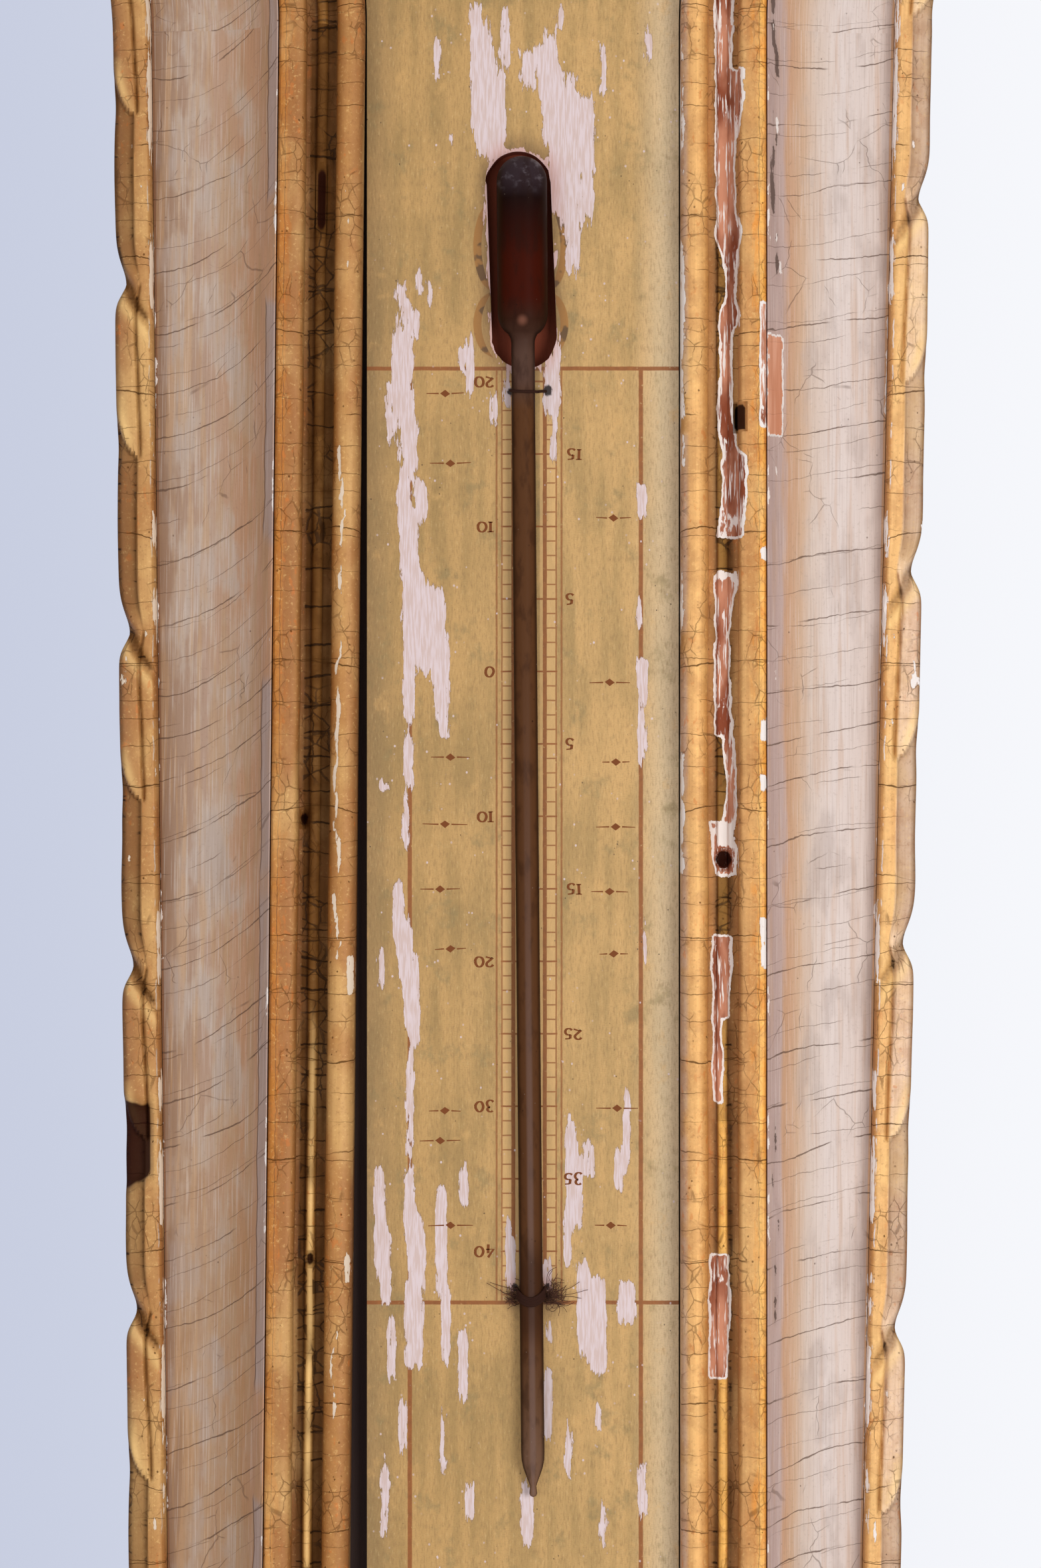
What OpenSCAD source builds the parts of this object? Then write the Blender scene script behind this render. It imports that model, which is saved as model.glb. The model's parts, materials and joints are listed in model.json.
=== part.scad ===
// Wall barometer: a siphon tube and dial below, a spirit thermometer in the neck, in a carved frame.
// The modules draw it lying on its back: x to the right, y up from the dial's centre, and z from the
// wall towards the viewer. upright() stands it up, with the origin at the eye that hangs on the wall.

/* [Opening and outline] */
// Half the width of the opening in the neck
sight_half = 31.6; // [31:0.1:34]
// Radius of the opening round the dial
dial_sight_r = 86; // [84:0.5:90]
// Radius of the flare from the neck to the dial, on the edge of the opening
flare_r = 115; // [110:1:130]
// Height of the tongue's top above the centre of the arch
crest_room = 162; // [158:1:170]
// Angle by which the outer edges draw together towards the top
edge_lean = 0.9; // [0.4:0.1:1]
// Angle by which the right side of the opening leans away from the scale board
gap_lean = 0.6; // [0.1:0.1:0.7]

/* [Mouldings] */
// Width of the sight moulding
sight_w = 17; // [16.5:0.1:18]
// Height of the bead beside the opening, above the wall
bead_top = 27; // [26.5:0.1:27.4]
// Height of the astragal between groove and cove, above the wall
astragal_top = 28.5; // [27:0.1:28.7]
// Height of the floor of the groove, above the wall
groove_floor = 22.5; // [21.8:0.1:23.5]
// Width of the painted cove
cove_w = 26.5; // [25:0.5:30]
// Height of the cove's flat outer part, above the wall
cove_floor = 13; // [12:0.1:14]
// Height of the cove's back, above the wall
cove_back = 2; // [1:0.1:4]
// Width of the carved edge
edge_w = 7.5; // [6.8:0.1:9]
// Height of the carved edge's top, above the wall
edge_top = 18; // [17:0.1:19]
// Height of the carved edge's underside, above the wall
edge_back = 5; // [4:0.1:7]
// Length of one turn of the carved ribbon on the right side
right_turn = 68.9; // [64:0.1:74]
// Length of one turn of the carved ribbon on the left side
left_turn = 75.5; // [70:0.1:80]
// How far the ribbon is drawn in at each pinch
pinch_depth = 1.5; // [0.5:0.1:2]

/* [Back plank] */
// Thickness of the back plank
plank_t = 15; // [15:0.1:15.6]
// How far the plank reaches beyond the edge of the opening
plank_reach = 24; // [23.6:0.1:25]
// Half the width of the plank behind the crest
tongue_half = 35; // [34:0.5:36]

/* [Scale board and thermometer] */
// Thickness of the scale board
board_t = 5; // [4.4:0.1:5.6]
// Gap between the scale board and the opening's edge
board_gap = 0.3; // [0.3:0.05:0.6]
// Outer radius of the thermometer's tube
stem_r = 2.35; // [2.2:0.05:2.6]
// Outer radius of the thermometer's bulb
bulb_r = 5.05; // [4.6:0.05:5.4]
// Length of the bulb
bulb_l = 37; // [34:0.5:39]
// Length of the whole thermometer
thermometer_l = 268.5; // [258:0.5:275]
// Height of the bulb's foot above the dial's centre
bulb_foot = 163.7; // [162:0.1:166]
// Thickness of the glass of the bulb
bulb_wall = 0.8; // [0.5:0.1:1.2]
// Radius of the thermometer's bore
stem_bore = 0.9; // [0.6:0.1:1.2]
// Angle by which the thermometer leans to the left
stem_lean = 0.5; // [0:0.1:0.8]
// Radius of the thread that ties the thermometer to the board
tie_r = 0.35; // [0.25:0.05:0.45]

/* [Dial and bezel] */
// Thickness of the dial
dial_t = 3; // [2.6:0.1:3]
// Width of the brass seat round the dial
seat_w = 5.2; // [4.8:0.1:5.6]
// Thickness of the brass seat
seat_t = 1.2; // [1:0.1:1.3]
// Width of the hinged bezel
bezel_w = 7; // [6:0.1:8]
// Height of the bezel's top above the wall
bezel_top = 28; // [27.5:0.1:28.4]
// Thickness of the dial's glass
glass_t = 2; // [1.6:0.1:2.1]
// Length of the blued hand from its centre
hand_l = 66; // [56:1:70]
// Length of the brass hand from its centre
set_hand_l = 58; // [50:1:66]
// Radius of the knob of the brass hand
knob_r = 4.5; // [3.6:0.1:6]

/* [Siphon tube and pulley] */
// Outer radius of the siphon tube and of the guide tube
siphon_r = 4.5; // [4.3:0.1:4.6]
// Radius of the siphon tube's bore
siphon_bore = 2.6; // [2.5:0.1:2.8]
// Radius at which the threads run round the pulley
pulley_r = 6.5; // [6.2:0.1:6.8]
// Radius of the bend at the foot of the siphon tube
bend_r = 9; // [8.5:0.1:10]
// Height of the mercury in the short limb, from the dial's centre
mercury_low = -61; // [-63:0.5:-60]
// Height of the mercury column
column_h = 758; // [750:1:764]
// Length of the float
float_l = 15; // [13:0.5:16]
// Length of the counterweight
counterweight_l = 17; // [14:0.5:18]

/* [Crest and foot] */
// Radius of the crest's block where it is narrowest
crest_reach = 72; // [70:0.5:74]
// Height of the shell's middle above the wall
shell_top = 42; // [38:0.5:46]
// Number of ribs of the shell
shell_ribs = 11; // [7:2:13]
// How far the leaf hangs below the frame
foot_drop = 30; // [24:1:40]

/* [Hanger] */
// Radius of the hole in the hanger's eye
eye_r = 4.5; // [3.8:0.1:5]
// Thickness of the hanger
hanger_t = 2.2; // [1.8:0.1:2.6]

/* [Hidden] */
$fn = 72;

// Clearances between pieces that seat on or run in each other
seat_gap = 0.1;
running_gap = 0.05;
loose_gap = 0.3;

// Outline of the opening: straight neck, flare and dial, then an arch; its height follows from the
// mercury column
mercury_high = mercury_low + column_h;
siphon_top = mercury_high + 32;
tongue_top = siphon_top + 8;
neck_top = tongue_top - crest_room;
flare_x = sight_half + flare_r;
neck_low = sqrt(pow(dial_sight_r + flare_r, 2) - pow(flare_x, 2));
flare_angle = atan2(neck_low, flare_x);
neck_l = neck_top - neck_low;
gap_at_top = neck_l * tan(gap_lean);
arch_x = gap_at_top / 2;
arch_r = sight_half + gap_at_top / 2;
cove_out = sight_w + cove_w;
right_lean = edge_lean - gap_lean / 2;
left_lean = edge_lean + gap_lean / 2;
edge_arch_r = sight_half + cove_out - neck_l * (tan(right_lean) + tan(left_lean)) / 2;
edge_arch_x = neck_l * (tan(left_lean) - tan(right_lean)) / 2;
frame_r = dial_sight_r + cove_out + seat_gap + edge_w;

// Heights above the wall
board_front = plank_t + board_t;
stem_axis = board_front + stem_r + 0.2;
dial_face = plank_t + dial_t;
seat_face = dial_face + seat_t;
dial_r = dial_sight_r - loose_gap;

// Pulley, tubes and their recess in the plank's back
tube_axis = siphon_r + 2.1;
recess_depth = tube_axis + siphon_r + loose_gap;
recess_wall = siphon_r + 0.5;
long_limb_x = pulley_r + 2 * bend_r;
bend_y = mercury_low - 25;
limb_top = -20;
recess_low = bend_y - bend_r - siphon_r - loose_gap;
recess_top = 12;

// The hanger's eye stands clear above the tongue and the crest
eye_rim = 4.5;
hook_drop = tongue_top + eye_r + eye_rim + 2;

module upright() {
    translate([0, 0, -hook_drop])
        rotate([90, 0, 0])
            children();
}

// A bar of the given profile along y, from y0 to y1; the profile's x and y become x and z
module along_y(y0, y1) {
    translate([0, y1, 0])
        rotate([90, 0, 0])
            linear_extrude(height = y1 - y0)
                children();
}

// A turned piece with the axis y; the profile's y is the height above y0
module turned_along_y(y0) {
    translate([0, y0, 0])
        rotate([-90, 0, 0])
            rotate_extrude()
                children();
}

module at_places(places) {
    for (p = places)
        translate([p[0], p[1], 0])
            children();
}

module cream() { color([0.78, 0.73, 0.68]) children(); }
module gilt() { color([0.86, 0.62, 0.25]) children(); }
module wood() { color([0.55, 0.40, 0.25]) children(); }
module brass() { color([0.80, 0.66, 0.34]) children(); }
module glassy() { color([0.75, 0.82, 0.80, 0.5]) children(); }
module iron() { color([0.24, 0.22, 0.21]) children(); }
module blued() { color([0.10, 0.13, 0.28]) children(); }
module silvery() { color([0.75, 0.76, 0.78]) children(); }
module threadlike() { color([0.22, 0.16, 0.12]) children(); }

function arc_points(cx, cy, r, a0, a1, n) =
    [for (i = [0:n]) let (a = a0 + (a1 - a0) * i / n) [cx + r * cos(a), cy + r * sin(a)]];

function mirrored(points) = [for (i = [len(points) - 1:-1:0]) [-points[i][0], points[i][1]]];

// Right half of the outline at a distance t outside the opening's edge, from the foot to the neck's top
function right_half(t, lean) = concat(
    arc_points(0, 0, dial_sight_r + t, -90, flare_angle, 24),
    arc_points(flare_x, neck_low, flare_r - t, 180 + flare_angle - 4, 180, 10),
    [[sight_half + t + neck_l * tan(lean), neck_top]]
);

// Round-headed outline, right side, arch and left side
function round_head(cx, r) = arc_points(cx, neck_top, r, 6, 174, 28);

// Sections of the mouldings, with x measured outwards from the edge of the opening
function sight_section() = concat(
    [[0, plank_t]],
    [for (i = [0:8]) let (a = 180 - i * 22.5) [2.75 + 2.75 * cos(a), bead_top - 2.4 + 2.4 * sin(a)]],
    [[5.5, groove_floor], [7.3, groove_floor]],
    [for (i = [0:4]) let (a = 180 - i * 45) [8.4 + 1.1 * cos(a), groove_floor + 0.4 + 1.1 * sin(a)]],
    [[9.5, groove_floor], [11.5, groove_floor], [11.5, astragal_top - 2], [12.4, astragal_top - 0.9]],
    [[sight_w - 1.6, astragal_top], [sight_w - 0.5, astragal_top - 0.6], [sight_w, astragal_top - 2]],
    [[sight_w, plank_t]]
);

cove_r = 19;
function cove_height(x) = x >= sight_w + cove_r ? cove_floor
    : cove_floor + cove_r - sqrt(pow(cove_r, 2) - pow(cove_r - (x - sight_w), 2));

// The cove, out to the given width; it hooks round the edge of the plank
function cove_section(out) =
    let (steps = [0.5, 1.3, 2.4, 4, 6, 8.5, 11.5, 15])
    concat(
        [[sight_w + seat_gap, plank_t], [sight_w + seat_gap, cove_height(sight_w + 0.5)]],
        [for (x = steps) if (sight_w + x < out - 1) [sight_w + x, cove_height(sight_w + x)]],
        out > sight_w + cove_r + 1 ? [[sight_w + cove_r, cove_floor]] : [],
        [[out, cove_height(out)], [out, cove_back]],
        [[plank_reach + loose_gap, cove_back], [plank_reach + loose_gap, plank_t]]
    );

// Right half of the dial ring and its flare, for a section given as points; with a joint angle above 0
// the two are separate lengths
module lower_half(section, joint = 0) {
    rotate([0, 0, -90])
        rotate_extrude(angle = 90 + flare_angle, $fn = 144)
            translate([dial_sight_r, 0])
                polygon(section);
    translate([flare_x, neck_low, 0])
        rotate([0, 0, 180])
            rotate_extrude(angle = flare_angle - joint, $fn = 144)
                translate([flare_r, 0])
                    mirror([1, 0])
                        polygon(section);
}

// One straight side of the neck, leaning about its foot; slightly long where it leans
module stile(section, lean) {
    translate([sight_half, neck_low, 0])
        rotate([0, 0, -lean])
            along_y(0, neck_l / cos(lean) + (lean > 0 ? 1 : 0))
                polygon(section);
}

// The space inside the carved edge beside the neck, on the right, for the given lean of the edge
module neck_limit(lean) {
    low = sight_half + cove_out;
    linear_extrude(height = 60)
        polygon([[0, neck_low], [low, neck_low], [low - neck_l * tan(lean), neck_top], [0, neck_top]]);
}

module arch(section) {
    translate([arch_x, neck_top, 0])
        rotate_extrude(angle = 180, $fn = 144)
            translate([arch_r, 0])
                polygon(section);
}

// Frame screws go in from the back, through the plank into the coves and the crest
screw_in = sight_w + 2.6;
screw_r = 1.4;
screw_head_r = 2.7;
screw_head_t = 1.4;
screw_l = 20;
ring_screws = [for (a = [-65, -20, 25, 155, 200, 245])
    [(dial_sight_r + screw_in) * cos(a), (dial_sight_r + screw_in) * sin(a)]];
stile_screws = [for (side = [-1, 1], k = [0.1, 0.5, 0.9])
    let (y = neck_low + k * neck_l, shift = side > 0 ? (y - neck_low) * tan(gap_lean) : 0)
    [side * (sight_half + screw_in) + shift, y]];
arch_screws = [for (a = [50, 130])
    [arch_x + (arch_r + screw_in) * cos(a), neck_top + (arch_r + screw_in) * sin(a)]];
crest_screws = [[-24, tongue_top - 24], [14, tongue_top - 44]];
frame_screw_places = concat(ring_screws, stile_screws, arch_screws, crest_screws);

module frame_screw() {
    translate([0, 0, 0.2])
        cylinder(r = screw_head_r, h = screw_head_t);
    cylinder(r = screw_r, h = screw_l);
}

module frame_screw_hole() {
    translate([0, 0, -1])
        cylinder(r = screw_head_r + seat_gap, h = 1.2 + screw_head_t + seat_gap);
    translate([0, 0, -1])
        cylinder(r = screw_r + running_gap, h = screw_l + 1.3);
}

module frame_screws() {
    iron() upright()
        difference() {
            at_places(frame_screw_places)
                frame_screw();
            at_places(frame_screw_places)
                translate([-4, -0.4, -1])
                    cube([8, 0.8, 1.7]);
        }
}

module cove_left() {
    cream() upright()
        difference() {
            mirror([1, 0, 0])
                intersection() {
                    stile(cove_section(cove_out), 0);
                    neck_limit(left_lean);
                }
            at_places(stile_screws)
                frame_screw_hole();
        }
}

module cove_right() {
    cream() upright()
        difference() {
            intersection() {
                stile(cove_section(cove_out + gap_at_top), gap_lean);
                neck_limit(right_lean);
            }
            at_places(stile_screws)
                frame_screw_hole();
        }
}

module cove_lower(side) {
    cream() upright()
        difference() {
            mirror([side, 0, 0])
                lower_half(cove_section(cove_out));
            at_places(ring_screws)
                frame_screw_hole();
        }
}

module cove_lower_left() { cove_lower(1); }
module cove_lower_right() { cove_lower(0); }

module cove_top() {
    cream() upright()
        difference() {
            arch(cove_section(edge_arch_r - arch_r));
            tongue_room();
            at_places(arch_screws)
                frame_screw_hole();
        }
}

// The tongue passes behind the arch
module tongue_room() {
    translate([-tongue_half - loose_gap, neck_top + 5, -1])
        cube([2 * tongue_half + 2 * loose_gap, 200, 1 + plank_t]);
}

module sight_moulding_left() {
    gilt() upright()
        mirror([1, 0, 0])
            stile(sight_section(), 0);
}

module sight_moulding_right() {
    gilt() upright()
        intersection() {
            stile(sight_section(), gap_lean);
            neck_limit(right_lean);
        }
}

module sight_moulding_lower_left() {
    gilt() upright()
        mirror([1, 0, 0])
            lower_half(sight_section(), 0.01);
}

module sight_moulding_lower_right() {
    gilt() upright()
        lower_half(sight_section(), 0.01);
}

module sight_moulding_top() {
    gilt() upright()
        arch(sight_section());
}

// The carved edge: a ribbon wound round a rod, drawn along the outline by its length from the foot
edge_in = cove_out + seat_gap;
ring_run = (dial_sight_r + edge_in) * (90 + flare_angle) * PI / 180;
flare_run = (flare_r - edge_in) * flare_angle * PI / 180;
neck_run = neck_l / cos(edge_lean);
arch_run = (edge_arch_r + seat_gap) * PI / 2;
lower_run = ring_run + flare_run;
right_first = 62.5;
left_first = 11.9;

// Place and outward direction on one half, s along the outline from the foot: [x, y, angle]
function edge_place(s, lean, top_x) =
    s <= ring_run ? let (a = -90 + s / (dial_sight_r + edge_in) * 180 / PI)
        [(dial_sight_r + edge_in) * cos(a), (dial_sight_r + edge_in) * sin(a), a]
    : s <= lower_run ? let (a = 180 + flare_angle - (s - ring_run) / (flare_r - edge_in) * 180 / PI)
        [flare_x + (flare_r - edge_in) * cos(a), neck_low + (flare_r - edge_in) * sin(a), a - 180]
    : s <= lower_run + neck_run ? let (k = (s - lower_run) / neck_run)
        [sight_half + edge_in - k * neck_l * tan(lean), neck_low + k * neck_l, 0]
    : let (a = (s - lower_run - neck_run) / (edge_arch_r + seat_gap) * 180 / PI, r = edge_arch_r + seat_gap)
        [top_x + r * cos(a), neck_top + r * sin(a), a];

function bump(d, reach) = abs(d) >= reach ? 0 : pow(cos(d / reach * 90), 2);
function part_of(x) = x - floor(x);
function from_turn(s, first, turn, at) =
    let (f = part_of((s - first) / turn - at)) f > 0.5 ? f - 1 : f;

// The ribbon's section at s: pinched where a fold crosses it, nicked halfway between two folds
function edge_ring(s, lean, top_x, first, turn) =
    let (
        p = edge_place(s, lean, top_x),
        near = bump(from_turn(s - 5, first, turn, 0), 0.1),
        far = bump(from_turn(s + 5, first, turn, 0), 0.1),
        nick = bump(from_turn(s + 2, first, turn, 0.5), 0.08),
        w = edge_w - pinch_depth * bump(from_turn(s, first, turn, 0), 0.09) - 0.5 * nick,
        section = [
            [0, edge_back], [0, edge_top - 4.2], [w * 0.1, edge_top - 0.9 - near],
            [w * 0.3, edge_top - 1.5 * near], [w * 0.5, edge_top - 1 - near - far],
            [w * 0.72, edge_top - 0.6 - 1.5 * far - nick], [w * 0.93, edge_top - 2.8 - far - nick],
            [w, edge_back + 4], [w - 0.9, edge_back]
        ]
    )
    [for (q = section) [p[0] + q[0] * cos(p[2]), p[1] + q[0] * sin(p[2]), q[1]]];

function edge_rings(s0, s1, lean, top_x, first, turn) =
    let (n = ceil((s1 - s0) / (turn / 13)))
    [for (i = [0:n]) edge_ring(s0 + (s1 - s0) * i / n, lean, top_x, first, turn)];

function right_rings(s0, s1) = edge_rings(s0, s1, right_lean, edge_arch_x, right_first, right_turn);
function left_rings(s0, s1) = edge_rings(s0, s1, left_lean, -edge_arch_x, left_first, left_turn);

// A closed solid through rings that have the same number of points
module skin(rings) {
    m = len(rings[0]);
    n = len(rings);
    sides = [for (i = [0:n - 2], j = [0:m - 1], k = [0, 1])
        let (a = i * m + j, b = i * m + (j + 1) % m, c = a + m, d = b + m)
        k == 0 ? [a, c, b] : [b, c, d]];
    foot = [[for (j = [0:m - 1]) j]];
    head = [[for (j = [m - 1:-1:0]) (n - 1) * m + j]];
    polyhedron(points = [for (r = rings, q = r) q], faces = concat(sides, foot, head));
}

module carved_edge_right() {
    gilt() upright()
        skin(right_rings(lower_run, lower_run + neck_run));
}

module carved_edge_left() {
    gilt() upright()
        mirror([1, 0, 0])
            skin(left_rings(lower_run, lower_run + neck_run));
}

// The left half runs backwards into the right half, so that the edge is one piece round the foot
module carved_edge_lower() {
    left = left_rings(0, lower_run);
    back = [for (i = [len(left) - 1:-1:1]) [for (q = left[i]) [-q[0], q[1], q[2]]]];
    gilt() upright()
        skin(concat(back, right_rings(0, lower_run)));
}

module carved_edge_top() {
    end = lower_run + neck_run;
    left = left_rings(end, end + arch_run);
    back = [for (i = [len(left) - 2:-1:0]) [for (q = left[i]) [-q[0], q[1], q[2]]]];
    gilt() upright()
        difference() {
            skin(concat(right_rings(end, end + arch_run), back));
            tongue_room();
        }
}

// Recesses in the plank's back for the tubes, the bridge, the straps and the hanger
bridge_t = 1.6;
bridge_half_w = 5;
bridge_left = -24;
bridge_right = 40;
strap_half_w = 4;
strap_t = 1.4;
strap_low_y = -66;
strap_heights = [for (k = [0.22, 0.48, 0.74, 0.97]) k * siphon_top];
hanger_half_w = 8;
hanger_foot = tongue_top - 40;

module rounded_bar(x0, x1, half_w, h) {
    translate([x0 + half_w, -half_w, 0])
        cube([x1 - x0 - 2 * half_w, 2 * half_w, h]);
    for (x = [x0 + half_w, x1 - half_w])
        translate([x, 0, 0])
            cylinder(r = half_w, h = h);
}

module strap_bar(gap) {
    for (y = strap_heights)
        translate([0, y, gap > 0 ? -1 : loose_gap])
            rounded_bar(long_limb_x - 12 - gap, long_limb_x + 12 + gap, strap_half_w + gap,
                strap_t + (gap > 0 ? 1 + loose_gap + gap : 0));
    translate([0, strap_low_y, gap > 0 ? -1 : loose_gap])
        rounded_bar(-pulley_r - 12 - gap, long_limb_x + 12 + gap, strap_half_w + gap,
            strap_t + (gap > 0 ? 1 + loose_gap + gap : 0));
}

strap_screw_places = concat(
    [for (y = strap_heights, side = [-8, 8]) [long_limb_x + side, y]],
    [[-pulley_r - 8, strap_low_y], [long_limb_x + 8, strap_low_y]]
);
bridge_screw_places = [[bridge_left + 5, 0], [bridge_right - 5, 0]];

module small_screw(from, l) {
    difference() {
        union() {
            translate([0, 0, from])
                cylinder(r = 1.9, h = 0.9);
            translate([0, 0, from])
                cylinder(r = 0.9, h = l);
        }
        translate([-3, -0.25, from - 1])
            cube([6, 0.5, 1.4]);
    }
}

module small_screw_hole(from, l) {
    translate([0, 0, from - 2])
        cylinder(r = 1.9 + seat_gap, h = 2.9 + seat_gap);
    translate([0, 0, from - 1])
        cylinder(r = 0.9 + running_gap, h = l + 1.1);
}

module back_plank() {
    outline = concat(
        right_half(plank_reach, gap_lean),
        round_head(arch_x, arch_r + plank_reach),
        mirrored(right_half(plank_reach, 0))
    );
    wood() upright()
        difference() {
            union() {
                linear_extrude(height = plank_t)
                    polygon(outline);
                translate([-tongue_half, neck_top, 0])
                    cube([2 * tongue_half, tongue_top - 5 - neck_top, plank_t]);
                translate([-tongue_half + 12, tongue_top - 6, 0])
                    cube([2 * tongue_half - 24, 6, plank_t]);
            }
            translate([-pulley_r - recess_wall, recess_low, -1])
                cube([pulley_r + long_limb_x + 2 * recess_wall, recess_top - recess_low, 1 + recess_depth]);
            translate([long_limb_x - recess_wall, 0, -1])
                cube([2 * recess_wall, siphon_top + loose_gap, 1 + recess_depth]);
            cylinder(r = bush_r + seat_gap, h = 60);
            translate([0, 0, -1])
                rounded_bar(bridge_left - loose_gap, bridge_right + loose_gap, bridge_half_w + loose_gap,
                    1 + bridge_t + seat_gap);
            at_places(bridge_screw_places)
                small_screw_hole(bridge_t, 9);
            strap_bar(loose_gap);
            at_places(strap_screw_places)
                small_screw_hole(loose_gap + strap_t, 9);
            translate([-hanger_half_w - loose_gap, hanger_foot - loose_gap, -1])
                cube([2 * hanger_half_w + 2 * loose_gap, 80, 1 + hanger_t + seat_gap]);
            at_places(hanger_screw_places)
                small_screw_hole(hanger_t, 9);
            at_places(frame_screw_places)
                frame_screw_hole();
            at_places(seat_screw_places)
                cylinder(r = 0.9 + running_gap, h = 60);
            at_places(board_pin_places)
                cylinder(r = pin_r + running_gap, h = 60);
            tie_holes();
        }
}

// Hanger: a plate let into the tongue's back, with an eye above it
hanger_screw_places = [[0, hanger_foot + 6], [0, hanger_foot + 24]];

module hanger() {
    iron() upright()
        difference() {
            union() {
                translate([-hanger_half_w, hanger_foot, 0])
                    cube([2 * hanger_half_w, hook_drop - hanger_foot - eye_r, hanger_t]);
                translate([0, hook_drop, 0])
                    cylinder(r = eye_r + eye_rim, h = hanger_t);
            }
            translate([0, hook_drop, -1])
                cylinder(r = eye_r, h = hanger_t + 2);
            at_places(hanger_screw_places)
                small_screw_hole(0.8, 9);
        }
}

// Crest: a block on the tongue above the arch, with a shell, two scrolls and two leaves
crest_face = 29;
fan_y = tongue_top - 0.9444 * crest_reach;
arch_clear = edge_arch_r + seat_gap + edge_w + 0.5;
function block_r(a) = crest_reach * (1 + 0.2083 * (bump(a - 8, 62) + bump(a - 172, 62)));
function shell_rim(a) = crest_reach * (0.7569 + 0.2847 * pow(max(0, sin(a)), 3));

module crest_block() {
    outer = [for (i = [0:36])
        let (a = -14 + i * 208 / 36)
        [block_r(a) * cos(a), fan_y + block_r(a) * sin(a)]];
    inner = arc_points(edge_arch_x, neck_top, arch_clear, 140, 40, 16);
    wood() upright()
        difference() {
            translate([0, 0, plank_t])
                linear_extrude(height = crest_face - plank_t)
                    polygon(concat(outer, inner));
            at_places(crest_screws)
                frame_screw_hole();
        }
}

// The shell: ribs that fan out from the button, scooped between, with a scalloped rim
function shell_ring(a, a0, a1, rim) =
    let (
        rib = abs(sin((a - a0) / (a1 - a0) * shell_ribs * 180)),
        out = rim - 5 * (1 - rib),
        rise = shell_top - crest_face - 2,
        inner = 12.3
    )
    [for (q = [
        [inner, 0], [inner, 0.8 * rise], [inner + 0.18 * (out - inner), rise + 1.2 * rib],
        [inner + 0.45 * (out - inner), rise + 0.4 + 1.6 * rib],
        [inner + 0.72 * (out - inner), 0.74 * rise + 2.6 * rib],
        [inner + 0.9 * (out - inner), 0.5 * rise + 3 * rib], [out, 0.36 * rise + 1.6 * rib], [out - 1.2, 0]
    ]) [q[0] * cos(a), q[0] * sin(a), q[1]]];

module crest_shell() {
    a0 = -20;
    a1 = 200;
    n = shell_ribs * 6;
    gilt() upright()
        translate([0, fan_y, crest_face])
            skin([for (i = [0:n]) let (a = a0 + (a1 - a0) * i / n) shell_ring(a, a0, a1, shell_rim(a))]);
}

module crest_button() {
    gilt() upright()
        translate([0, fan_y, crest_face])
            rotate_extrude()
                polygon([[0, 0], [12, 0], [12, 5], [10.5, 7.5], [8, 9], [7, 8], [6, 9.5], [4, 11.5],
                    [0, 12.4]]);
}

// A scroll that winds in, opens out and winds in again: how sharply it turns and steps at part u of its
// length, from -1 to 1
scroll_n = 28;
function scroll_turn(u) = 6 + 56 * pow(abs(u), 2.5);
function scroll_step(u) = crest_reach * (0.025 + 0.05 * (1 - u * u));
scroll_u = [for (i = [0:scroll_n - 1]) 2 * i / (scroll_n - 1) - 1];
function sum(v, i = 0) = i == len(v) ? 0 : v[i] + sum(v, i + 1);
scroll_start = 95 - sum([for (u = scroll_u) scroll_turn(u)]) / 2;

// Points and headings along the scroll: [x, y, heading]
function scroll_path(i = 0, at = [0, 0], a = scroll_start) =
    i == scroll_n ? [[at[0], at[1], a]]
    : let (t = scroll_turn(scroll_u[i]), b = a + t / 2)
        concat([[at[0], at[1], a]],
            scroll_path(i + 1, at + scroll_step(scroll_u[i]) * [cos(b), sin(b)], a + t));

module crest_scroll() {
    path = scroll_path();
    centre = path[scroll_n / 2];
    mid = crest_reach * [1.1181, 0.1667];
    skin([for (i = [0:scroll_n])
        let (
            p = path[i],
            w = 4 * (1 - 0.62 * pow(abs(2 * i / scroll_n - 1), 1.5)),
            side = [-sin(p[2]), cos(p[2])]
        )
        [for (q = [[1, 0], [0.95, 0.45], [0.5, 0.95], [-0.1, 0.8], [-0.45, 1.05], [-0.95, 0.5], [-1, 0]])
            [mid[0] + p[0] - centre[0] + side[0] * w * q[0], mid[1] + p[1] - centre[1] + side[1] * w * q[0],
                w * 1.7 * q[1]]]]);
}

module crest_scroll_right() {
    gilt() upright()
        translate([0, fan_y, crest_face])
            crest_scroll();
}

module crest_scroll_left() {
    gilt() upright()
        mirror([1, 0, 0])
            translate([0, fan_y, crest_face])
                crest_scroll();
}

// A leaf with a midrib, drawn through rings across it
function leaf_ring(p, a, w, rise) =
    let (side = [-sin(a), cos(a)])
    [for (q = [[-1, 0], [-0.97, 0.35], [-0.5, 0.75], [-0.12, 0.6], [0, 1], [0.12, 0.6], [0.5, 0.75],
        [0.97, 0.35], [1, 0]])
        [p[0] + side[0] * w * q[0], p[1] + side[1] * w * q[0], p[2] + rise * q[1]]];

// Each leaf springs from the block's lower side and bends down beside the arch
block_corner = [block_r(-14) * cos(-14), fan_y + block_r(-14) * sin(-14)];
leaf_bend = 42;

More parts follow.
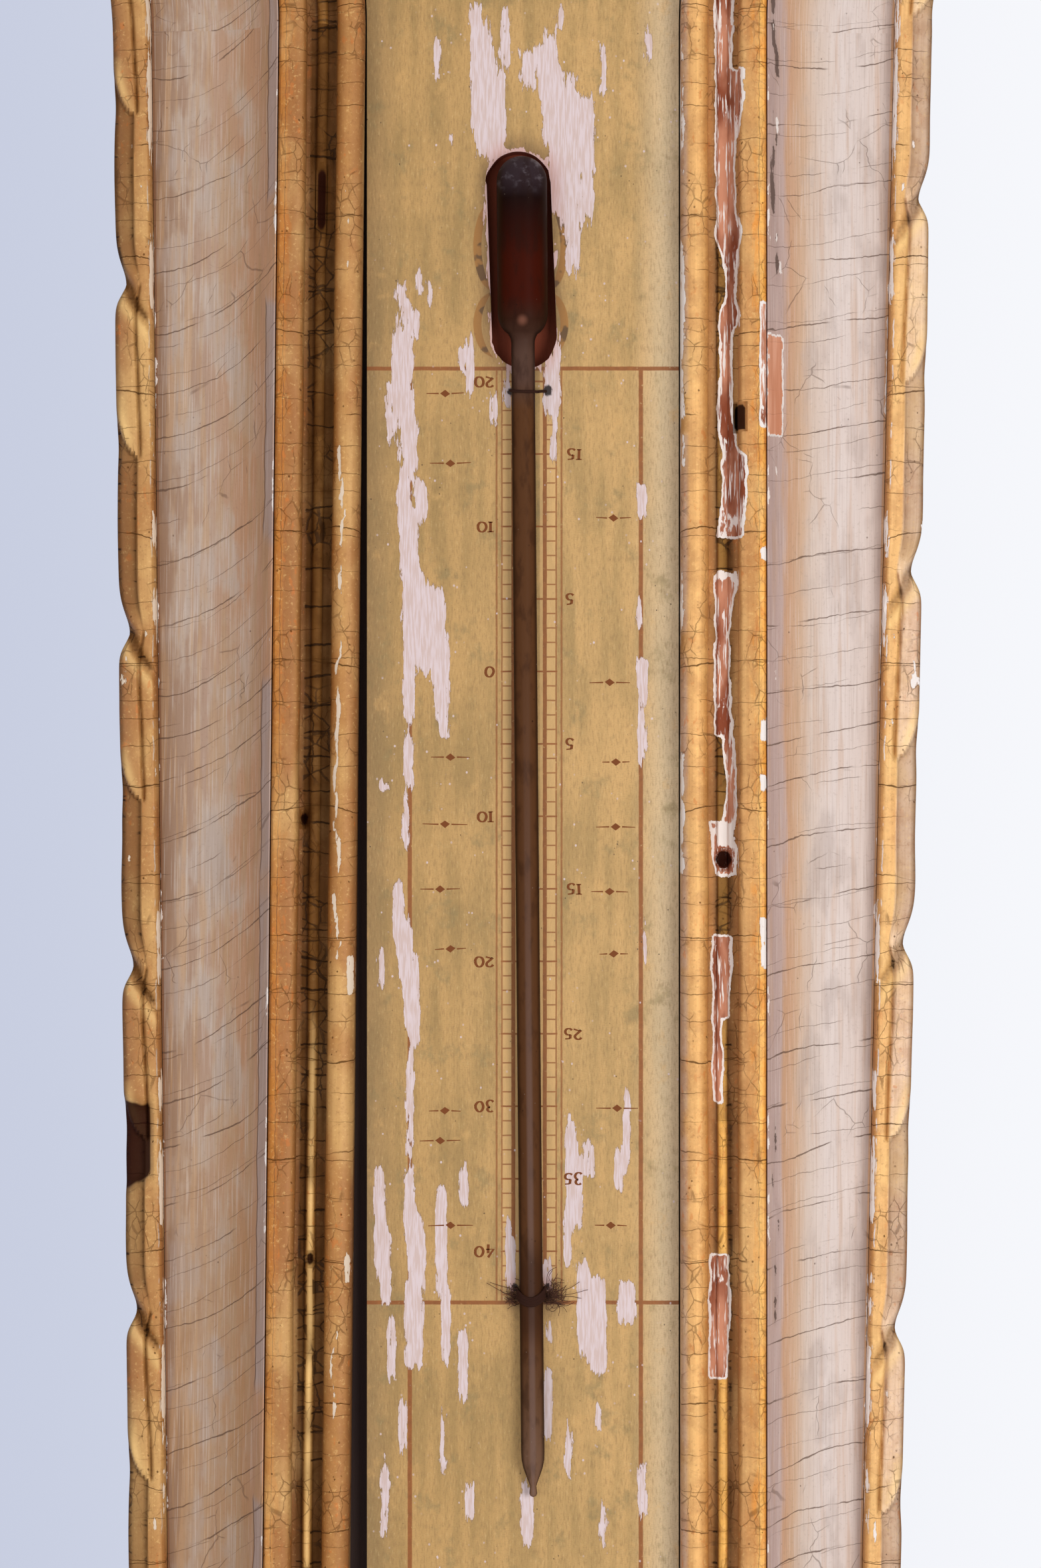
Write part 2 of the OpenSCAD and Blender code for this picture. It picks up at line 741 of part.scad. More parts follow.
// arch_shift is how far the arch's centre lies towards this leaf
module crest_leaf(arch_shift) {
    n = 12;
    heel = [arch_shift + arch_clear * cos(40), neck_top + arch_clear * sin(40)];
    root_angle = atan2(block_corner[1] - heel[1], block_corner[0] - heel[0]) - 90;
    root = (block_corner + heel) / 2 + 0.1 * [cos(root_angle), sin(root_angle)];
    centre = root + leaf_bend * [sin(root_angle), -cos(root_angle)];
    skin([for (i = [0:n])
        let (
            u = i / n,
            a = root_angle - 74 * u,
            w = 1.2 + 8.6 * pow(sin(25 + 150 * u), 1.5) * (1 - 0.2 * abs(sin(u * 720))) * (1 - 0.25 * u)
        )
        leaf_ring([centre[0] - leaf_bend * sin(a), centre[1] + leaf_bend * cos(a), plank_t + 3],
            a, w, 9 - 4 * u)]);
}

module crest_leaf_right() { gilt() upright() crest_leaf(edge_arch_x); }
module crest_leaf_left() { gilt() upright() mirror([1, 0, 0]) crest_leaf(-edge_arch_x); }

// Foot: a block under the frame with a hanging leaf in front of it
foot_face = edge_top + loose_gap;

module foot_block() {
    wood() upright()
        translate([0, 0, edge_back + 1])
            linear_extrude(height = foot_face - edge_back - 1)
                polygon(concat(
                    arc_points(0, 0, frame_r + 0.2, -98, -82, 8),
                    [[13, -frame_r - 0.4 * foot_drop], [0, -frame_r - 0.72 * foot_drop],
                        [-13, -frame_r - 0.4 * foot_drop]]
                ));
}

module foot_leaf() {
    a0 = 188;
    a1 = 352;
    ribs = 7;
    n = ribs * 5;
    gilt() upright()
        translate([0, -frame_r + 5, foot_face])
            skin([for (i = [0:n])
                let (
                    a = a0 + (a1 - a0) * i / n,
                    rib = abs(sin(i / n * ribs * 180)),
                    out = 15 + (foot_drop - 10) * pow(max(0, -sin(a)), 2) - 4 * (1 - rib),
                    inner = 2
                )
                [for (q = [[inner, 0], [inner, 8], [inner + 0.4 * (out - inner), 8 + rib],
                    [inner + 0.8 * (out - inner), 4.4 + 2 * rib], [out, 2.4 + rib], [out - 0.8, 0]])
                    [q[0] * cos(a), q[0] * sin(a), q[1]]]]);
}

// Scale board with its pocket for the bulb
pocket_r = 6.5;
pocket_l = 43.7;
pocket_foot = bulb_foot - 1.3;
tie_low = bulb_foot + bulb_l + 10.4;
tie_high = bulb_foot + thermometer_l - 39.8;
stem_foot_x = 0.25;
function stem_x(y) = stem_foot_x - (y - bulb_foot) * tan(stem_lean);
tie_half = stem_r + tie_r + running_gap;
pin_r = 0.8;
pin_out = dial_sight_r + 7.9;
pin_turn = flare_angle + 20.3;
board_pin_places = concat(
    [for (side = [-1, 1]) pin_out * [side * cos(pin_turn), sin(pin_turn)]],
    [for (side = [-1, 1]) [side * 14, neck_top - 20]],
    [[0, neck_top + 22]]
);

module tie_holes() {
    for (y = [tie_low, tie_high], side = [-1, 1])
        translate([stem_x(y) + side * tie_half, y, plank_t - 4])
            cylinder(r = tie_r + 0.35, h = 30);
}

module pocket() {
    translate([0.95, pocket_foot + pocket_r, plank_t - 1])
        rotate([0, 0, 2.3])
            union() {
                cylinder(r = pocket_r, h = 20);
                translate([-pocket_r, 0, 0])
                    cube([2 * pocket_r, pocket_l - 2 * pocket_r, 20]);
                translate([0, pocket_l - 2 * pocket_r, 0])
                    cylinder(r = pocket_r, h = 20);
            }
}

module scale_board() {
    rim = dial_r + loose_gap + seat_gap;
    tip = rim * sin(flare_angle + 13.6);
    half = concat(
        [[rim * cos(flare_angle + 13.6), tip]],
        [for (p = arc_points(flare_x, neck_low, flare_r + board_gap, 180 + flare_angle, 180, 12))
            if (p[1] > tip) p]
    );
    outline = concat(half, round_head(0, sight_half - board_gap), mirrored(half));
    color([0.70, 0.63, 0.42]) upright()
        difference() {
            translate([0, 0, plank_t])
                linear_extrude(height = board_t)
                    polygon(outline);
            cylinder(r = rim, h = 60, $fn = 144);
            pocket();
            tie_holes();
            at_places(board_pin_places)
                cylinder(r = pin_r + running_gap, h = 60);
        }
}

module board_pins() {
    brass() upright()
        at_places(board_pin_places) {
            translate([0, 0, plank_t - 8])
                cylinder(r = pin_r, h = board_t + 8);
            translate([0, 0, board_front])
                cylinder(r = 1.9, h = 0.7);
        }
}

// Thermometer, turned about its own axis
stem_l = thermometer_l - bulb_l;

module on_stem_axis() {
    translate([stem_foot_x, bulb_foot, stem_axis])
        rotate([0, 0, stem_lean])
            rotate([-90, 0, 0])
                children();
}

// Half outline of the thermometer at a depth below its surface in the bulb, and at radius r in the tube
function bulb_profile(depth, r, top) = concat(
    [[0, depth]],
    [for (a = [-72:18:-18]) [(bulb_r - depth) * cos(a), bulb_r + (bulb_r - depth) * sin(a)]],
    [[bulb_r - depth, bulb_r], [bulb_r - depth, bulb_l - 8]],
    [for (k = [1:4]) [r + (bulb_r - depth - r) * (1 + cos(k * 45)) / 2, bulb_l - 8 + 2 * k]],
    [[r, top]]
);

module thermometer_glass() {
    glassy() upright()
        on_stem_axis()
            rotate_extrude()
                difference() {
                    polygon(concat(
                        bulb_profile(0, stem_r, thermometer_l - 9),
                        [[stem_r * 0.8, thermometer_l - 6], [1.1, thermometer_l - 3],
                            [0.8, thermometer_l - 1], [0, thermometer_l]]
                    ));
                    polygon(concat(bulb_profile(bulb_wall, stem_bore, thermometer_l - 8),
                        [[0, thermometer_l - 8]]));
                }
}

module thermometer_spirit() {
    level = bulb_l + 0.62 * (stem_l - 20);
    color([0.45, 0.12, 0.08]) upright()
        on_stem_axis()
            rotate_extrude()
                polygon(concat(bulb_profile(bulb_wall + running_gap, stem_bore - running_gap, level),
                    [[0, level]]));
}

// A tie over the tube, with both ends let into the board; a round thread, or a flat winding of it
module tie(y, winding) {
    deep = board_t + 2;
    translate([stem_x(y), y, stem_axis]) {
        rotate([90, 0, 0])
            rotate_extrude(angle = 180)
                translate([tie_half, 0])
                    square([2 * tie_r, winding], center = true);
        for (side = [-1, 1])
            translate([side * tie_half, 0, -stem_r - 0.2 - deep])
                cylinder(r = tie_r, h = stem_r + 0.2 + deep);
    }
}

module lower_tie() { threadlike() upright() tie(tie_low, 2 * tie_r); }
module upper_tie() { threadlike() upright() tie(tie_high, 7 * tie_r); }

// Dial with its brass seat
seat_screw_places = [for (i = [0:5]) let (a = 30 + i * 60)
    [(dial_r - seat_w / 2) * cos(a), (dial_r - seat_w / 2) * sin(a)]];

module dial() {
    color([0.90, 0.86, 0.74]) upright()
        difference() {
            translate([0, 0, plank_t])
                cylinder(r = dial_r, h = dial_t, $fn = 144);
            cylinder(r = bush_r + seat_gap, h = 60);
            at_places(seat_screw_places)
                cylinder(r = 0.9 + running_gap, h = 60);
        }
}

module dial_seat() {
    brass() upright()
        difference() {
            translate([0, 0, dial_face])
                cylinder(r = dial_r, h = seat_t, $fn = 144);
            cylinder(r = dial_r - seat_w, h = 60, $fn = 144);
            at_places(seat_screw_places) {
                cylinder(r = 0.9 + running_gap, h = 60);
                translate([0, 0, seat_face - 0.7])
                    cylinder(r = 1.8, h = 5);
            }
        }
}

module seat_screws() {
    brass() upright()
        at_places(seat_screw_places) {
            translate([0, 0, plank_t - 2.5])
                cylinder(r = 0.9, h = dial_t + seat_t + 2.5 - 0.1);
            translate([0, 0, seat_face - 0.6])
                cylinder(r = 1.7, h = 0.5);
        }
}

// Bezel on a hinge at the left, with its axis in front of the bead
bezel_r = dial_sight_r - 1.4;
bezel_back = seat_face + loose_gap;
hinge_x = -dial_sight_r - 0.4;
hinge_z = bezel_top + 2.2;
knuckle_r = 1.9;
hinge_pin_r = 0.9;
knuckle_half = 3.5;
hinge_half = 9;
glass_low = bezel_top - 1.2 - seat_gap - glass_t;
glass_r = bezel_r - 4;

module hinge_barrel(y0, y1) {
    translate([hinge_x, y1, hinge_z])
        rotate([90, 0, 0])
            cylinder(r = knuckle_r, h = y1 - y0);
}

module hinge_bore() {
    translate([hinge_x, hinge_half + 1, hinge_z])
        rotate([90, 0, 0])
            cylinder(r = hinge_pin_r + running_gap, h = 2 * hinge_half + 2);
}

hinge_screw_places = [for (y = [-5.5, 5.5]) [hinge_x - 8.3, y]];

module hinge_leaf() {
    foot_x = hinge_x - 10.2;
    brass() upright()
        difference() {
            union() {
                for (side = [0, 1])
                    mirror([0, side, 0])
                        hinge_barrel(knuckle_half + loose_gap, hinge_half);
                for (side = [0, 1])
                    mirror([0, side, 0])
                        translate([foot_x, knuckle_half + loose_gap, bead_top + loose_gap])
                            cube([hinge_x - foot_x, hinge_half - knuckle_half - loose_gap, 1.4]);
                translate([foot_x, -hinge_half, bead_top + loose_gap])
                    cube([3.6, 2 * hinge_half, 1.4]);
                translate([foot_x, -hinge_half, groove_floor + 1.6])
                    cube([3.6, 2 * hinge_half, bead_top + loose_gap - groove_floor - 1.5]);
            }
            hinge_bore();
            at_places(hinge_screw_places)
                cylinder(r = 0.7 + running_gap, h = 60);
        }
}

module hinge_screws() {
    brass() upright()
        at_places(hinge_screw_places)
            translate([0, 0, bead_top + loose_gap + 1.4]) {
                cylinder(r = 1.3, h = 0.6);
                translate([0, 0, -4.4])
                    cylinder(r = 0.7, h = 4.4);
            }
}

module hinge_pin() {
    brass() upright()
        translate([hinge_x, hinge_half + 0.6, hinge_z])
            rotate([90, 0, 0])
                union() {
                    cylinder(r = hinge_pin_r, h = 2 * hinge_half + 1.2);
                    cylinder(r = 1.5, h = 0.5);
                }
}

module bezel() {
    brass() upright()
        difference() {
            union() {
                rotate_extrude($fn = 144)
                    polygon([
                        [glass_r + 0.3, bezel_back], [bezel_r - 0.6, bezel_back], [bezel_r, bezel_back + 0.6],
                        [bezel_r, bezel_top - 3], [bezel_r - 0.7, bezel_top - 1.2],
                        [bezel_r - 2.2, bezel_top], [bezel_r - bezel_w + 1, bezel_top],
                        [bezel_r - bezel_w, bezel_top - 1.2], [glass_r + seat_gap, bezel_top - 1.2],
                        [glass_r + seat_gap, glass_low - seat_gap], [glass_r - 1.4, glass_low - seat_gap],
                        [glass_r - 0.4, bezel_back + 1]
                    ]);
                translate([hinge_x, -knuckle_half, bezel_top - 0.2])
                    cube([5, 2 * knuckle_half, 1.2]);
                hinge_barrel(-knuckle_half, knuckle_half);
                translate([bezel_r - 3, 0, bezel_top - 1])
                    cylinder(r = 1.3, h = 4);
            }
            hinge_bore();
        }
}

// Glass with a bush for the brass hand's spindle
glass_bush_r = 2.8;
spindle_r = 0.9;
set_hand_z = glass_low - 1.9;

module dial_glass() {
    glassy() upright()
        translate([0, 0, glass_low])
            difference() {
                cylinder(r = glass_r, h = glass_t, $fn = 144);
                translate([0, 0, -1])
                    cylinder(r = glass_bush_r + running_gap, h = glass_t + 2);
            }
}

module glass_bush() {
    brass() upright()
        difference() {
            union() {
                translate([0, 0, glass_low - 0.6])
                    cylinder(r = glass_bush_r + 1.4, h = 0.6);
                translate([0, 0, glass_low - 0.1])
                    cylinder(r = glass_bush_r, h = glass_t + 0.2);
                translate([0, 0, glass_low + glass_t])
                    cylinder(r = glass_bush_r + 1.4, h = 0.6);
            }
            cylinder(r = spindle_r + running_gap, h = 60);
        }
}

// Tapering hand with a ring before its tip and a crescent on its tail
module hand_shape(l, w) {
    difference() {
        union() {
            polygon([[-w, 0], [-0.45 * w, 0.62 * l], [0.45 * w, 0.62 * l], [w, 0]]);
            translate([0, 0.66 * l])
                circle(r = 0.075 * l);
            polygon([[-0.5 * w, 0.72 * l], [0, l], [0.5 * w, 0.72 * l]]);
            polygon([[-0.8 * w, 0], [-0.5 * w, -0.3 * l], [0.5 * w, -0.3 * l], [0.8 * w, 0]]);
            translate([0, -0.34 * l])
                circle(r = 0.07 * l);
        }
        translate([0, 0.66 * l])
            circle(r = 0.045 * l);
        translate([0, -0.37 * l])
            circle(r = 0.05 * l);
    }
}

module set_hand() {
    brass() upright()
        translate([0, 0, set_hand_z]) {
            linear_extrude(height = 0.7)
                hand_shape(set_hand_l, 1.3);
            cylinder(r = 2.6, h = 1.1);
            cylinder(r = spindle_r, h = glass_t + 8);
        }
}

module set_knob() {
    knob_low = glass_low + glass_t + 0.6 + loose_gap;
    brass() upright()
        translate([0, 0, knob_low])
            difference() {
                rotate_extrude()
                    polygon([[0, 0], [knob_r * 0.5, 0], [knob_r * 0.42, 1.6], [knob_r, 2.6], [knob_r, 4.6],
                        [knob_r - 0.8, 5.4], [0, 6]]);
                translate([0, 0, -1])
                    cylinder(r = spindle_r + running_gap, h = set_hand_z + glass_t + 8 - knob_low + 1.1);
            }
}

// Arbor with pulley and blued hand
arbor_r = 1;
bush_r = 3.6;
hand_z = dial_face + 1.9;
pulley_flange = pulley_r + 1.5;
thread_r = 0.25;
groove_r = pulley_r - thread_r - running_gap;
pulley_half = 1.6;

module arbor() {
    color([0.55, 0.56, 0.58]) upright()
        union() {
            translate([0, 0, 0.3])
                cylinder(r = arbor_r, h = hand_z + 1.4 - 0.3);
            translate([0, 0, bridge_t + loose_gap])
                cylinder(r = 2, h = 1.2);
        }
}

module pulley() {
    brass() upright()
        translate([0, 0, tube_axis])
            rotate_extrude()
                polygon([
                    [arbor_r + running_gap, -pulley_half - 0.6], [3, -pulley_half - 0.6], [3, -pulley_half],
                    [pulley_flange, -pulley_half], [pulley_flange, -pulley_half + 0.6],
                    [groove_r, -0.5], [groove_r, 0.5],
                    [pulley_flange, pulley_half - 0.6], [pulley_flange, pulley_half],
                    [3, pulley_half], [3, pulley_half + 0.8], [arbor_r + running_gap, pulley_half + 0.8]
                ]);
}

module pulley_thread() {
    threadlike() upright()
        translate([0, 0, tube_axis])
            rotate_extrude(angle = 180)
                translate([pulley_r, 0])
                    circle(r = thread_r, $fn = 24);
}

module hand() {
    blued() upright()
        difference() {
            translate([0, 0, hand_z]) {
                linear_extrude(height = 0.7)
                    hand_shape(hand_l, 1.7);
                translate([0, 0, -0.6])
                    cylinder(r = 3.2, h = 1.7);
            }
            cylinder(r = arbor_r + running_gap, h = 60);
        }
}

module arbor_bush() {
    bush_low = tube_axis + pulley_half + 0.8 + loose_gap;
    brass() upright()
        difference() {
            union() {
                translate([0, 0, bush_low])
                    cylinder(r = bush_r, h = dial_face - bush_low);
                translate([0, 0, dial_face])
                    cylinder(r = 5.5, h = 0.8);
            }
            cylinder(r = arbor_r + running_gap, h = 60);
        }
}

module rear_bridge() {
    brass() upright()
        difference() {
            rounded_bar(bridge_left, bridge_right, bridge_half_w, bridge_t);
            translate([0, 0, -1])
                cylinder(r = arbor_r + running_gap, h = 5);
            at_places(bridge_screw_places)
                small_screw_hole(0.2, 9);
        }
}

module bridge_screws() {
    iron() upright()
        at_places(bridge_screw_places)
            small_screw(0.2, 9);
}

module tube_straps() {
    brass() upright()
        difference() {
            strap_bar(0);
            at_places(strap_screw_places)
                small_screw_hole(0.4, 9);
        }
}

module strap_screws() {
    iron() upright() {
        at_places(strap_screw_places)
            small_screw(0.4, 8);
        at_places(hanger_screw_places)
            small_screw(0.8, 8);
    }
}

// Siphon tube: short open limb, bend and long closed limb
module siphon_tube() {
    glassy() upright() {
        translate([pulley_r, 0, tube_axis])
            turned_along_y(bend_y)
                polygon([[siphon_bore, 0], [siphon_r, 0], [siphon_r, limb_top - bend_y],
                    [siphon_bore, limb_top - bend_y]]);
        translate([pulley_r + bend_r, bend_y, tube_axis])
            rotate([0, 0, 180])
                rotate_extrude(angle = 180)
                    translate([bend_r, 0])
                        difference() {
                            circle(r = siphon_r);
                            circle(r = siphon_bore);
                        }
        translate([long_limb_x, 0, tube_axis])
            turned_along_y(bend_y)
                polygon([[siphon_bore, 0], [siphon_r, 0], [siphon_r, siphon_top - 3 - bend_y],
                    [siphon_r - 1, siphon_top - 1 - bend_y], [0, siphon_top - bend_y],
                    [0, siphon_top - 3 - bend_y], [siphon_bore, siphon_top - 5 - bend_y]]);
    }
}

module mercury() {
    r = siphon_bore - running_gap;
    silvery() upright() {
        translate([pulley_r, 0, tube_axis])
            turned_along_y(bend_y)
                square([r, mercury_low - bend_y]);
        translate([pulley_r + bend_r, bend_y, tube_axis])
            rotate([0, 0, 180])
                rotate_extrude(angle = 180)
                    translate([bend_r, 0])
                        circle(r = r);
        translate([long_limb_x, 0, tube_axis])
            turned_along_y(bend_y)
                square([r, mercury_high - bend_y]);
    }
}

weight_r = siphon_bore - 0.45;
counterweight_low = mercury_low - 9;
counterweight_top = counterweight_low + counterweight_l;
float_top = mercury_low + float_l;

module float_weight() {
    color([0.85, 0.82, 0.75]) upright()
        translate([pulley_r, 0, tube_axis])
            turned_along_y(mercury_low)
                polygon([[0, 0], [weight_r - 0.4, 0], [weight_r, 0.8], [weight_r, float_l - 1],
                    [0.8, float_l], [0, float_l]]);
}

module counterweight() {
    iron() upright()
        translate([-pulley_r, 0, tube_axis])
            turned_along_y(counterweight_low)
                polygon([[0, 0], [weight_r - 0.4, 0], [weight_r, 0.8], [weight_r, counterweight_l - 1],
                    [0.8, counterweight_l], [0, counterweight_l]]);
}

module float_thread() {
    threadlike() upright()
        translate([pulley_r, 0, tube_axis])
            turned_along_y(float_top)
                square([thread_r, -float_top]);
}

module counterweight_thread() {
    threadlike() upright()
        translate([-pulley_r, 0, tube_axis])
            turned_along_y(counterweight_top)
                square([thread_r, -counterweight_top]);
}

module guide_tube() {
    low = recess_low + loose_gap;
    glassy() upright()
        translate([-pulley_r, 0, tube_axis])
            turned_along_y(low)
                polygon([[0, 0], [siphon_r, 0], [siphon_r, limb_top - low], [siphon_bore, limb_top - low],
                    [siphon_bore, 2], [0, 2]]);
}

back_plank();
cove_left();
cove_right();
cove_lower_left();
cove_lower_right();
cove_top();
sight_moulding_left();
sight_moulding_right();
sight_moulding_lower_left();
sight_moulding_lower_right();
sight_moulding_top();
carved_edge_left();
carved_edge_right();
carved_edge_lower();
carved_edge_top();
crest_block();
crest_shell();
crest_button();
crest_scroll_left();
crest_scroll_right();
crest_leaf_left();
crest_leaf_right();
foot_block();
foot_leaf();
scale_board();
board_pins();
thermometer_glass();
thermometer_spirit();
lower_tie();
upper_tie();
dial();
dial_seat();
seat_screws();
hinge_leaf();
hinge_screws();
hinge_pin();
bezel();
dial_glass();
glass_bush();
set_hand();
set_knob();
arbor();
pulley();
pulley_thread();
hand();
arbor_bush();
rear_bridge();
bridge_screws();
siphon_tube();
mercury();
float_weight();
float_thread();
guide_tube();
counterweight();
counterweight_thread();
tube_straps();
strap_screws();
hanger();
frame_screws();
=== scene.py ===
"""A wall barometer with a thermometer in its neck, dressed for rendering.

The CAD frame gives places and motion. This script adds the carved and painted surfaces that the CAD part
only outlines: the wound ribbon on the edge, the cracked cove, the worn gilding and the painted scale. Sizes
are in millimetres from the dial's centre, as in the CAD source: x to the right, y up and h from the wall
towards the viewer. to_world turns them into metres in the row's frame.
"""

import json
import logging
import math
from dataclasses import dataclass, field
from enum import Enum
from functools import reduce
from typing import Sequence

import bmesh
import bpy
import numpy as np
from mathutils import Matrix, Vector

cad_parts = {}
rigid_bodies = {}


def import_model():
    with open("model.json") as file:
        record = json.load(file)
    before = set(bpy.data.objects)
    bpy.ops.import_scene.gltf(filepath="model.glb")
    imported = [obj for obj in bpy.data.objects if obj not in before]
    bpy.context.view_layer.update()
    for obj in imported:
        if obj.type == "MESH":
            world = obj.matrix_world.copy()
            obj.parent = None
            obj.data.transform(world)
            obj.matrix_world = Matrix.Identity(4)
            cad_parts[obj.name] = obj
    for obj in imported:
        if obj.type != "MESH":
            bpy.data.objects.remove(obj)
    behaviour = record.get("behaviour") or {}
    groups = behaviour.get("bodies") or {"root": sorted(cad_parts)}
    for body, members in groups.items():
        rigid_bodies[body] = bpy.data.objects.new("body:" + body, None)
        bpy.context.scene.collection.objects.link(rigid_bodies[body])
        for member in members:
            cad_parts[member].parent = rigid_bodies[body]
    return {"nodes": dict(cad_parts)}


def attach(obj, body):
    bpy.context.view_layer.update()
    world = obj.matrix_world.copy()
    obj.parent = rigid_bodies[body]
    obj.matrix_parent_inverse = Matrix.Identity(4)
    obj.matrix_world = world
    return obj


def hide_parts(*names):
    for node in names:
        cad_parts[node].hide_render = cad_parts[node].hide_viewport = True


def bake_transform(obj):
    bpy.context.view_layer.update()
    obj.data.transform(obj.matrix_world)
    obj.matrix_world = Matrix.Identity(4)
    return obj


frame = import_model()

log = logging.getLogger("barometer")

MM = 0.001
HOOK_DROP = 748.0
PLANK_H = 15.0
BOARD_H = 20.0

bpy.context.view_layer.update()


def to_world(points: np.ndarray) -> np.ndarray:
    """Turn part coordinates into the row's frame.

    Args:
        points: array of shape (..., 3) with x, y and h in millimetres.

    Returns:
        Array of the same shape in metres, with the wall in the plane Y = 0.
    """
    out = np.empty_like(points, dtype=float)
    out[..., 0] = points[..., 0] * MM
    out[..., 1] = -points[..., 2] * MM
    out[..., 2] = (points[..., 1] - HOOK_DROP) * MM
    return out


def polar(r: float | np.ndarray, a: float | np.ndarray, centre: Sequence = (0.0, 0.0)) -> np.ndarray:
    """Points at a radius and an angle from a centre, with x and y in the last axis."""
    return np.stack(np.broadcast_arrays(centre[0] + r * np.cos(a), centre[1] + r * np.sin(a)), axis=-1)


def with_height(xy: np.ndarray, h: float | np.ndarray) -> np.ndarray:
    """Points in space from flat points and their heights above the wall."""
    return np.concatenate([xy, np.broadcast_to(h, xy.shape[:-1])[..., None]], axis=-1)


def smooth(x: np.ndarray) -> np.ndarray:
    """Ease from 0 to 1, flat outside."""
    x = np.clip(x, 0.0, 1.0)
    return x * x * (3.0 - 2.0 * x)


def lattice(ix: np.ndarray, iy: np.ndarray, seed: int) -> np.ndarray:
    """Give each whole-number place its own fixed value from 0 to 1.

    Args:
        ix: whole-number places along the first coordinate.
        iy: the same along the second.
        seed: picks the pattern.

    Returns:
        Values from 0 to 1.
    """
    n = (ix.astype(np.int64) * 374761393 + iy.astype(np.int64) * 668265263 + seed * 1442695041) & 0xFFFFFFFF
    n = ((n ^ (n >> 13)) * 1274126177) & 0xFFFFFFFF
    return ((n ^ (n >> 16)) & 0xFFFF) / 65535.0


def value_noise(x: np.ndarray, y: np.ndarray, seed: int = 0) -> np.ndarray:
    """Smooth noise with features one unit wide.

    Args:
        x: first coordinate.
        y: second coordinate, of a shape that goes with x.
        seed: picks the pattern.

    Returns:
        Values from -1 to 1.
    """
    x, y = np.broadcast_arrays(x, y)
    ix, iy = np.floor(x), np.floor(y)
    fx, fy = smooth(x - ix), smooth(y - iy)
    low = lattice(ix, iy, seed) * (1 - fx) + lattice(ix + 1, iy, seed) * fx
    high = lattice(ix, iy + 1, seed) * (1 - fx) + lattice(ix + 1, iy + 1, seed) * fx
    return 2.0 * (low * (1 - fy) + high * fy) - 1.0


def drift(x: np.ndarray, size: float, seed: int) -> np.ndarray:
    """Smooth noise from -1 to 1 along one value, with features of a size."""
    return value_noise(x / size, 0.0, seed)


@dataclass(frozen=True)
class Outline:
    """The frame's outline, tangent arcs and straight sides, with the same sizes as the CAD source."""

    sight_half: float = 31.6
    dial_sight_r: float = 86.0
    flare_r: float = 115.0
    neck_top: float = 575.0
    edge_lean: float = 0.9
    gap_lean: float = 0.6
    sight_w: float = 17.0
    cove_w: float = 26.5
    edge_w: float = 7.5

    @property
    def flare_x(self) -> float:
        """Distance of the flare's centre from the middle line."""
        return self.sight_half + self.flare_r

    @property
    def neck_low(self) -> float:
        """Height at which the neck's straight sides begin."""
        return math.sqrt((self.dial_sight_r + self.flare_r) ** 2 - self.flare_x ** 2)

    @property
    def flare_angle(self) -> float:
        """Angle that the flare sweeps, in radians."""
        return math.atan2(self.neck_low, self.flare_x)

    @property
    def neck_l(self) -> float:
        """Length of the neck's straight sides."""
        return self.neck_top - self.neck_low

    @property
    def gap_at_top(self) -> float:
        """How far the right side stands off at the top."""
        return self.neck_l * math.tan(math.radians(self.gap_lean))

    @property
    def arch_x(self) -> float:
        """Sideways place of the arch's centre."""
        return self.gap_at_top / 2

    @property
    def arch_r(self) -> float:
        """Radius of the opening's arch."""
        return self.sight_half + self.gap_at_top / 2

    @property
    def cove_out(self) -> float:
        """Distance from the opening to the cove's outer side."""
        return self.sight_w + self.cove_w

    @property
    def edge_in(self) -> float:
        """Distance from the opening to the carved edge."""
        return self.cove_out + 0.1

    def lean(self, side: int) -> float:
        """Angle at which the outer edge leans inwards, in radians, for side 1 (right) or -1 (left)."""
        return math.radians(self.edge_lean - side * self.gap_lean / 2)

    @property
    def edge_arch_r(self) -> float:
        """Radius of the carved edge's inner side on the arch."""
        draw = self.neck_l * (math.tan(self.lean(1)) + math.tan(self.lean(-1))) / 2
        return self.sight_half + self.cove_out - draw

    @property
    def edge_arch_x(self) -> float:
        """Sideways place of the centre of the carved edge's arch."""
        return self.neck_l * (math.tan(self.lean(-1)) - math.tan(self.lean(1))) / 2

    @property
    def runs(self) -> tuple:
        """Lengths of the carved edge on ring, flare, neck and half arch."""
        ring = (self.dial_sight_r + self.edge_in) * (math.pi / 2 + self.flare_angle)
        flare = (self.flare_r - self.edge_in) * self.flare_angle
        neck = self.neck_l / math.cos(math.radians(self.edge_lean))
        return ring, flare, neck, (self.edge_arch_r + 0.1) * math.pi / 2


OUTLINE = Outline()


@dataclass
class Stations:
    """Places along one length of moulding: points on the opening's edge and directions away from it."""

    points: np.ndarray
    outward: np.ndarray
    along: np.ndarray

    def mirrored(self) -> "Stations":
        """The same length on the other side, running the same way."""
        flip = np.array([-1.0, 1.0])
        return Stations(self.points * flip, self.outward * flip, self.along)


def arc_stations(centre: Sequence, r: float, a0: float, a1: float, sign: float, start: float,
                 step: float) -> Stations:
    """Stations on an arc of the opening's edge.

    Args:
        centre: the arc's centre.
        r: its radius.
        a0: first angle in radians.
        a1: last angle in radians.
        sign: 1 where away from the opening is away from the centre, and -1 for towards it.
        start: length along the outline at the first station.
        step: spacing in millimetres.

    Returns:
        The stations.
    """
    n = max(2, int(abs(a1 - a0) * r / step) + 1)
    a = np.linspace(a0, a1, n)
    d = polar(1.0, a)
    return Stations(np.array(centre) + r * d, sign * d, start + np.abs(a - a0) * r)


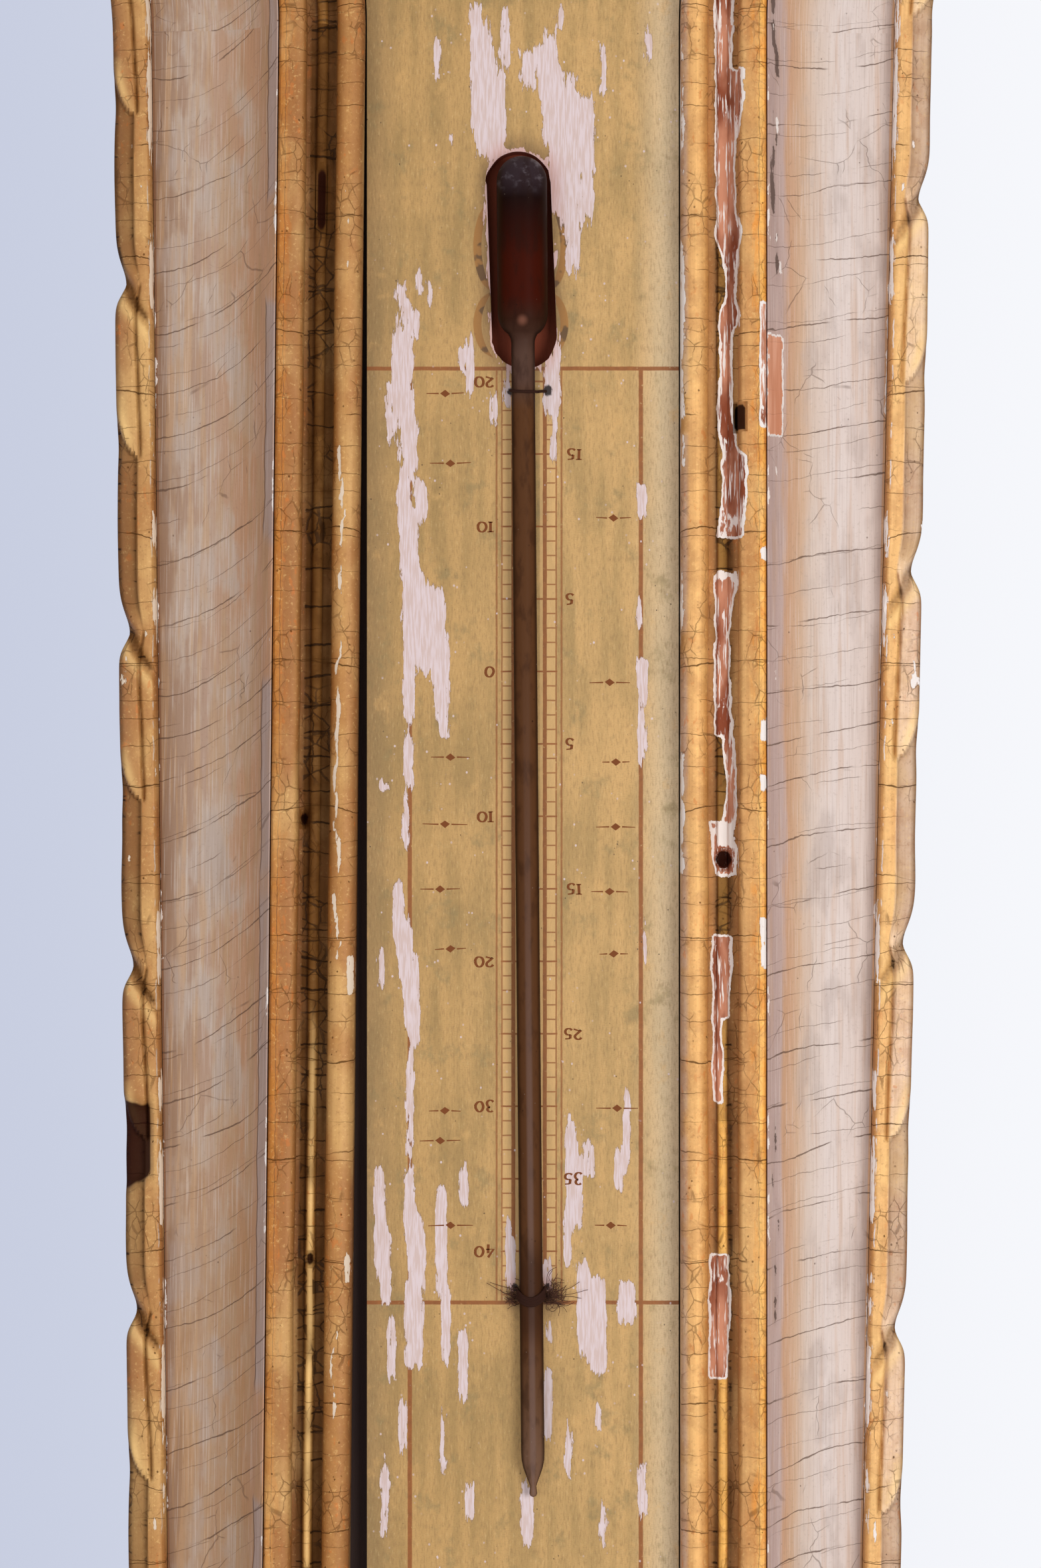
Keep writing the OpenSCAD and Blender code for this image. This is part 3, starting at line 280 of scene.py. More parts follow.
def lower_stations(step: float) -> Stations:
    """Right half of the dial's ring, from the foot, and the flare above it.

    Args:
        step: spacing in millimetres.

    Returns:
        The stations.
    """
    o = OUTLINE
    ring = arc_stations((0, 0), o.dial_sight_r, -math.pi / 2, o.flare_angle, 1, 0.0, step)
    flare = arc_stations((o.flare_x, o.neck_low), o.flare_r, math.pi + o.flare_angle, math.pi, -1,
                         ring.along[-1], step)
    return Stations(np.vstack([ring.points, flare.points[1:]]), np.vstack([ring.outward, flare.outward[1:]]),
                    np.concatenate([ring.along, flare.along[1:]]))


def neck_stations(side: int, step: float) -> Stations:
    """One straight side of the neck, from its foot; the right one leans away from the scale board.

    Args:
        side: 1 on the right and -1 on the left.
        step: spacing in millimetres.

    Returns:
        The stations.
    """
    o = OUTLINE
    lean = math.radians(o.gap_lean) if side > 0 else 0.0
    n = int(o.neck_l / step) + 1
    y = np.linspace(0.0, o.neck_l, n)
    points = np.stack([side * (o.sight_half + y * math.tan(lean)), o.neck_low + y], axis=-1)
    outward = np.tile([side * math.cos(lean), -math.sin(lean) * (side > 0)], (n, 1))
    return Stations(points, outward, y + 300.0)


def arch_stations(step: float) -> Stations:
    """The arch, from right to left."""
    o = OUTLINE
    return arc_stations((o.arch_x, o.neck_top), o.arch_r, 0.0, math.pi, 1, 800.0, step)


def along_stretches(s: np.ndarray, stretches: Sequence[tuple], soft: float = 2.0) -> np.ndarray:
    """How strongly something shows along a moulding.

    Args:
        s: lengths along the moulding.
        stretches: start, end and strength from 0 to 1 of each stretch where it shows.
        soft: length over which a stretch fades at its ends.

    Returns:
        The strength at each length.
    """
    out = np.zeros_like(s)
    for start, end, share in stretches:
        inside = smooth((s - start) / soft + 0.5) * smooth((end - s) / soft + 0.5)
        out = np.maximum(out, share * inside)
    return out


def ridge(value: np.ndarray, at: np.ndarray, half: float, power: int = 2) -> np.ndarray:
    """A smooth rise to 1 around a place; a higher power makes it flatter and steeper."""
    return np.exp(-np.abs((value - at) / half) ** power)


@dataclass
class Surface:
    """A mesh in the making: rings of points in part coordinates, with named values on each point."""

    name: str
    rings: np.ndarray
    values: dict = field(default_factory=dict)
    stretch: tuple = ()

    def build(self, finish: "Finish", nodes: Sequence[str], slot: str, sharp: float = 40.0) -> None:
        """Make the object, give it its finish and hand it to the frame.

        Args:
            finish: the material.
            nodes: the CAD nodes that it stands for.
            slot: the record's material slot.
            sharp: angle above which an edge stays sharp, in degrees.
        """
        n, m = self.rings.shape[:2]
        co = to_world(self.rings.reshape(-1, 3))
        ring = np.arange(n * m).reshape(n, m)
        nxt = np.roll(ring, -1, axis=1)
        a, b = ring[:-1], nxt[:-1]
        c, d = ring[1:], nxt[1:]
        faces = np.stack([a, c, d, b], axis=-1).reshape(-1, 4).tolist()
        faces += [ring[0].tolist(), ring[-1][::-1].tolist()]
        obj = mesh_object(self.name, co, faces, finish, sharp)
        for key, value in self.values.items():
            store(obj.data, key, np.broadcast_to(value, (n, m)).ravel())
        hand_over(obj, nodes, slot, self.stretch)


def store(mesh: bpy.types.Mesh, name: str, values: np.ndarray) -> None:
    """Keep one value for each point, for the materials to read."""
    layer = mesh.attributes.new(name, "FLOAT", "POINT")
    layer.data.foreach_set("value", values.astype(np.float32))


def points_of(mesh: bpy.types.Mesh) -> np.ndarray:
    """The mesh's points in metres, one in each row.

    Args:
        mesh: the mesh.

    Returns:
        Array of shape (count, 3).
    """
    co = np.empty(len(mesh.vertices) * 3)
    mesh.vertices.foreach_get("co", co)
    return co.reshape(-1, 3)


def volume_sign(mesh: bpy.types.Mesh) -> float:
    """Signed volume of a closed mesh: negative where its faces look inwards.

    Args:
        mesh: the mesh.

    Returns:
        A number above 0 if the faces point outwards.
    """
    mesh.calc_loop_triangles()
    co = points_of(mesh)
    tri = np.empty(len(mesh.loop_triangles) * 3, dtype=np.int64)
    mesh.loop_triangles.foreach_get("vertices", tri)
    p = co[tri.reshape(-1, 3)]
    p = p - co.mean(axis=0)
    return float(np.einsum("ij,ij->i", p[:, 0], np.cross(p[:, 1], p[:, 2])).sum())


def mesh_object(name: str, co: np.ndarray, faces: list, finish: "Finish", sharp: float) -> bpy.types.Object:
    """Make a mesh object at the origin with outward normals and smooth shading.

    Args:
        name: the object's name.
        co: points in metres.
        faces: lists of point numbers.
        finish: the material.
        sharp: angle above which an edge stays sharp, in degrees.

    Returns:
        The object, linked to the scene.
    """
    mesh = bpy.data.meshes.new(name)
    mesh.from_pydata(co.tolist(), [], faces)
    mesh.update()
    if volume_sign(mesh) < 0:
        mesh.flip_normals()
    mesh.polygons.foreach_set("use_smooth", [True] * len(mesh.polygons))
    mesh.set_sharp_from_angle(angle=math.radians(sharp))
    mesh.materials.append(finish.material())
    return in_scene(name, mesh)


def hand_over(obj: bpy.types.Object, nodes: Sequence[str], slot: str, stretch: tuple = ()) -> None:
    """Tie an object to the case unless its length changes, hide the CAD nodes that it stands for, and report
    it.

    Args:
        obj: the object.
        nodes: the CAD nodes.
        slot: the record's material slot; not used.
        stretch: for an object whose length changes, the body that its far end goes with, and the points where
            it leaves the case and where it is all on that body; none of these is acted on: the placement is
            baked into the mesh and no body is tied. Without it, it stays with the case.
    """
    if stretch:
        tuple(stretch[1])
        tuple(stretch[2])
        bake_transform(obj)
    else:
        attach(obj, "case")
    if nodes:
        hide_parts(*nodes)
    log.info("%s: %d faces, standing for %s", obj.name, len(obj.data.polygons), ", ".join(nodes) or "no node")


def in_scene(name: str, data: bpy.types.ID) -> bpy.types.Object:
    """Make an object for some data and put it in the scene, at the origin.

    Args:
        name: the object's name.
        data: what the object shows.

    Returns:
        The object.
    """
    obj = bpy.data.objects.new(name, data)
    bpy.context.scene.collection.objects.link(obj)
    return obj


def solid_sheet(name: str, bm: "bmesh.types.BMesh", thick: float, finish: "Finish") -> bpy.types.Object:
    """Thicken flat faces towards the viewer, or towards the wall where the thickness is negative.

    Args:
        name: the object's name.
        bm: flat faces in the row's frame.
        thick: thickness in millimetres, which may be negative.
        finish: the material.

    Returns:
        The object, not yet tied to the frame.
    """
    made = bmesh.ops.extrude_face_region(bm, geom=list(bm.faces))
    moved = [g for g in made["geom"] if isinstance(g, bmesh.types.BMVert)]
    bmesh.ops.translate(bm, verts=moved, vec=(0, -thick * MM, 0))
    bmesh.ops.recalc_face_normals(bm, faces=list(bm.faces))
    mesh = bpy.data.meshes.new(name)
    bm.to_mesh(mesh)
    bm.free()
    if volume_sign(mesh) < 0:
        mesh.flip_normals()
    mesh.materials.append(finish.material())
    return in_scene(name, mesh)


Socket = object


class Nodes:
    """Builds shader nodes in a tree with short calls."""

    def __init__(self, tree: bpy.types.NodeTree) -> None:
        """Start with an empty tree."""
        self.tree = tree
        tree.nodes.clear()

    def put(self, socket: bpy.types.NodeSocket, value: Socket) -> None:
        """Set a socket to a number or colour, or link another socket to it.

        Args:
            socket: the input.
            value: what it gets.
        """
        if isinstance(value, bpy.types.NodeSocket):
            self.tree.links.new(value, socket)
        elif isinstance(value, (tuple, list)) and socket.type == "RGBA":
            socket.default_value = (*value[:3], 1.0)
        else:
            socket.default_value = value

    def node(self, kind: str, inputs: dict | None = None, **settings: object) -> bpy.types.Node:
        """Add a node.

        Args:
            kind: its type, without the part that all shader nodes share.
            inputs: values by the input's name or number.
            settings: its other properties.

        Returns:
            The node.
        """
        node = self.tree.nodes.new("ShaderNode" + kind)
        for key, value in settings.items():
            setattr(node, key, value)
        for key, value in (inputs or {}).items():
            self.put(node.inputs[key], value)
        return node

    def math(self, kind: str, a: Socket, b: Socket = 0.0, c: Socket = 0.0, clamp: bool = False) -> Socket:
        """One arithmetic step."""
        return self.node("Math", {0: a, 1: b, 2: c}, operation=kind, use_clamp=clamp).outputs[0]

    def add(self, a: Socket, b: Socket) -> Socket:
        """Sum."""
        return self.math("ADD", a, b)

    def minus(self, a: Socket, b: Socket) -> Socket:
        """Difference."""
        return self.math("SUBTRACT", a, b)

    def scaled(self, value: Socket, by: Socket, plus: Socket, clamp: bool = False) -> Socket:
        """A value times one number, plus another."""
        return self.math("MULTIPLY_ADD", value, by, plus, clamp)

    def mul(self, *factors: Socket) -> Socket:
        """Product."""
        return reduce(lambda a, b: self.math("MULTIPLY", a, b), factors)

    def either(self, *masks: Socket) -> Socket:
        """The largest of several masks."""
        return reduce(lambda a, b: self.math("MAXIMUM", a, b), masks)

    def mix(self, fac: Socket, a: Socket, b: Socket, blend: str = "MIX") -> Socket:
        """Blend two colours."""
        return self.node("Mix", {0: fac, 6: a, 7: b}, data_type="RGBA", blend_type=blend).outputs[2]


class Shader(Nodes):
    """A material in the making, with the colour laid on so far."""

    def __init__(self, name: str) -> None:
        """Start with a plain surface."""
        self.mat = bpy.data.materials.new(name)
        self.mat.use_nodes = True
        super().__init__(self.mat.node_tree)
        self.bsdf = self.node("BsdfPrincipled")
        self.out = self.node("OutputMaterial", {"Surface": self.bsdf.outputs[0]})
        self.colour: Socket = (0.5, 0.5, 0.5)

    def set(self, name: str, value: Socket) -> None:
        """Set an input of the surface shader."""
        self.put(self.bsdf.inputs[name], value)

    def ease(self, x: Socket, low: float, high: float) -> Socket:
        """Rise smoothly from 0 at low to 1 at high; with high below low it falls.

        Args:
            x: the value.
            low: where the result is 0.
            high: where it is 1.

        Returns:
            The eased value.
        """
        ends = {"From Min": min(low, high), "From Max": max(low, high),
                "To Min": float(high <= low), "To Max": float(high > low)}
        return self.node("MapRange", {"Value": x, **ends}, interpolation_type="SMOOTHSTEP").outputs["Result"]

    def apart(self, a: Socket, b: Socket) -> Socket:
        """How far two values lie apart."""
        return self.math("ABSOLUTE", self.minus(a, b))

    def near(self, x: Socket, at: float, half: float, soft: float) -> Socket:
        """A line: 1 within half of at, falling to 0 over soft."""
        return self.ease(self.apart(x, at), half + soft, half)

    def between(self, x: Socket, low: float, high: float, soft: float) -> Socket:
        """1 from low to high."""
        return self.mul(self.ease(x, low - soft, low), self.ease(x, high + soft, high))

    def in_pocket(self, x: Socket, y: Socket) -> Socket:
        """1 where the board's pocket is."""
        return self.mul(self.between(x, -8.0, 10.0, 0.5), self.between(y, 158.0, 210.0, 0.5))

    def reach(self, x: Socket, y: Socket) -> Socket:
        """Length of a flat vector."""
        return self.math("SQRT", self.add(self.mul(x, x), self.mul(y, y)))

    def attr(self, name: str) -> Socket:
        """A value stored on the mesh's points."""
        return self.node("Attribute", attribute_name=name).outputs["Fac"]

    def place(self) -> tuple:
        """Object coordinates in part millimetres: x, y from the dial's centre and h."""
        x, h, y = self.node("SeparateXYZ", {0: self.node("TexCoord").outputs["Object"]}).outputs
        return self.mul(x, 1000.0), self.add(self.mul(y, 1000.0), HOOK_DROP), self.mul(h, -1000.0)

    def vec(self, x: Socket, y: Socket, z: Socket = 0.0) -> Socket:
        """A vector from three values."""
        return self.node("CombineXYZ", {0: x, 1: y, 2: z}).outputs[0]

    def noise(self, x: Socket, y: Socket, z: Socket = 0.0, size: float = 1.0, stretch: float = 1.0,
              detail: float = 3.0, rough: float = 0.55, shift: float = 0.0) -> Socket:
        """Noise with features of the given size; stretch lengthens them along y.

        Args:
            x: first coordinate.
            y: second coordinate.
            z: third coordinate.
            size: size of the features.
            stretch: how much longer they are along y.
            detail: number of finer layers.
            rough: weight of the finer layers.
            shift: picks the pattern.

        Returns:
            Values round 0.5.
        """
        where = self.vec(self.scaled(x, 1.0 / size, shift), self.mul(y, 1.0 / (size * stretch)),
                         self.mul(z, 1.0 / size) if z != 0.0 else shift)
        inputs = {"Vector": where, "Scale": 1.0, "Detail": detail, "Roughness": rough}
        return self.node("TexNoise", inputs).outputs["Fac"]

    def patches(self, low: float, high: float, *at: Socket, **more: float) -> Socket:
        """Patches where noise passes from low to high."""
        return self.ease(self.noise(*at, **more), low, high)

    def cells(self, x: Socket, y: Socket, size: float, stretch: float = 1.0,
              feature: str = "DISTANCE_TO_EDGE", shift: float = 0.0) -> Socket:
        """Distance in irregular cells of the given size."""
        where = self.vec(self.scaled(x, 1.0 / size, shift), self.mul(y, 1.0 / (size * stretch)))
        return self.node("TexVoronoi", {"Vector": where, "Scale": 1.0}, feature=feature).outputs["Distance"]

    def dots(self, x: Socket, y: Socket, pitch: float, size: float, shift: float) -> Socket:
        """Scattered specks, in some places only."""
        speck = self.ease(self.cells(x, y, pitch, 1.2, "F1", shift), size, size * 0.6)
        return self.mul(speck, self.patches(0.5, 0.62, x, y, size=4.0 * pitch, shift=shift + 7.0))

    def lay(self, tone: Socket, mask: Socket, amount: float = 1.0, blend: str = "MIX") -> None:
        """Lay a tone over the colour so far where a mask shows, up to an amount."""
        self.colour = self.mix(self.mul(mask, amount), self.colour, tone, blend)

    def on_right(self) -> Socket:
        """0 on the object's left side and 1 on its right, the side away from the key lamp, which several
        finishes paint darker as painted shade.
        """
        return self.ease(self.place()[0], -40.0, 40.0)

    def ramp(self, fac: Socket, stops: Sequence[tuple]) -> Socket:
        """Colours along a value from 0 to 1: (position, colour) pairs.

        Args:
            fac: the value.
            stops: pairs of position and colour.

        Returns:
            The colour.
        """
        node = self.node("ValToRGB", {0: fac})
        band = node.color_ramp
        while len(band.elements) < len(stops):
            band.elements.new(0.5)
        for element, (position, colour) in zip(band.elements, stops):
            element.position = position
            element.color = (*colour, 1.0)
        return node.outputs[0]

    def bump(self, strength: float, depth_mm: float, *heights: tuple) -> None:
        """Let height patterns, each with its weight, shade the surface.

        Args:
            strength: how much it shows.
            depth_mm: its depth in millimetres.
            heights: pairs of pattern and weight.
        """
        total = self.mul(*heights[0])
        for pattern, weight in heights[1:]:
            total = self.scaled(pattern, weight, total)
        node = self.node("Bump", {"Strength": strength, "Distance": depth_mm * MM, "Height": total})
        self.set("Normal", node.outputs[0])

    def lines_across(self, s: Socket, t: Socket, pitch: float, width: float, shift: float,
                     wander: float = 7.0) -> Socket:
        """Cracks that run across a moulding at uneven spacing.

        Args:
            s: millimetres along the moulding.
            t: millimetres across it.
            pitch: mean spacing.
            width: width of the widest cracks in millimetres.
            shift: picks the pattern.
            wander: how far a crack strays along the moulding.

        Returns:
            A mask, 1 in the cracks.
        """
        slow = self.centred(self.noise(s, t, size=20.0, detail=1.5, rough=0.4, shift=shift), wander)
        quick = self.centred(self.noise(s, t, size=2.2, detail=2.0, shift=shift + 2.0), 0.9)
        along = self.scaled(self.add(self.add(s, slow), quick), 1.0 / pitch, shift)
        node = self.node("TexVoronoi", voronoi_dimensions="1D", feature="DISTANCE_TO_EDGE")
        self.put(node.inputs["W"], along)
        self.put(node.inputs["Scale"], 1.0)
        thin = self.centred(self.noise(s, t, size=6.0, detail=1.0, shift=shift + 5.0), 2.4 * width)
        line = self.ease(self.scaled(node.outputs["Distance"], pitch, thin), width, width * 0.25)
        return self.mul(line, self.patches(0.36, 0.48, s, t, size=11.0, detail=1.0, shift=shift + 9.0))

    def centred(self, value: Socket, reach: float) -> Socket:
        """Turn noise from 0 to 1 into a swing about nothing."""
        return self.scaled(value, reach, -0.5 * reach)

    def losses(self, x: Socket, y: Socket, h: Socket, size: float, stretch: float, share: Socket) -> Socket:
        """Ragged losses from a share of 0 to 1; 0.5 and above is lost."""
        rag = self.noise(x, y, h, size=size, stretch=stretch, detail=4.0, rough=0.6, shift=17.0)
        return self.add(share, self.centred(rag, 1.1))


def rgb(r: int, g: int, b: int) -> tuple:
    """A screen colour as linear values.

    Args:
        r: red, from 0 to 255.
        g: green.
        b: blue.

    Returns:
        Red, green and blue from 0 to 1.
    """
    def one(c: int) -> float:
        """One channel as a linear value."""
        v = c / 255.0
        return v / 12.92 if v <= 0.04045 else ((v + 0.055) / 1.055) ** 2.4
    return one(r), one(g), one(b)


@dataclass(frozen=True)
class Look:
    """A finish: its roughness, its gloss and the height above the wall where it gives way to bare wood."""

    rough: float = 0.6
    gloss: float = 0.3
    back: float = 0.0

    def paint(self, sh: Shader) -> None:
        """Lay the colours on a material in the making."""
        raise NotImplementedError

    def material(self, name: str) -> bpy.types.Material:
        """Make the material.

        Args:
            name: the material's name.

        Returns:
            The material.
        """
        sh = Shader(name)
        sh.set("Roughness", self.rough)
        sh.set("Specular IOR Level", self.gloss)
        self.paint(sh)
        if self.back:
            sh.lay(OldPine().grain(sh), sh.ease(sh.place()[2], self.back + 0.3, self.back))
        sh.set("Base Color", sh.colour)
        return sh.mat


@dataclass(frozen=True)
class Plain(Look):
    """An even finish."""

    tone: tuple = (0.5, 0.5, 0.5)
    metallic: float = 0.0
    clear: float = 0.0

    def paint(self, sh: Shader) -> None:
        """One colour all over.

        Args:
            sh: the material in the making.
        """
        sh.colour = self.tone
        sh.set("Metallic", self.metallic)
        sh.set("Transmission Weight", self.clear)


@dataclass(frozen=True)
class OldPine(Look):
    """Bare old pine, red with age in the pocket behind the bulb, painted in shade in the gap beside the
    board.
    """

    rough: float = 0.75
    pale: tuple = rgb(166, 126, 88)
    ring: tuple = rgb(122, 88, 58)
    old: tuple = rgb(80, 58, 40)
    # Painted shade: the plank's front face is seen only in the shadowed gap beside the board.
    gap: tuple = rgb(40, 28, 32)
    pocket: tuple = rgb(142, 62, 34)

    def grain(self, sh: Shader) -> Socket:
        """Colour of the wood with its grain along the neck.

        Args:
            sh: the material in the making.

        Returns:
            The colour.
        """
        x, y, h = sh.place()
        ring = sh.noise(sh.add(x, sh.mul(h, 1.7)), y, size=7.0, stretch=22.0, detail=4.0)
        band = sh.math("PINGPONG", sh.mul(ring, 9.0), 1.0)
        colour = sh.mix(sh.ease(band, 0.1, 0.9), self.ring, self.pale)
        aged = sh.mul(sh.patches(0.45, 0.7, x, y, h, size=40.0, stretch=2.0), 0.55)
        colour = sh.mix(aged, colour, self.old)
        fibre = sh.noise(sh.add(x, h), y, size=0.6, stretch=40.0, detail=2.0)
        return sh.mix(sh.mul(fibre, 0.35), colour, self.old)

    def paint(self, sh: Shader) -> None:
        """Bare wood, with painted shade on its front face and a red tone in the pocket.

        Args:
            sh: the material in the making.
        """
        x, y, h = sh.place()
        sh.colour = self.grain(sh)
        # Painted shade on the plank's front face, where it shows in the gap.
        sh.lay(self.gap, sh.ease(h, 14.6, 14.9), 0.9)
        sh.lay(self.pocket, sh.mul(sh.in_pocket(x, y), sh.ease(h, 6.0, 7.0)), 0.85)
        sh.bump(0.4, 0.2, (sh.noise(sh.add(x, h), y, size=0.6, stretch=40.0, detail=2.0), 1.0))


@dataclass(frozen=True)
class WornGilding(Look):
    """Old gilding with the colours that show through or lie on it, and with painted shade and painted
    highlights.
    """

    gloss: float = 0.35
    # How strongly the right side is darkened and made warmer: painted shade of the side away from the key
    # lamp.
    brown: float = 0.0
    # Colour laid where the 'dark' values are high: soiling together with painted shade.
    dirt: tuple = rgb(90, 56, 24)
    crack: tuple = rgb(70, 40, 18)
    split: tuple = rgb(36, 21, 12)
    gesso: tuple = rgb(244, 234, 228)
    wood_dark: tuple = rgb(140, 74, 50)
    wood_light: tuple = rgb(208, 144, 114)
    bole: tuple = rgb(204, 112, 38)
    sheen: tuple = rgb(255, 214, 140)

    def age(self, sh: Shader, s: Socket, t: Socket) -> None:
        """Mottling, pits, cracks across, soiling with painted shade, painted highlights and losses down to
        gesso and wood.

        Args:
            sh: the material in the making, with the clean colour laid on.
            s: millimetres along.
            t: millimetres across.
        """
        x, y, h = sh.place()
        # Painted shade: the right side, away from the key lamp, is darkened and made warmer.
        sh.lay((0.50, 0.40, 0.28), sh.on_right(), self.brown, "MULTIPLY")
        mottle = sh.noise(x, y, h, size=4.0, detail=5.0, rough=0.6)
        patch = sh.noise(x, y, h, size=14.0, stretch=2.0, detail=3.0)
        grit = sh.noise(x, y, h, size=0.8, detail=5.0, rough=0.7, shift=5.0)
        brush = sh.noise(t, s, size=0.5, stretch=55.0, detail=2.0)
        sh.lay(rgb(158, 100, 48), sh.ease(mottle, 0.62, 0.36), 0.34)
        sh.lay(self.sheen, sh.ease(patch, 0.46, 0.68), 0.30)
        sh.lay(rgb(164, 108, 54), sh.ease(brush, 0.42, 0.62), 0.14)
        sh.lay(rgb(140, 88, 42), sh.ease(grit, 0.54, 0.70), 0.38)
        sh.lay(self.sheen, sh.ease(grit, 0.44, 0.32), 0.30)
        # Painted highlights: on the small bead's burnished crown and on the carved edge's leaf tips and
        # strand starts.
        sh.lay(self.sheen, sh.attr("bright"), 0.6)
        red = sh.patches(0.6, 0.68, x, y, h, size=1.3, stretch=2.0, detail=4.0, shift=12.0)
        sh.lay(self.bole, sh.mul(red, sh.ease(patch, 0.54, 0.44)), 0.45)
        fine = sh.lines_across(s, t, 6.5, 0.07, 3.0, wander=4.0)
        wide = sh.lines_across(s, t, 24.0, 0.13, 11.0)
        net = sh.mul(sh.ease(sh.cells(sh.add(t, sh.centred(mottle, 2.0)), s, 2.3, 1.7), 0.040, 0.012),
                     sh.patches(0.48, 0.6, t, s, size=7.0, stretch=2.0, shift=23.0))
        speck = sh.dots(x, sh.add(y, sh.mul(h, 0.7)), 1.5, 0.15, 3.0)
        dark = sh.either(sh.mul(fine, 0.8), wide, sh.mul(net, 0.55), sh.mul(speck, 0.9))
        sh.lay(self.crack, dark, 0.78)
        # The 'dark' values carry soiling together with painted shade in grooves, creases, folds and on sides
        # turned from the light; both are laid as one dark colour.
        dirt = sh.attr("dark")
        soiling_and_shade_mask = sh.math("MULTIPLY", dirt, sh.scaled(mottle, 0.5, 0.68), clamp=True)
        sh.lay(self.dirt, soiling_and_shade_mask)
        bent = sh.add(t, sh.centred(mottle, 2.4))
        forks = sh.ease(sh.cells(bent, sh.add(s, sh.centred(patch, 3.0)), 3.4, 1.1, shift=31.0), 0.05, 0.02)
        forks = sh.mul(forks, 0.8, sh.patches(0.46, 0.56, s, t, size=18.0, shift=33.0))
        split = sh.either(sh.lines_across(s, t, 6.4, 0.24, 19.0, wander=5.0), forks)
        split = sh.mul(split, sh.ease(dirt, 0.45, 0.75))
        sh.lay(self.split, split, 0.85)
        rag = sh.losses(x, y, h, 1.6, 2.6, sh.attr("wear"))
        gesso = sh.ease(sh.add(rag, sh.centred(sh.noise(x, y, h, size=2.6, shift=61.0), 0.34)), 0.46, 0.49)
        # Gesso where the gilding is lost; on the right side it is painted darker, as painted shade.
        sh.lay(sh.mix(sh.on_right(), self.gesso, rgb(228, 208, 186)), gesso)
        grain = sh.noise(x, y, h, size=0.45, stretch=14.0, detail=3.0, shift=3.0)
        stain = sh.patches(0.35, 0.65, x, y, h, size=5.0, stretch=3.0, shift=31.0)
        wood = sh.mix(sh.ease(grain, 0.55, 0.64), sh.mix(stain, self.wood_dark, self.wood_light), self.gesso)
        sh.lay(wood, sh.mul(sh.ease(rag, 0.84, 0.90), gesso))
        pit = sh.ease(sh.attr("hole"), 0.3, 0.6)
        sh.lay(rgb(44, 16, 10), pit, 0.96)
        dull = sh.either(dark, split, gesso, soiling_and_shade_mask)
        shine = sh.scaled(sh.either(dull, pit), 0.04 - self.gloss, self.gloss, clamp=True)
        sh.set("Specular IOR Level", shine)
        sh.set("Metallic", sh.scaled(dull, -0.12, 0.12, clamp=True))
        sh.set("Roughness", sh.scaled(sh.either(mottle, dull), 0.2, 0.44))
        sh.bump(0.7, 0.2, (sh.either(dark, split, gesso), -1.0), (mottle, 0.35), (grit, 0.3), (brush, 0.12))


@dataclass(frozen=True)
class EdgeGilt(WornGilding):
    """The carved edge: q runs from 0 at the cove to 1 outside."""

    # Strong painted shade on the right side.
    brown: float = 0.82
    back: float = 5.6

    def paint(self, sh: Shader) -> None:
        """Gilding with a pale worn line beside the cove.

        Args:
            sh: the material in the making.
        """
        s, q = sh.attr("s"), sh.attr("q")
        # Across the edge: darker at q = 0, the dull fillet beside the cove, and darker towards q = 1 as
        # painted shade on the outer flank, which falls away.
        stops = [(0.0, rgb(184, 128, 74)), (0.07, rgb(222, 164, 100)), (0.16, rgb(240, 188, 122)),
                 (0.4, rgb(230, 176, 110)), (0.6, rgb(222, 168, 106)), (0.85, rgb(196, 144, 94)),
                 (1.0, rgb(148, 106, 70))]
        sh.colour = sh.ramp(q, stops)
        outside = sh.mul(sh.between(q, 0.5, 0.9, 0.1), sh.ease(sh.place()[0], -30.0, -50.0))
        sh.lay(rgb(236, 208, 184), outside, 0.7)
        waver = sh.centred(sh.noise(s, q, size=3.0, detail=3.0), 0.10)
        broken = sh.patches(0.5, 0.56, s, q, size=7.0, shift=41.0)
        sh.lay(self.gesso, sh.mul(sh.near(sh.add(q, waver), 0.09, 0.008, 0.016), broken))
        self.age(sh, s, sh.mul(q, 8.0))


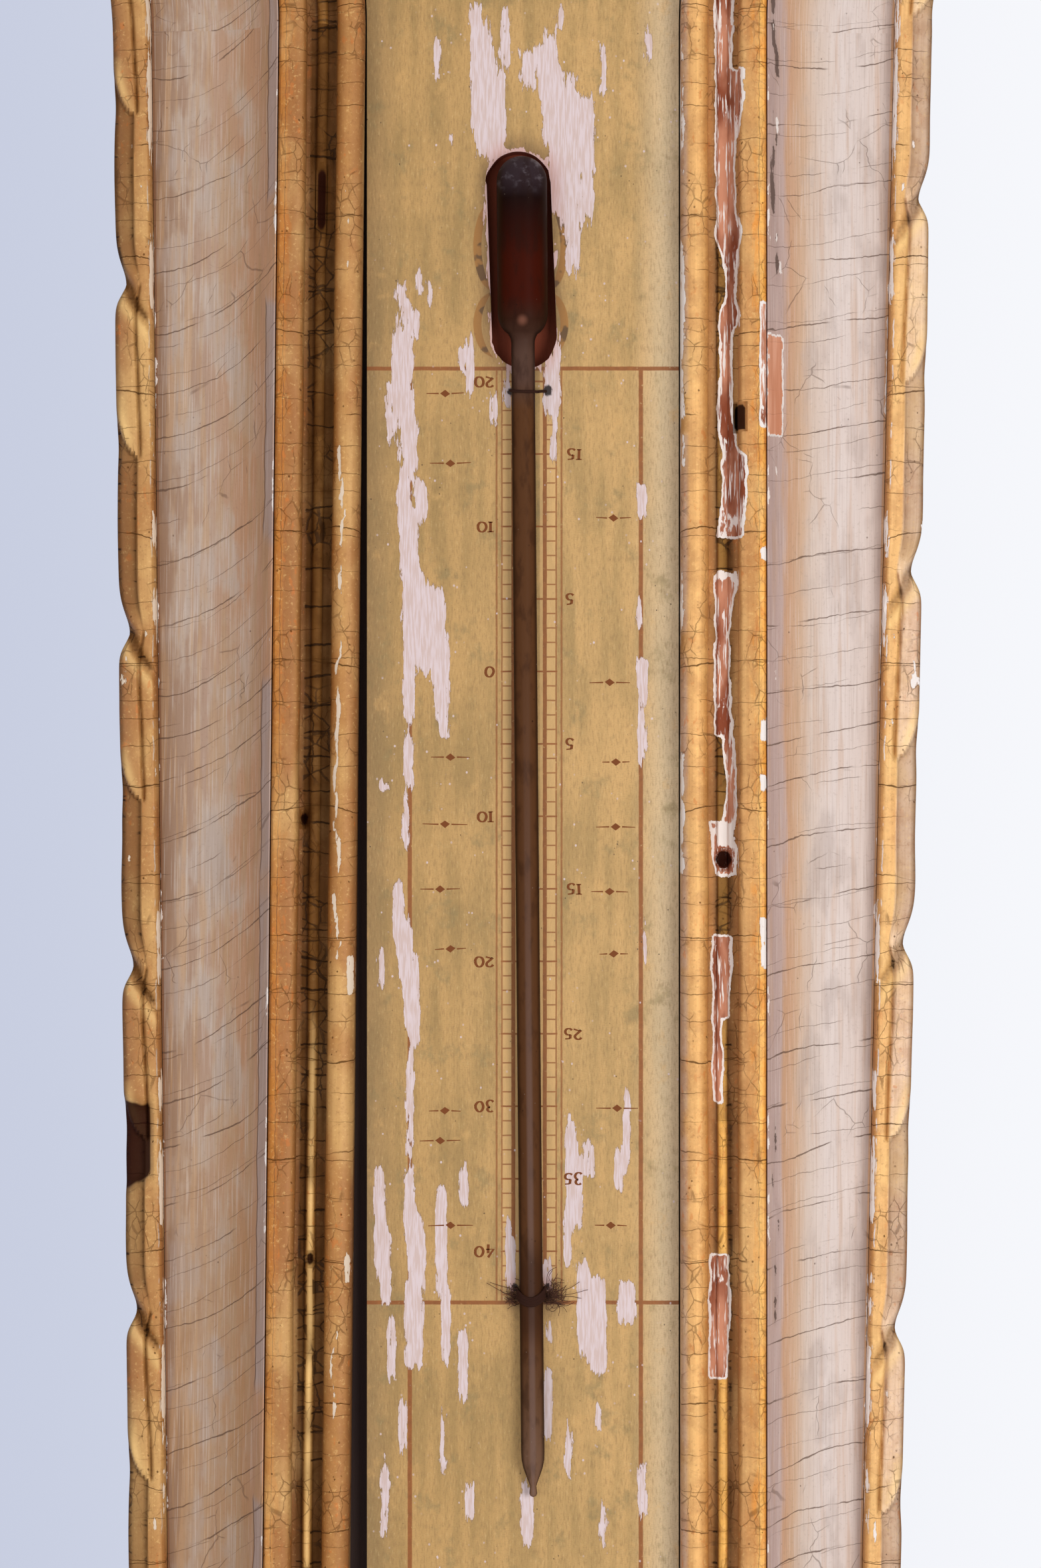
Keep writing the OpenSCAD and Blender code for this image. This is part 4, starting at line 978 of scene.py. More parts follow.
@dataclass(frozen=True)
class SightGilt(WornGilding):
    """The moulding beside the opening: bead, groove with its small bead, and astragal."""

    # Strong painted shade on the right side.
    brown: float = 0.9
    ochre: tuple = rgb(232, 146, 48)

    def paint(self, sh: Shader) -> None:
        """Gilding whose tone changes from bead to astragal, with painted highlights and painted shade in it.

        Args:
            sh: the material in the making.
        """
        s, t = sh.attr("s"), sh.attr("t")
        # The lighter stops on the bead's crown (3.2) and on the astragal's outer edge (15.7) are painted
        # highlights, and the darker stops either side of the small bead (7.2 and 9.6) are painted shade.
        stops = [(0.0, rgb(160, 112, 66)), (1.0, rgb(222, 166, 104)), (3.2, rgb(244, 188, 116)),
                 (5.2, rgb(212, 150, 82)), (7.2, rgb(180, 124, 70)), (7.7, rgb(246, 186, 92)),
                 (9.0, rgb(246, 186, 92)), (9.6, rgb(170, 116, 64)), (11.4, rgb(180, 126, 70)),
                 (12.2, rgb(226, 170, 108)), (13.2, rgb(208, 148, 86)), (14.9, rgb(216, 156, 88)),
                 (15.7, rgb(250, 188, 96)), (16.5, rgb(246, 170, 64)), (17.0, rgb(216, 132, 46))]
        sh.colour = sh.ramp(sh.mul(t, 1.0 / OUTLINE.sight_w), [(x / OUTLINE.sight_w, c) for x, c in stops])
        across = sh.add(t, sh.centred(sh.noise(t, s, size=1.5, shift=6.0), 0.8))
        crackle = sh.ease(sh.cells(across, s, 1.9, 1.5, shift=9.0), 0.055, 0.02)
        sh.lay(rgb(186, 104, 38), sh.mul(sh.ease(t, 13.6, 14.8), crackle), 0.5)
        warm = sh.patches(0.52, 0.62, t, s, size=2.0, stretch=5.0, detail=4.0, shift=51.0)
        sh.lay(self.ochre, sh.mul(warm, sh.ease(t, 13.2, 14.4)), 0.7)
        left = sh.minus(1.0, sh.on_right())
        rubbed = sh.patches(0.36, 0.5, s, t, size=16.0, shift=71.0)
        sh.lay(rgb(206, 172, 150), sh.mul(sh.ease(t, 1.7, 0.7), left, rubbed), 0.8)
        sh.lay(rgb(244, 160, 56), sh.mul(sh.ease(t, 14.7, 15.3), sh.on_right()), 0.6)
        fine = sh.near(sh.add(t, sh.centred(sh.noise(s, t, size=5.0, shift=72.0), 1.2)), 15.4, 0.03, 0.08)
        sh.lay(self.crack, fine, 0.7)
        self.age(sh, s, t)


@dataclass(frozen=True)
class CrestGilt(WornGilding):
    """Gilding on the crest and foot."""

    back: float = 15.3

    def paint(self, sh: Shader) -> None:
        """Gilding in two close tones.

        Args:
            sh: the material in the making.
        """
        x, y, h = sh.place()
        sh.colour = sh.mix(sh.noise(x, y, h, size=9.0), rgb(196, 136, 66), rgb(240, 186, 106))
        self.age(sh, y, x)


@dataclass(frozen=True)
class CovePaint(Look):
    """Cream paint on gesso, greyed and cracked, with painted shade on its right side: t runs in millimetres
    from the astragal.
    """

    back: float = 2.6
    left: tuple = ((0.0, rgb(186, 158, 150)), (0.14, rgb(198, 172, 164)), (0.19, rgb(206, 162, 130)),
                   (0.30, rgb(212, 178, 150)), (0.40, rgb(216, 196, 182)), (0.60, rgb(220, 206, 200)),
                   (0.85, rgb(216, 200, 192)), (1.0, rgb(208, 186, 174)))
    # Darker, warmer colours for the right side: painted shade of the side away from the key lamp.
    right: tuple = ((0.0, rgb(208, 158, 120)), (0.10, rgb(190, 146, 114)), (0.22, rgb(194, 148, 114)),
                    (0.38, rgb(190, 152, 124)), (0.58, rgb(180, 150, 130)), (0.80, rgb(160, 130, 108)),
                    (1.0, rgb(146, 112, 86)))
    tan: tuple = rgb(196, 154, 118)
    grey: tuple = rgb(172, 154, 146)
    crack: tuple = rgb(92, 66, 50)

    def paint(self, sh: Shader) -> None:
        """Paint in long streaks, with cracks across and chips beside the gilding.

        Args:
            sh: the material in the making.
        """
        s, q, t = sh.attr("s"), sh.attr("q"), sh.attr("t")
        x, y, h = sh.place()
        long = sh.noise(t, s, size=1.6, stretch=22.0, detail=4.0)
        cloud = sh.noise(t, s, size=8.0, stretch=2.5, detail=4.0, shift=4.0)
        waver = sh.add(q, sh.add(sh.centred(cloud, 0.12), sh.centred(long, 0.10)))
        # The right side's darker ramp is painted shade.
        sh.colour = sh.mix(sh.on_right(), sh.ramp(waver, self.left), sh.ramp(waver, self.right))
        middle = sh.mul(sh.between(q, 0.3, 0.75, 0.25), sh.on_right())
        pale = sh.ease(sh.add(sh.mul(cloud, 0.6), sh.mul(long, 0.4)), 0.44, 0.56)
        sh.lay(rgb(206, 192, 178), sh.mul(pale, middle), 0.6)
        sh.lay(rgb(176, 138, 96), sh.mul(sh.ease(long, 0.46, 0.60), sh.on_right()), 0.45)
        stained = sh.mul(sh.ease(y, 330.0, 400.0), sh.between(q, 0.25, 0.8, 0.2), sh.on_right())
        sh.lay(rgb(170, 128, 82), stained, 0.45)
        shore = sh.add(t, sh.centred(sh.noise(s, t, size=12.0, shift=55.0), 1.4))
        strip = sh.mul(sh.on_right(), sh.patches(0.40, 0.46, s, t, size=40.0, detail=1.0, shift=57.0))
        sh.lay(rgb(178, 160, 154), sh.mul(sh.ease(shore, 2.2, 2.0), strip), 0.75)
        sh.lay(self.tan, sh.ease(long, 0.50, 0.66), 0.32)
        sh.lay(self.grey, sh.mul(sh.ease(cloud, 0.50, 0.64), sh.ease(t, 5.0, 8.0)), 0.38)
        brush = sh.noise(t, s, size=0.3, stretch=55.0, detail=2.0, shift=5.0)
        sh.lay(rgb(236, 226, 220), sh.ease(brush, 0.54, 0.66), 0.20)
        sh.lay(rgb(144, 112, 88), sh.ease(brush, 0.46, 0.36), 0.16)
        # Painted shade in the crease where the cove meets the carved edge, darker on the right.
        sh.lay(sh.mix(sh.on_right(), rgb(206, 164, 128), rgb(136, 94, 64)), sh.ease(q, 0.976, 0.986))
        sh.lay(rgb(126, 98, 78), sh.patches(0.56, 0.76, x, y, h, size=0.6), 0.18)
        shifted = sh.add(s, sh.attr("lean"))
        across = sh.either(sh.lines_across(shifted, t, 12.0, 0.15, 1.0, wander=5.0),
                           sh.mul(sh.lines_across(shifted, t, 7.0, 0.07, 27.0, wander=4.0), 0.7))
        bent = sh.add(t, sh.centred(sh.noise(t, s, size=5.0, detail=2.0, shift=2.0), 4.0))
        fork = sh.mul(sh.ease(sh.cells(bent, shifted, 8.5, 1.2), 0.010, 0.003),
                      sh.patches(0.54, 0.60, t, s, size=15.0, shift=9.0))
        dark = sh.either(across, sh.mul(fork, 0.6), sh.mul(sh.dots(t, s, 2.3, 0.08, 3.0), 0.8))
        dark = sh.either(dark, sh.mul(sh.near(shore, 2.15, 0.05, 0.1), strip))
        sh.lay(self.crack, dark, 0.78)
        torn = sh.add(sh.attr("dark"), sh.centred(sh.noise(x, y, h, size=1.4, detail=4.0, shift=63.0), 0.9))
        sh.lay(rgb(70, 48, 38), sh.either(sh.ease(torn, 0.50, 0.60), sh.mul(sh.attr("dark"), 0.3)), 0.85)
        rag = sh.losses(x, y, h, 1.4, 2.2, sh.attr("wear"))
        sh.lay(rgb(240, 230, 224), sh.ease(rag, 0.50, 0.53))
        wood = sh.mix(sh.ease(long, 0.4, 0.6), rgb(206, 136, 102), rgb(226, 164, 134))
        sh.lay(wood, sh.ease(rag, 0.78, 0.82))
        sh.bump(0.6, 0.18, (dark, -1.0), (long, 0.25), (brush, 0.15))


@dataclass(frozen=True)
class Ladder:
    """The scale painted on the board, in millimetres from the dial's centre."""

    middle: float = -1.25
    bar: float = 3.16
    rail: float = 5.44
    outer: float = 6.52
    low: float = 206.0
    high: float = 393.5
    zero: float = 266.8
    degree: float = 2.91
    border_left: float = -23.7
    border_right: float = 22.7
    border_top: float = 530.0
    ring_x: float = 0.4
    ring_r: float = 8.7
    ring_heights: tuple = ((181.4, 0.72), (197.1, 1.0))
    tie_holes: tuple = ((2.5, 210.7, 0.75), (-5.0, 210.4, 1.1), (1.6, 390.4, 0.75), (-4.9, 390.2, 0.6))

    def ink(self, sh: Shader, x: Socket, y: Socket) -> Socket:
        """Ink of the rules, ticks and borders as a mask, from millimetres right of and above the dial.

        Args:
            sh: the material in the making.
            x: millimetres right of the dial's centre.
            y: millimetres above the dial's centre.

        Returns:
            A mask, 1 on the ink.
        """
        side = sh.apart(x, self.middle)
        bars = sh.near(side, self.bar, 0.36, 0.08)
        rails = sh.either(sh.near(side, self.rail, 0.13, 0.07), sh.near(side, self.outer, 0.16, 0.08))
        turn = sh.math("FRACT", sh.scaled(y, 1 / self.degree, 0.5 - self.zero / self.degree))
        tick = sh.mul(sh.near(turn, 0.5, 0.040, 0.02), sh.between(side, self.bar, self.rail, 0.05))
        five = sh.math("FRACT", sh.scaled(y, 0.2 / self.degree, 0.5 - 0.2 * self.zero / self.degree))
        long_tick = sh.mul(sh.near(five, 0.5, 0.010, 0.004), sh.between(side, 1.0, self.rail + 0.2, 0.05))
        scale = sh.either(bars, sh.mul(rails, 0.8), sh.mul(tick, 0.85), long_tick)
        scale = sh.mul(scale, sh.between(y, self.low, self.high, 0.05))
        rules = sh.either(sh.near(y, self.low, 0.34, 0.1), sh.near(y, self.high, 0.34, 0.1))
        sides = sh.either(sh.near(x, self.border_left, 0.38, 0.1), sh.near(x, self.border_right, 0.38, 0.1))
        sides = sh.mul(sides, sh.between(y, self.low, self.border_top, 0.1))
        inside = sh.between(x, self.border_left, self.border_right, 0.2)
        top = sh.mul(sh.near(y, self.border_top, 0.32, 0.1), inside)
        return sh.either(scale, rules, sides, top)

    def rings(self, sh: Shader, x: Socket, y: Socket) -> Socket:
        """Two circles painted beside the pocket, widest at their sides, as a mask.

        Args:
            sh: the material in the making.
            x: millimetres right of the dial's centre.
            y: millimetres above the dial's centre.

        Returns:
            A mask, 1 on the circles.
        """
        across = sh.minus(x, self.ring_x)
        half = sh.mul(sh.ease(sh.math("ABSOLUTE", across), 5.0, 8.6), 0.85)
        rings = [sh.reach(across, sh.mul(sh.minus(y, at), squeeze)) for at, squeeze in self.ring_heights]
        gap = sh.math("MINIMUM", *(sh.apart(ring, self.ring_r) for ring in rings))
        return sh.mul(sh.ease(sh.minus(gap, half), 0.1, -0.1), sh.ease(half, 0.0, 0.1))

    def pits(self, sh: Shader, x: Socket, y: Socket) -> Socket:
        """The holes that the ties go through, as a mask.

        Args:
            sh: the material in the making.
            x: millimetres right of the dial's centre.
            y: millimetres above the dial's centre.

        Returns:
            A mask, 1 in the holes.
        """
        rough = sh.centred(sh.noise(x, y, size=0.5, shift=3.0), 0.7)
        gaps = [(sh.reach(sh.minus(x, cx), sh.mul(sh.minus(y, cy), 0.8)), r) for cx, cy, r in self.tie_holes]
        return sh.either(*(sh.ease(sh.add(gap, rough), r, 0.6 * r) for gap, r in gaps))


LADDER = Ladder()


@dataclass(frozen=True)
class ScalePaint(Look):
    """The scale board: varnished cream ground, inked scale and flaked paint, with painted light and shade."""

    gold: tuple = rgb(210, 168, 108)
    olive: tuple = rgb(180, 146, 92)
    # Painted light: the paler colour at the board's left edge.
    pale: tuple = rgb(216, 196, 162)
    blotch: tuple = rgb(140, 122, 80)
    side: tuple = rgb(92, 52, 30)
    pocket: tuple = rgb(136, 62, 40)
    lilac: tuple = rgb(226, 208, 210)
    pink: tuple = rgb(206, 150, 138)

    def paint(self, sh: Shader) -> None:
        """Ground, ink, stains and then the losses.

        Args:
            sh: the material in the making.
        """
        x, y, h = sh.place()
        fibre = sh.noise(x, y, size=0.35, stretch=5.0, detail=3.0)
        weave = sh.noise(x, y, size=0.5, stretch=0.4, detail=2.0, shift=9.0)
        streak = sh.noise(x, y, size=3.0, stretch=9.0, detail=3.0, shift=3.0)
        cloud = sh.noise(x, y, size=13.0, stretch=1.5, detail=3.0, shift=6.0)
        blot = sh.noise(x, y, size=6.5, stretch=1.3, detail=5.0, rough=0.65, shift=14.0)
        both = sh.add(sh.mul(streak, 0.6), sh.mul(cloud, 0.4))
        sh.colour = sh.mix(sh.ease(both, 0.36, 0.62), self.olive, self.gold)
        # Painted shade and light: darker towards the right, the side away from the key lamp, paler at the
        # left edge and darker at the right edge.
        sh.lay((0.84, 0.82, 0.76), sh.ease(x, -30.0, 30.0), 1.0, "MULTIPLY")
        sh.lay(self.pale, sh.ease(x, -21.0, -31.0), 0.8)
        sh.lay(rgb(140, 116, 80), sh.ease(x, 23.0, 31.0), 0.45)
        sh.lay(self.blotch, sh.ease(blot, 0.54, 0.70), 0.6)
        sh.lay(rgb(216, 170, 106), sh.ease(blot, 0.42, 0.30), 0.4)
        sh.lay(rgb(134, 102, 64), sh.ease(fibre, 0.48, 0.70), 0.36)
        sh.lay(rgb(238, 204, 146), sh.ease(fibre, 0.42, 0.28), 0.22)
        sh.lay(rgb(126, 98, 62), sh.ease(weave, 0.5, 0.7), 0.20)
        cell = sh.mul(sh.between(sh.apart(x, LADDER.middle), 2.2, LADDER.rail, 0.1),
                      sh.between(y, LADDER.low, LADDER.high, 0.1))
        sh.lay(rgb(232, 186, 124), cell, 0.5)
        wobble = sh.centred(sh.noise(x, y, size=3.0, detail=2.0, shift=1.0), 0.16)
        seen = sh.patches(0.22, 0.38, x, y, size=0.9, shift=8.0)
        ink_colour = sh.mix(sh.noise(x, y, size=1.5, shift=2.0), rgb(112, 56, 18), rgb(166, 98, 42))
        sh.lay(ink_colour, sh.mul(LADDER.ink(sh, sh.add(x, wobble), sh.add(y, wobble)), seen), 0.92)
        thin = sh.patches(0.45, 0.51, x, y, size=6.0, shift=21.0)
        faded = sh.mix(thin, rgb(82, 54, 28), rgb(166, 114, 54))
        sh.lay(faded, LADDER.rings(sh, x, y), 0.88)
        # Painted shadow round the pocket and the upper tie; the same mask makes bare wood pinker there.
        soot = sh.attr("soot")
        sh.lay(rgb(92, 60, 36), sh.mul(soot, sh.scaled(blot, 0.8, 0.5)), 0.8)
        sh.lay(rgb(58, 38, 24), sh.dots(x, y, 1.9, 0.09, 15.0), 0.8)
        rag = sh.losses(x, y, 0.0, 0.8, 6.0, sh.attr("loss"))
        flake = sh.ease(rag, 0.50, 0.52)
        grain = sh.patches(0.4, 0.6, x, y, size=0.35, stretch=14.0, detail=2.0, shift=5.0)
        bare = sh.mix(sh.mul(soot, 0.8), sh.mix(grain, rgb(214, 190, 184), self.lilac), self.pink)
        sh.lay(bare, sh.either(flake, sh.mul(sh.dots(x, y, 1.7, 0.15, 5.0), 0.85)))
        sh.lay(rgb(120, 90, 58), sh.mul(sh.ease(rag, 0.46, 0.50), sh.ease(rag, 0.54, 0.50)), 0.45)
        # The tie holes are not cut: they are painted near-black, standing in for the shade inside them.
        sh.lay(rgb(26, 13, 9), LADDER.pits(sh, x, y), 0.95)
        sh.lay(sh.mix(sh.in_pocket(x, y), self.side, self.pocket), sh.ease(h, 19.9, 19.4))
        sh.set("Roughness", sh.scaled(flake, 0.3, 0.5))
        sh.bump(0.5, 0.15, (flake, -0.8), (fibre, 0.3), (weave, 0.15))


@dataclass(frozen=True)
class AgedBrass(Look):
    """Brass with a brown film."""

    def paint(self, sh: Shader) -> None:
        """Bright brass where the film is thin.

        Args:
            sh: the material in the making.
        """
        x, y, h = sh.place()
        film = sh.noise(x, y, h, size=6.0, detail=4.0)
        sh.colour = sh.mix(sh.ease(film, 0.4, 0.7), rgb(206, 168, 88), rgb(150, 112, 54))
        sh.set("Metallic", 0.9)
        sh.set("Roughness", sh.scaled(film, 0.3, 0.16))


@dataclass(frozen=True)
class StemGlass(Look):
    """The thermometer's glass: dark red spirit in the bulb, umber with age along the tube.

    q is 1 on the side towards the viewer and 0 at the sides.
    """

    gloss: float = 0.03
    low: float = 163.0
    length: float = 270.0

    def paint(self, sh: Shader) -> None:
        """Colours along the glass, painted shade at its sides, and painted highlights on the tube and bulb.

        Args:
            sh: the material in the making.
        """
        x, y, _ = sh.place()
        up, q = sh.mul(sh.minus(y, self.low), 1.0 / self.length), sh.attr("q")
        bulb, heel, neck, tube = rgb(60, 15, 4), rgb(52, 27, 17), rgb(84, 60, 50), rgb(88, 55, 32)
        # The first two stops, grey-violet at the bulb's foot, are a painted highlight.
        stops = [(0.0, rgb(62, 50, 54)), (0.022, rgb(48, 36, 40)), (0.035, rgb(24, 8, 6)),
                 (0.06, rgb(44, 11, 4)), (0.08, bulb), (0.108, bulb), (0.125, heel), (0.15, neck),
                 (0.17, neck), (0.19, tube), (0.88, tube), (0.93, rgb(98, 68, 48)), (1.0, rgb(122, 92, 74))]
        sh.colour = sh.ramp(up, stops)
        cloud = sh.noise(x, y, size=2.2, stretch=3.0, detail=4.0, shift=6.0)
        sh.lay(rgb(34, 16, 10), sh.ease(cloud, 0.48, 0.66), 0.4)
        # Painted shade: darker towards the sides of the glass.
        sh.lay(rgb(30, 16, 9), sh.ease(q, 0.78, 0.35), 0.75)
        # Painted highlight: a dull gleam along the middle of the tube, stronger towards its tip.
        gleam = sh.mul(sh.ease(q, 0.94, 0.998), sh.ease(up, 0.30, 0.80))
        sh.lay(rgb(122, 98, 90), gleam, 0.45)
        sh.lay(rgb(46, 24, 15), sh.between(y, 387.0, 396.0, 9.0), 0.6)
        # Painted highlight in patches over the bulb's foot.
        sheen = sh.patches(0.50, 0.74, x, y, size=2.0, detail=4.0, shift=5.0)
        sh.lay(rgb(140, 130, 138), sh.mul(sh.ease(up, 0.035, 0.012), sheen), 0.5)
        # A small painted highlight on the bulb's shoulder.
        glint = sh.reach(sh.minus(x, 0.1), sh.minus(y, 197.0))
        sh.lay(rgb(122, 78, 62), sh.ease(glint, 1.5, 0.1), 0.8)
        sh.lay(rgb(24, 12, 8), sh.dots(x, y, 1.6, 0.12, 2.0), 0.7)
        sh.lay(rgb(150, 132, 120), sh.dots(x, y, 1.3, 0.07, 9.0), 0.6)
        sh.set("Roughness", sh.scaled(cloud, 0.2, 0.35))


@dataclass(frozen=True)
class DialPaper(Look):
    """Printed paper, browned towards its rim."""

    rough: float = 0.7

    def paint(self, sh: Shader) -> None:
        """Foxed cream paper.

        Args:
            sh: the material in the making.
        """
        x, y, _ = sh.place()
        foxed = sh.patches(0.42, 0.72, x, y, size=10.0, detail=4.0)
        sh.colour = sh.mix(foxed, rgb(226, 210, 170), rgb(196, 170, 122))
        sh.lay(rgb(170, 138, 90), sh.ease(sh.reach(x, y), 60.0, 86.0), 0.5)


class Finish(Enum):
    """The finishes, one for each material in the picture or on the parts behind it."""

    EDGE_GILT = EdgeGilt()
    SIGHT_GILT = SightGilt()
    CREST_GILT = CrestGilt()
    COVE_PAINT = CovePaint()
    SCALE_PAINT = ScalePaint()
    WOOD = OldPine()
    GLASS = Plain(rough=0.03, gloss=0.5, tone=rgb(236, 240, 236), clear=1.0)
    STEM = StemGlass()
    MERCURY = Plain(rough=0.08, tone=rgb(206, 208, 212), metallic=1.0)
    BRASS = AgedBrass()
    BLUED = Plain(rough=0.25, tone=rgb(30, 38, 74), metallic=0.9)
    STEEL = Plain(rough=0.3, tone=rgb(160, 162, 166), metallic=1.0)
    IRON = Plain(rough=0.55, tone=rgb(60, 54, 50), metallic=0.8)
    THREAD = Plain(rough=0.85, gloss=0.08, tone=rgb(50, 29, 22))
    LINT = Plain(rough=0.9, gloss=0.1, tone=rgb(84, 56, 46))
    DIAL = DialPaper()
    INK = Plain(gloss=0.2, tone=rgb(120, 64, 24))
    DIAL_INK = Plain(gloss=0.2, tone=rgb(40, 30, 26))
    OPAL = Plain(rough=0.2, gloss=0.5, tone=rgb(226, 222, 206))

    def material(self) -> bpy.types.Material:
        """The material, made the first time it is asked for."""
        if self not in MADE:
            MADE[self] = self.value.material("look_" + self.name.lower())
        return MADE[self]


MADE: dict = {}


@dataclass(frozen=True)
class SightMoulding:
    """The gilt moulding beside the opening, one length for each CAD node."""

    bead_top: float = 27.0
    floor: float = 22.5
    astragal: float = 28.5
    lost_bead: tuple = (
        ((250, 6.6, 10.4), (295, 6.7, 10.5), (308.5, 6.9, 10.5), (309, 6.9, 12.6), (318, 7.0, 12.1),
         (327, 6.9, 10.7), (342, 7.0, 11.9), (346.5, 8.1, 11.6), (354, 8.8, 11.4), (360, 7.4, 11.6),
         (362, 7.7, 10.4), (372, 7.9, 10.5), (377, 7.2, 10.5), (385, 8.1, 11.2), (386, 8.3, 13.0),
         (394, 8.4, 13.0), (403, 7.0, 12.3)),
        ((409.3, 6.4, 11.9), (414, 6.7, 11.1), (418, 6.8, 10.2), (426, 6.8, 9.7), (442.5, 6.8, 10.5),
         (443, 8.3, 10.5), (450, 9.1, 11.1), (458.5, 8.8, 11.2), (459.5, 5.6, 11.2), (470.5, 6.9, 11.4)),
        ((482, 6.2, 10.4), (498.5, 6.3, 9.8), (499, 6.3, 8.4), (516, 6.5, 8.6)),
        ((545.7, 5.8, 9.5), (558.6, 5.6, 10.2), (571, 5.8, 9.1)), ((690, 6.6, 10.2), (735, 6.8, 10.0)))
    gesso_lump: tuple = ((459.5, 464.5, 1.0), (409, 411, 0.8), (398, 403, 0.5))
    deep_hole: tuple = (467.0, 8.7, 1.75)
    seam_chips: tuple = ((356, 381, 0.98), (404.5, 407.5, 0.8), (438, 444, 0.64),
                         (450, 454, 0.62), (478, 489, 0.64))
    side_hole: tuple = ((376.0, 381.0, 1.0),)
    slit: tuple = ((329, 341, 0.9),)
    knots: tuple = ((459.0, 10.6, 1.3), (547.0, 8.4, 1.2))
    bead_from: float = 519.0
    flaked_line: tuple = ((330, 352, 0.45), (384, 414, 0.66), (412, 436, 0.54),
                          (434, 470, 0.74), (473, 487, 0.7), (560, 580, 0.5))
    bare_line: tuple = ((486, 494, 0.85), (545, 552, 0.6))
    burnished: tuple = ((499, 640, 1.0), (690, 740, 0.8))
    soiled: tuple = ((300, 475, 1.0), (475, 560, 0.75), (560, 740, 0.35))

    def section(self) -> np.ndarray:
        """Outline of the moulding: distance from the opening and height, closed at the plank."""
        a = np.linspace(math.pi, 0.0, 15)
        bead = np.stack([2.75 + 2.75 * np.cos(a), self.bead_top - 2.4 + 2.4 * np.sin(a)], axis=-1)
        b = np.linspace(math.pi, 0.0, 9)
        small = np.stack([8.4 + 1.1 * np.cos(b), self.floor + 0.4 + 1.1 * np.sin(b)], axis=-1)
        w, top = OUTLINE.sight_w, self.astragal
        near, far = ([[x, self.floor] for x in np.linspace(*ends, 5)] for ends in ((5.5, 7.3), (9.5, 11.5)))
        rest = [[11.5, top - 2.2], [11.75, top - 1.2], [12.3, top - 0.55], [13.2, top - 0.3],
                [14.2, top - 0.2], [15.2, top - 0.15], [15.9, top], [16.4, top - 0.15], [16.8, top - 0.8],
                [w, top - 2.0], [w, BOARD_H], [w, PLANK_H]]
        start, end = [[0.0, PLANK_H], [0.0, BOARD_H]], [[w / 2, PLANK_H]]
        return np.vstack([start, bead, near, small, far, rest, end])

    def left_wear(self, s: np.ndarray, t: np.ndarray) -> np.ndarray:
        """Losses on the left side: most of the small bead down to the wood, and chips at both edges.

        Args:
            s: millimetres along.
            t: millimetres across, from the opening.

        Returns:
            Losses from 0 to 1.
        """
        lost = 0 * t
        for run in self.lost_bead:
            start, low, high = np.array(run).T
            ragged = 0.25 * drift(s, 2.4, 42)
            from_low, from_high = t - np.interp(s, start, low), np.interp(s, start, high) - t
            inside = smooth((from_low + ragged) / 1.6 + 0.5) * smooth((from_high + ragged) / 1.6 + 0.5)
            ends = smooth((s - start[0]) / 1.2 + 0.5) * smooth((start[-1] - s) / 1.2 + 0.5)
            lost = np.maximum(lost, 1.06 * inside * ends)
        lump = along_stretches(s, self.gesso_lump, 2.0) * ridge(t, 9.4, 2.8, 4)
        rim = ridge(t, 0.2, 0.8) * np.clip(0.36 + 0.3 * drift(s, 16, 44), 0, 0.6) * (s < 470)
        seam = along_stretches(s, self.seam_chips, 1.5) * ridge(t, 16.4, 1.05, 4)
        return np.maximum.reduce([lost * (1 - 0.4 * lump), rim, seam])

    def right_wear(self, s: np.ndarray, t: np.ndarray) -> np.ndarray:
        """Losses on the right side: a wandering flaked line on the bead and a bare strip at the opening.

        Args:
            s: millimetres along.
            t: millimetres across, from the opening.

        Returns:
            Losses from 0 to 1.
        """
        middle = 3.4 + 0.8 * drift(s, 9, 45) + 0.5 * drift(s, 2.6, 46)
        line = along_stretches(s, self.flaked_line) * ridge(t, middle, 0.5)
        bare = along_stretches(s, self.bare_line) * ridge(t, 0.8, 0.9)
        return np.maximum(line, bare)

    def dark(self, s: np.ndarray, t: np.ndarray, side: int) -> np.ndarray:
        """Darkness in the groove, soiling and painted shade together: in and beside the lost bead's bed on
        the left, all over on the right.

        Args:
            s: millimetres along.
            t: millimetres across, from the opening.
            side: 1 on the right, -1 on the left and 0 at the top.

        Returns:
            Darkness from 0 to 1.
        """
        groove = smooth((t - 5.0) / 0.7) * smooth((11.3 - t) / 0.7)
        bead = ridge(t, 8.4, 0.75, 4)
        wander = 0.2 * value_noise(s / 7, t / 2, 12)
        # The thin lines beside the small bead are painted shade in its crevices, and the groove on the right,
        # away from the key lamp, is painted in shade all over along with its soiling.
        if side < 0:
            beside = ridge(t, 6.9, 0.5) + ridge(t, 9.9, 0.6)
            deep = 0.14 + np.where(s < self.bead_from, 0.62 * ridge(t, 8.6, 1.9, 6), 0.6 * beside)
        else:
            deep = 0.78 + 0.2 * along_stretches(s, self.soiled, 30.0)
        clean = bead * along_stretches(s, self.burnished, 20.0) * (0.75 + 0.5 * drift(s, 5, 47))
        out = groove * (deep + wander) * (1 - clean)
        return np.clip(out + 0.12 * np.clip(value_noise(s / 11, t / 2, 48), 0, 1), 0, 1)

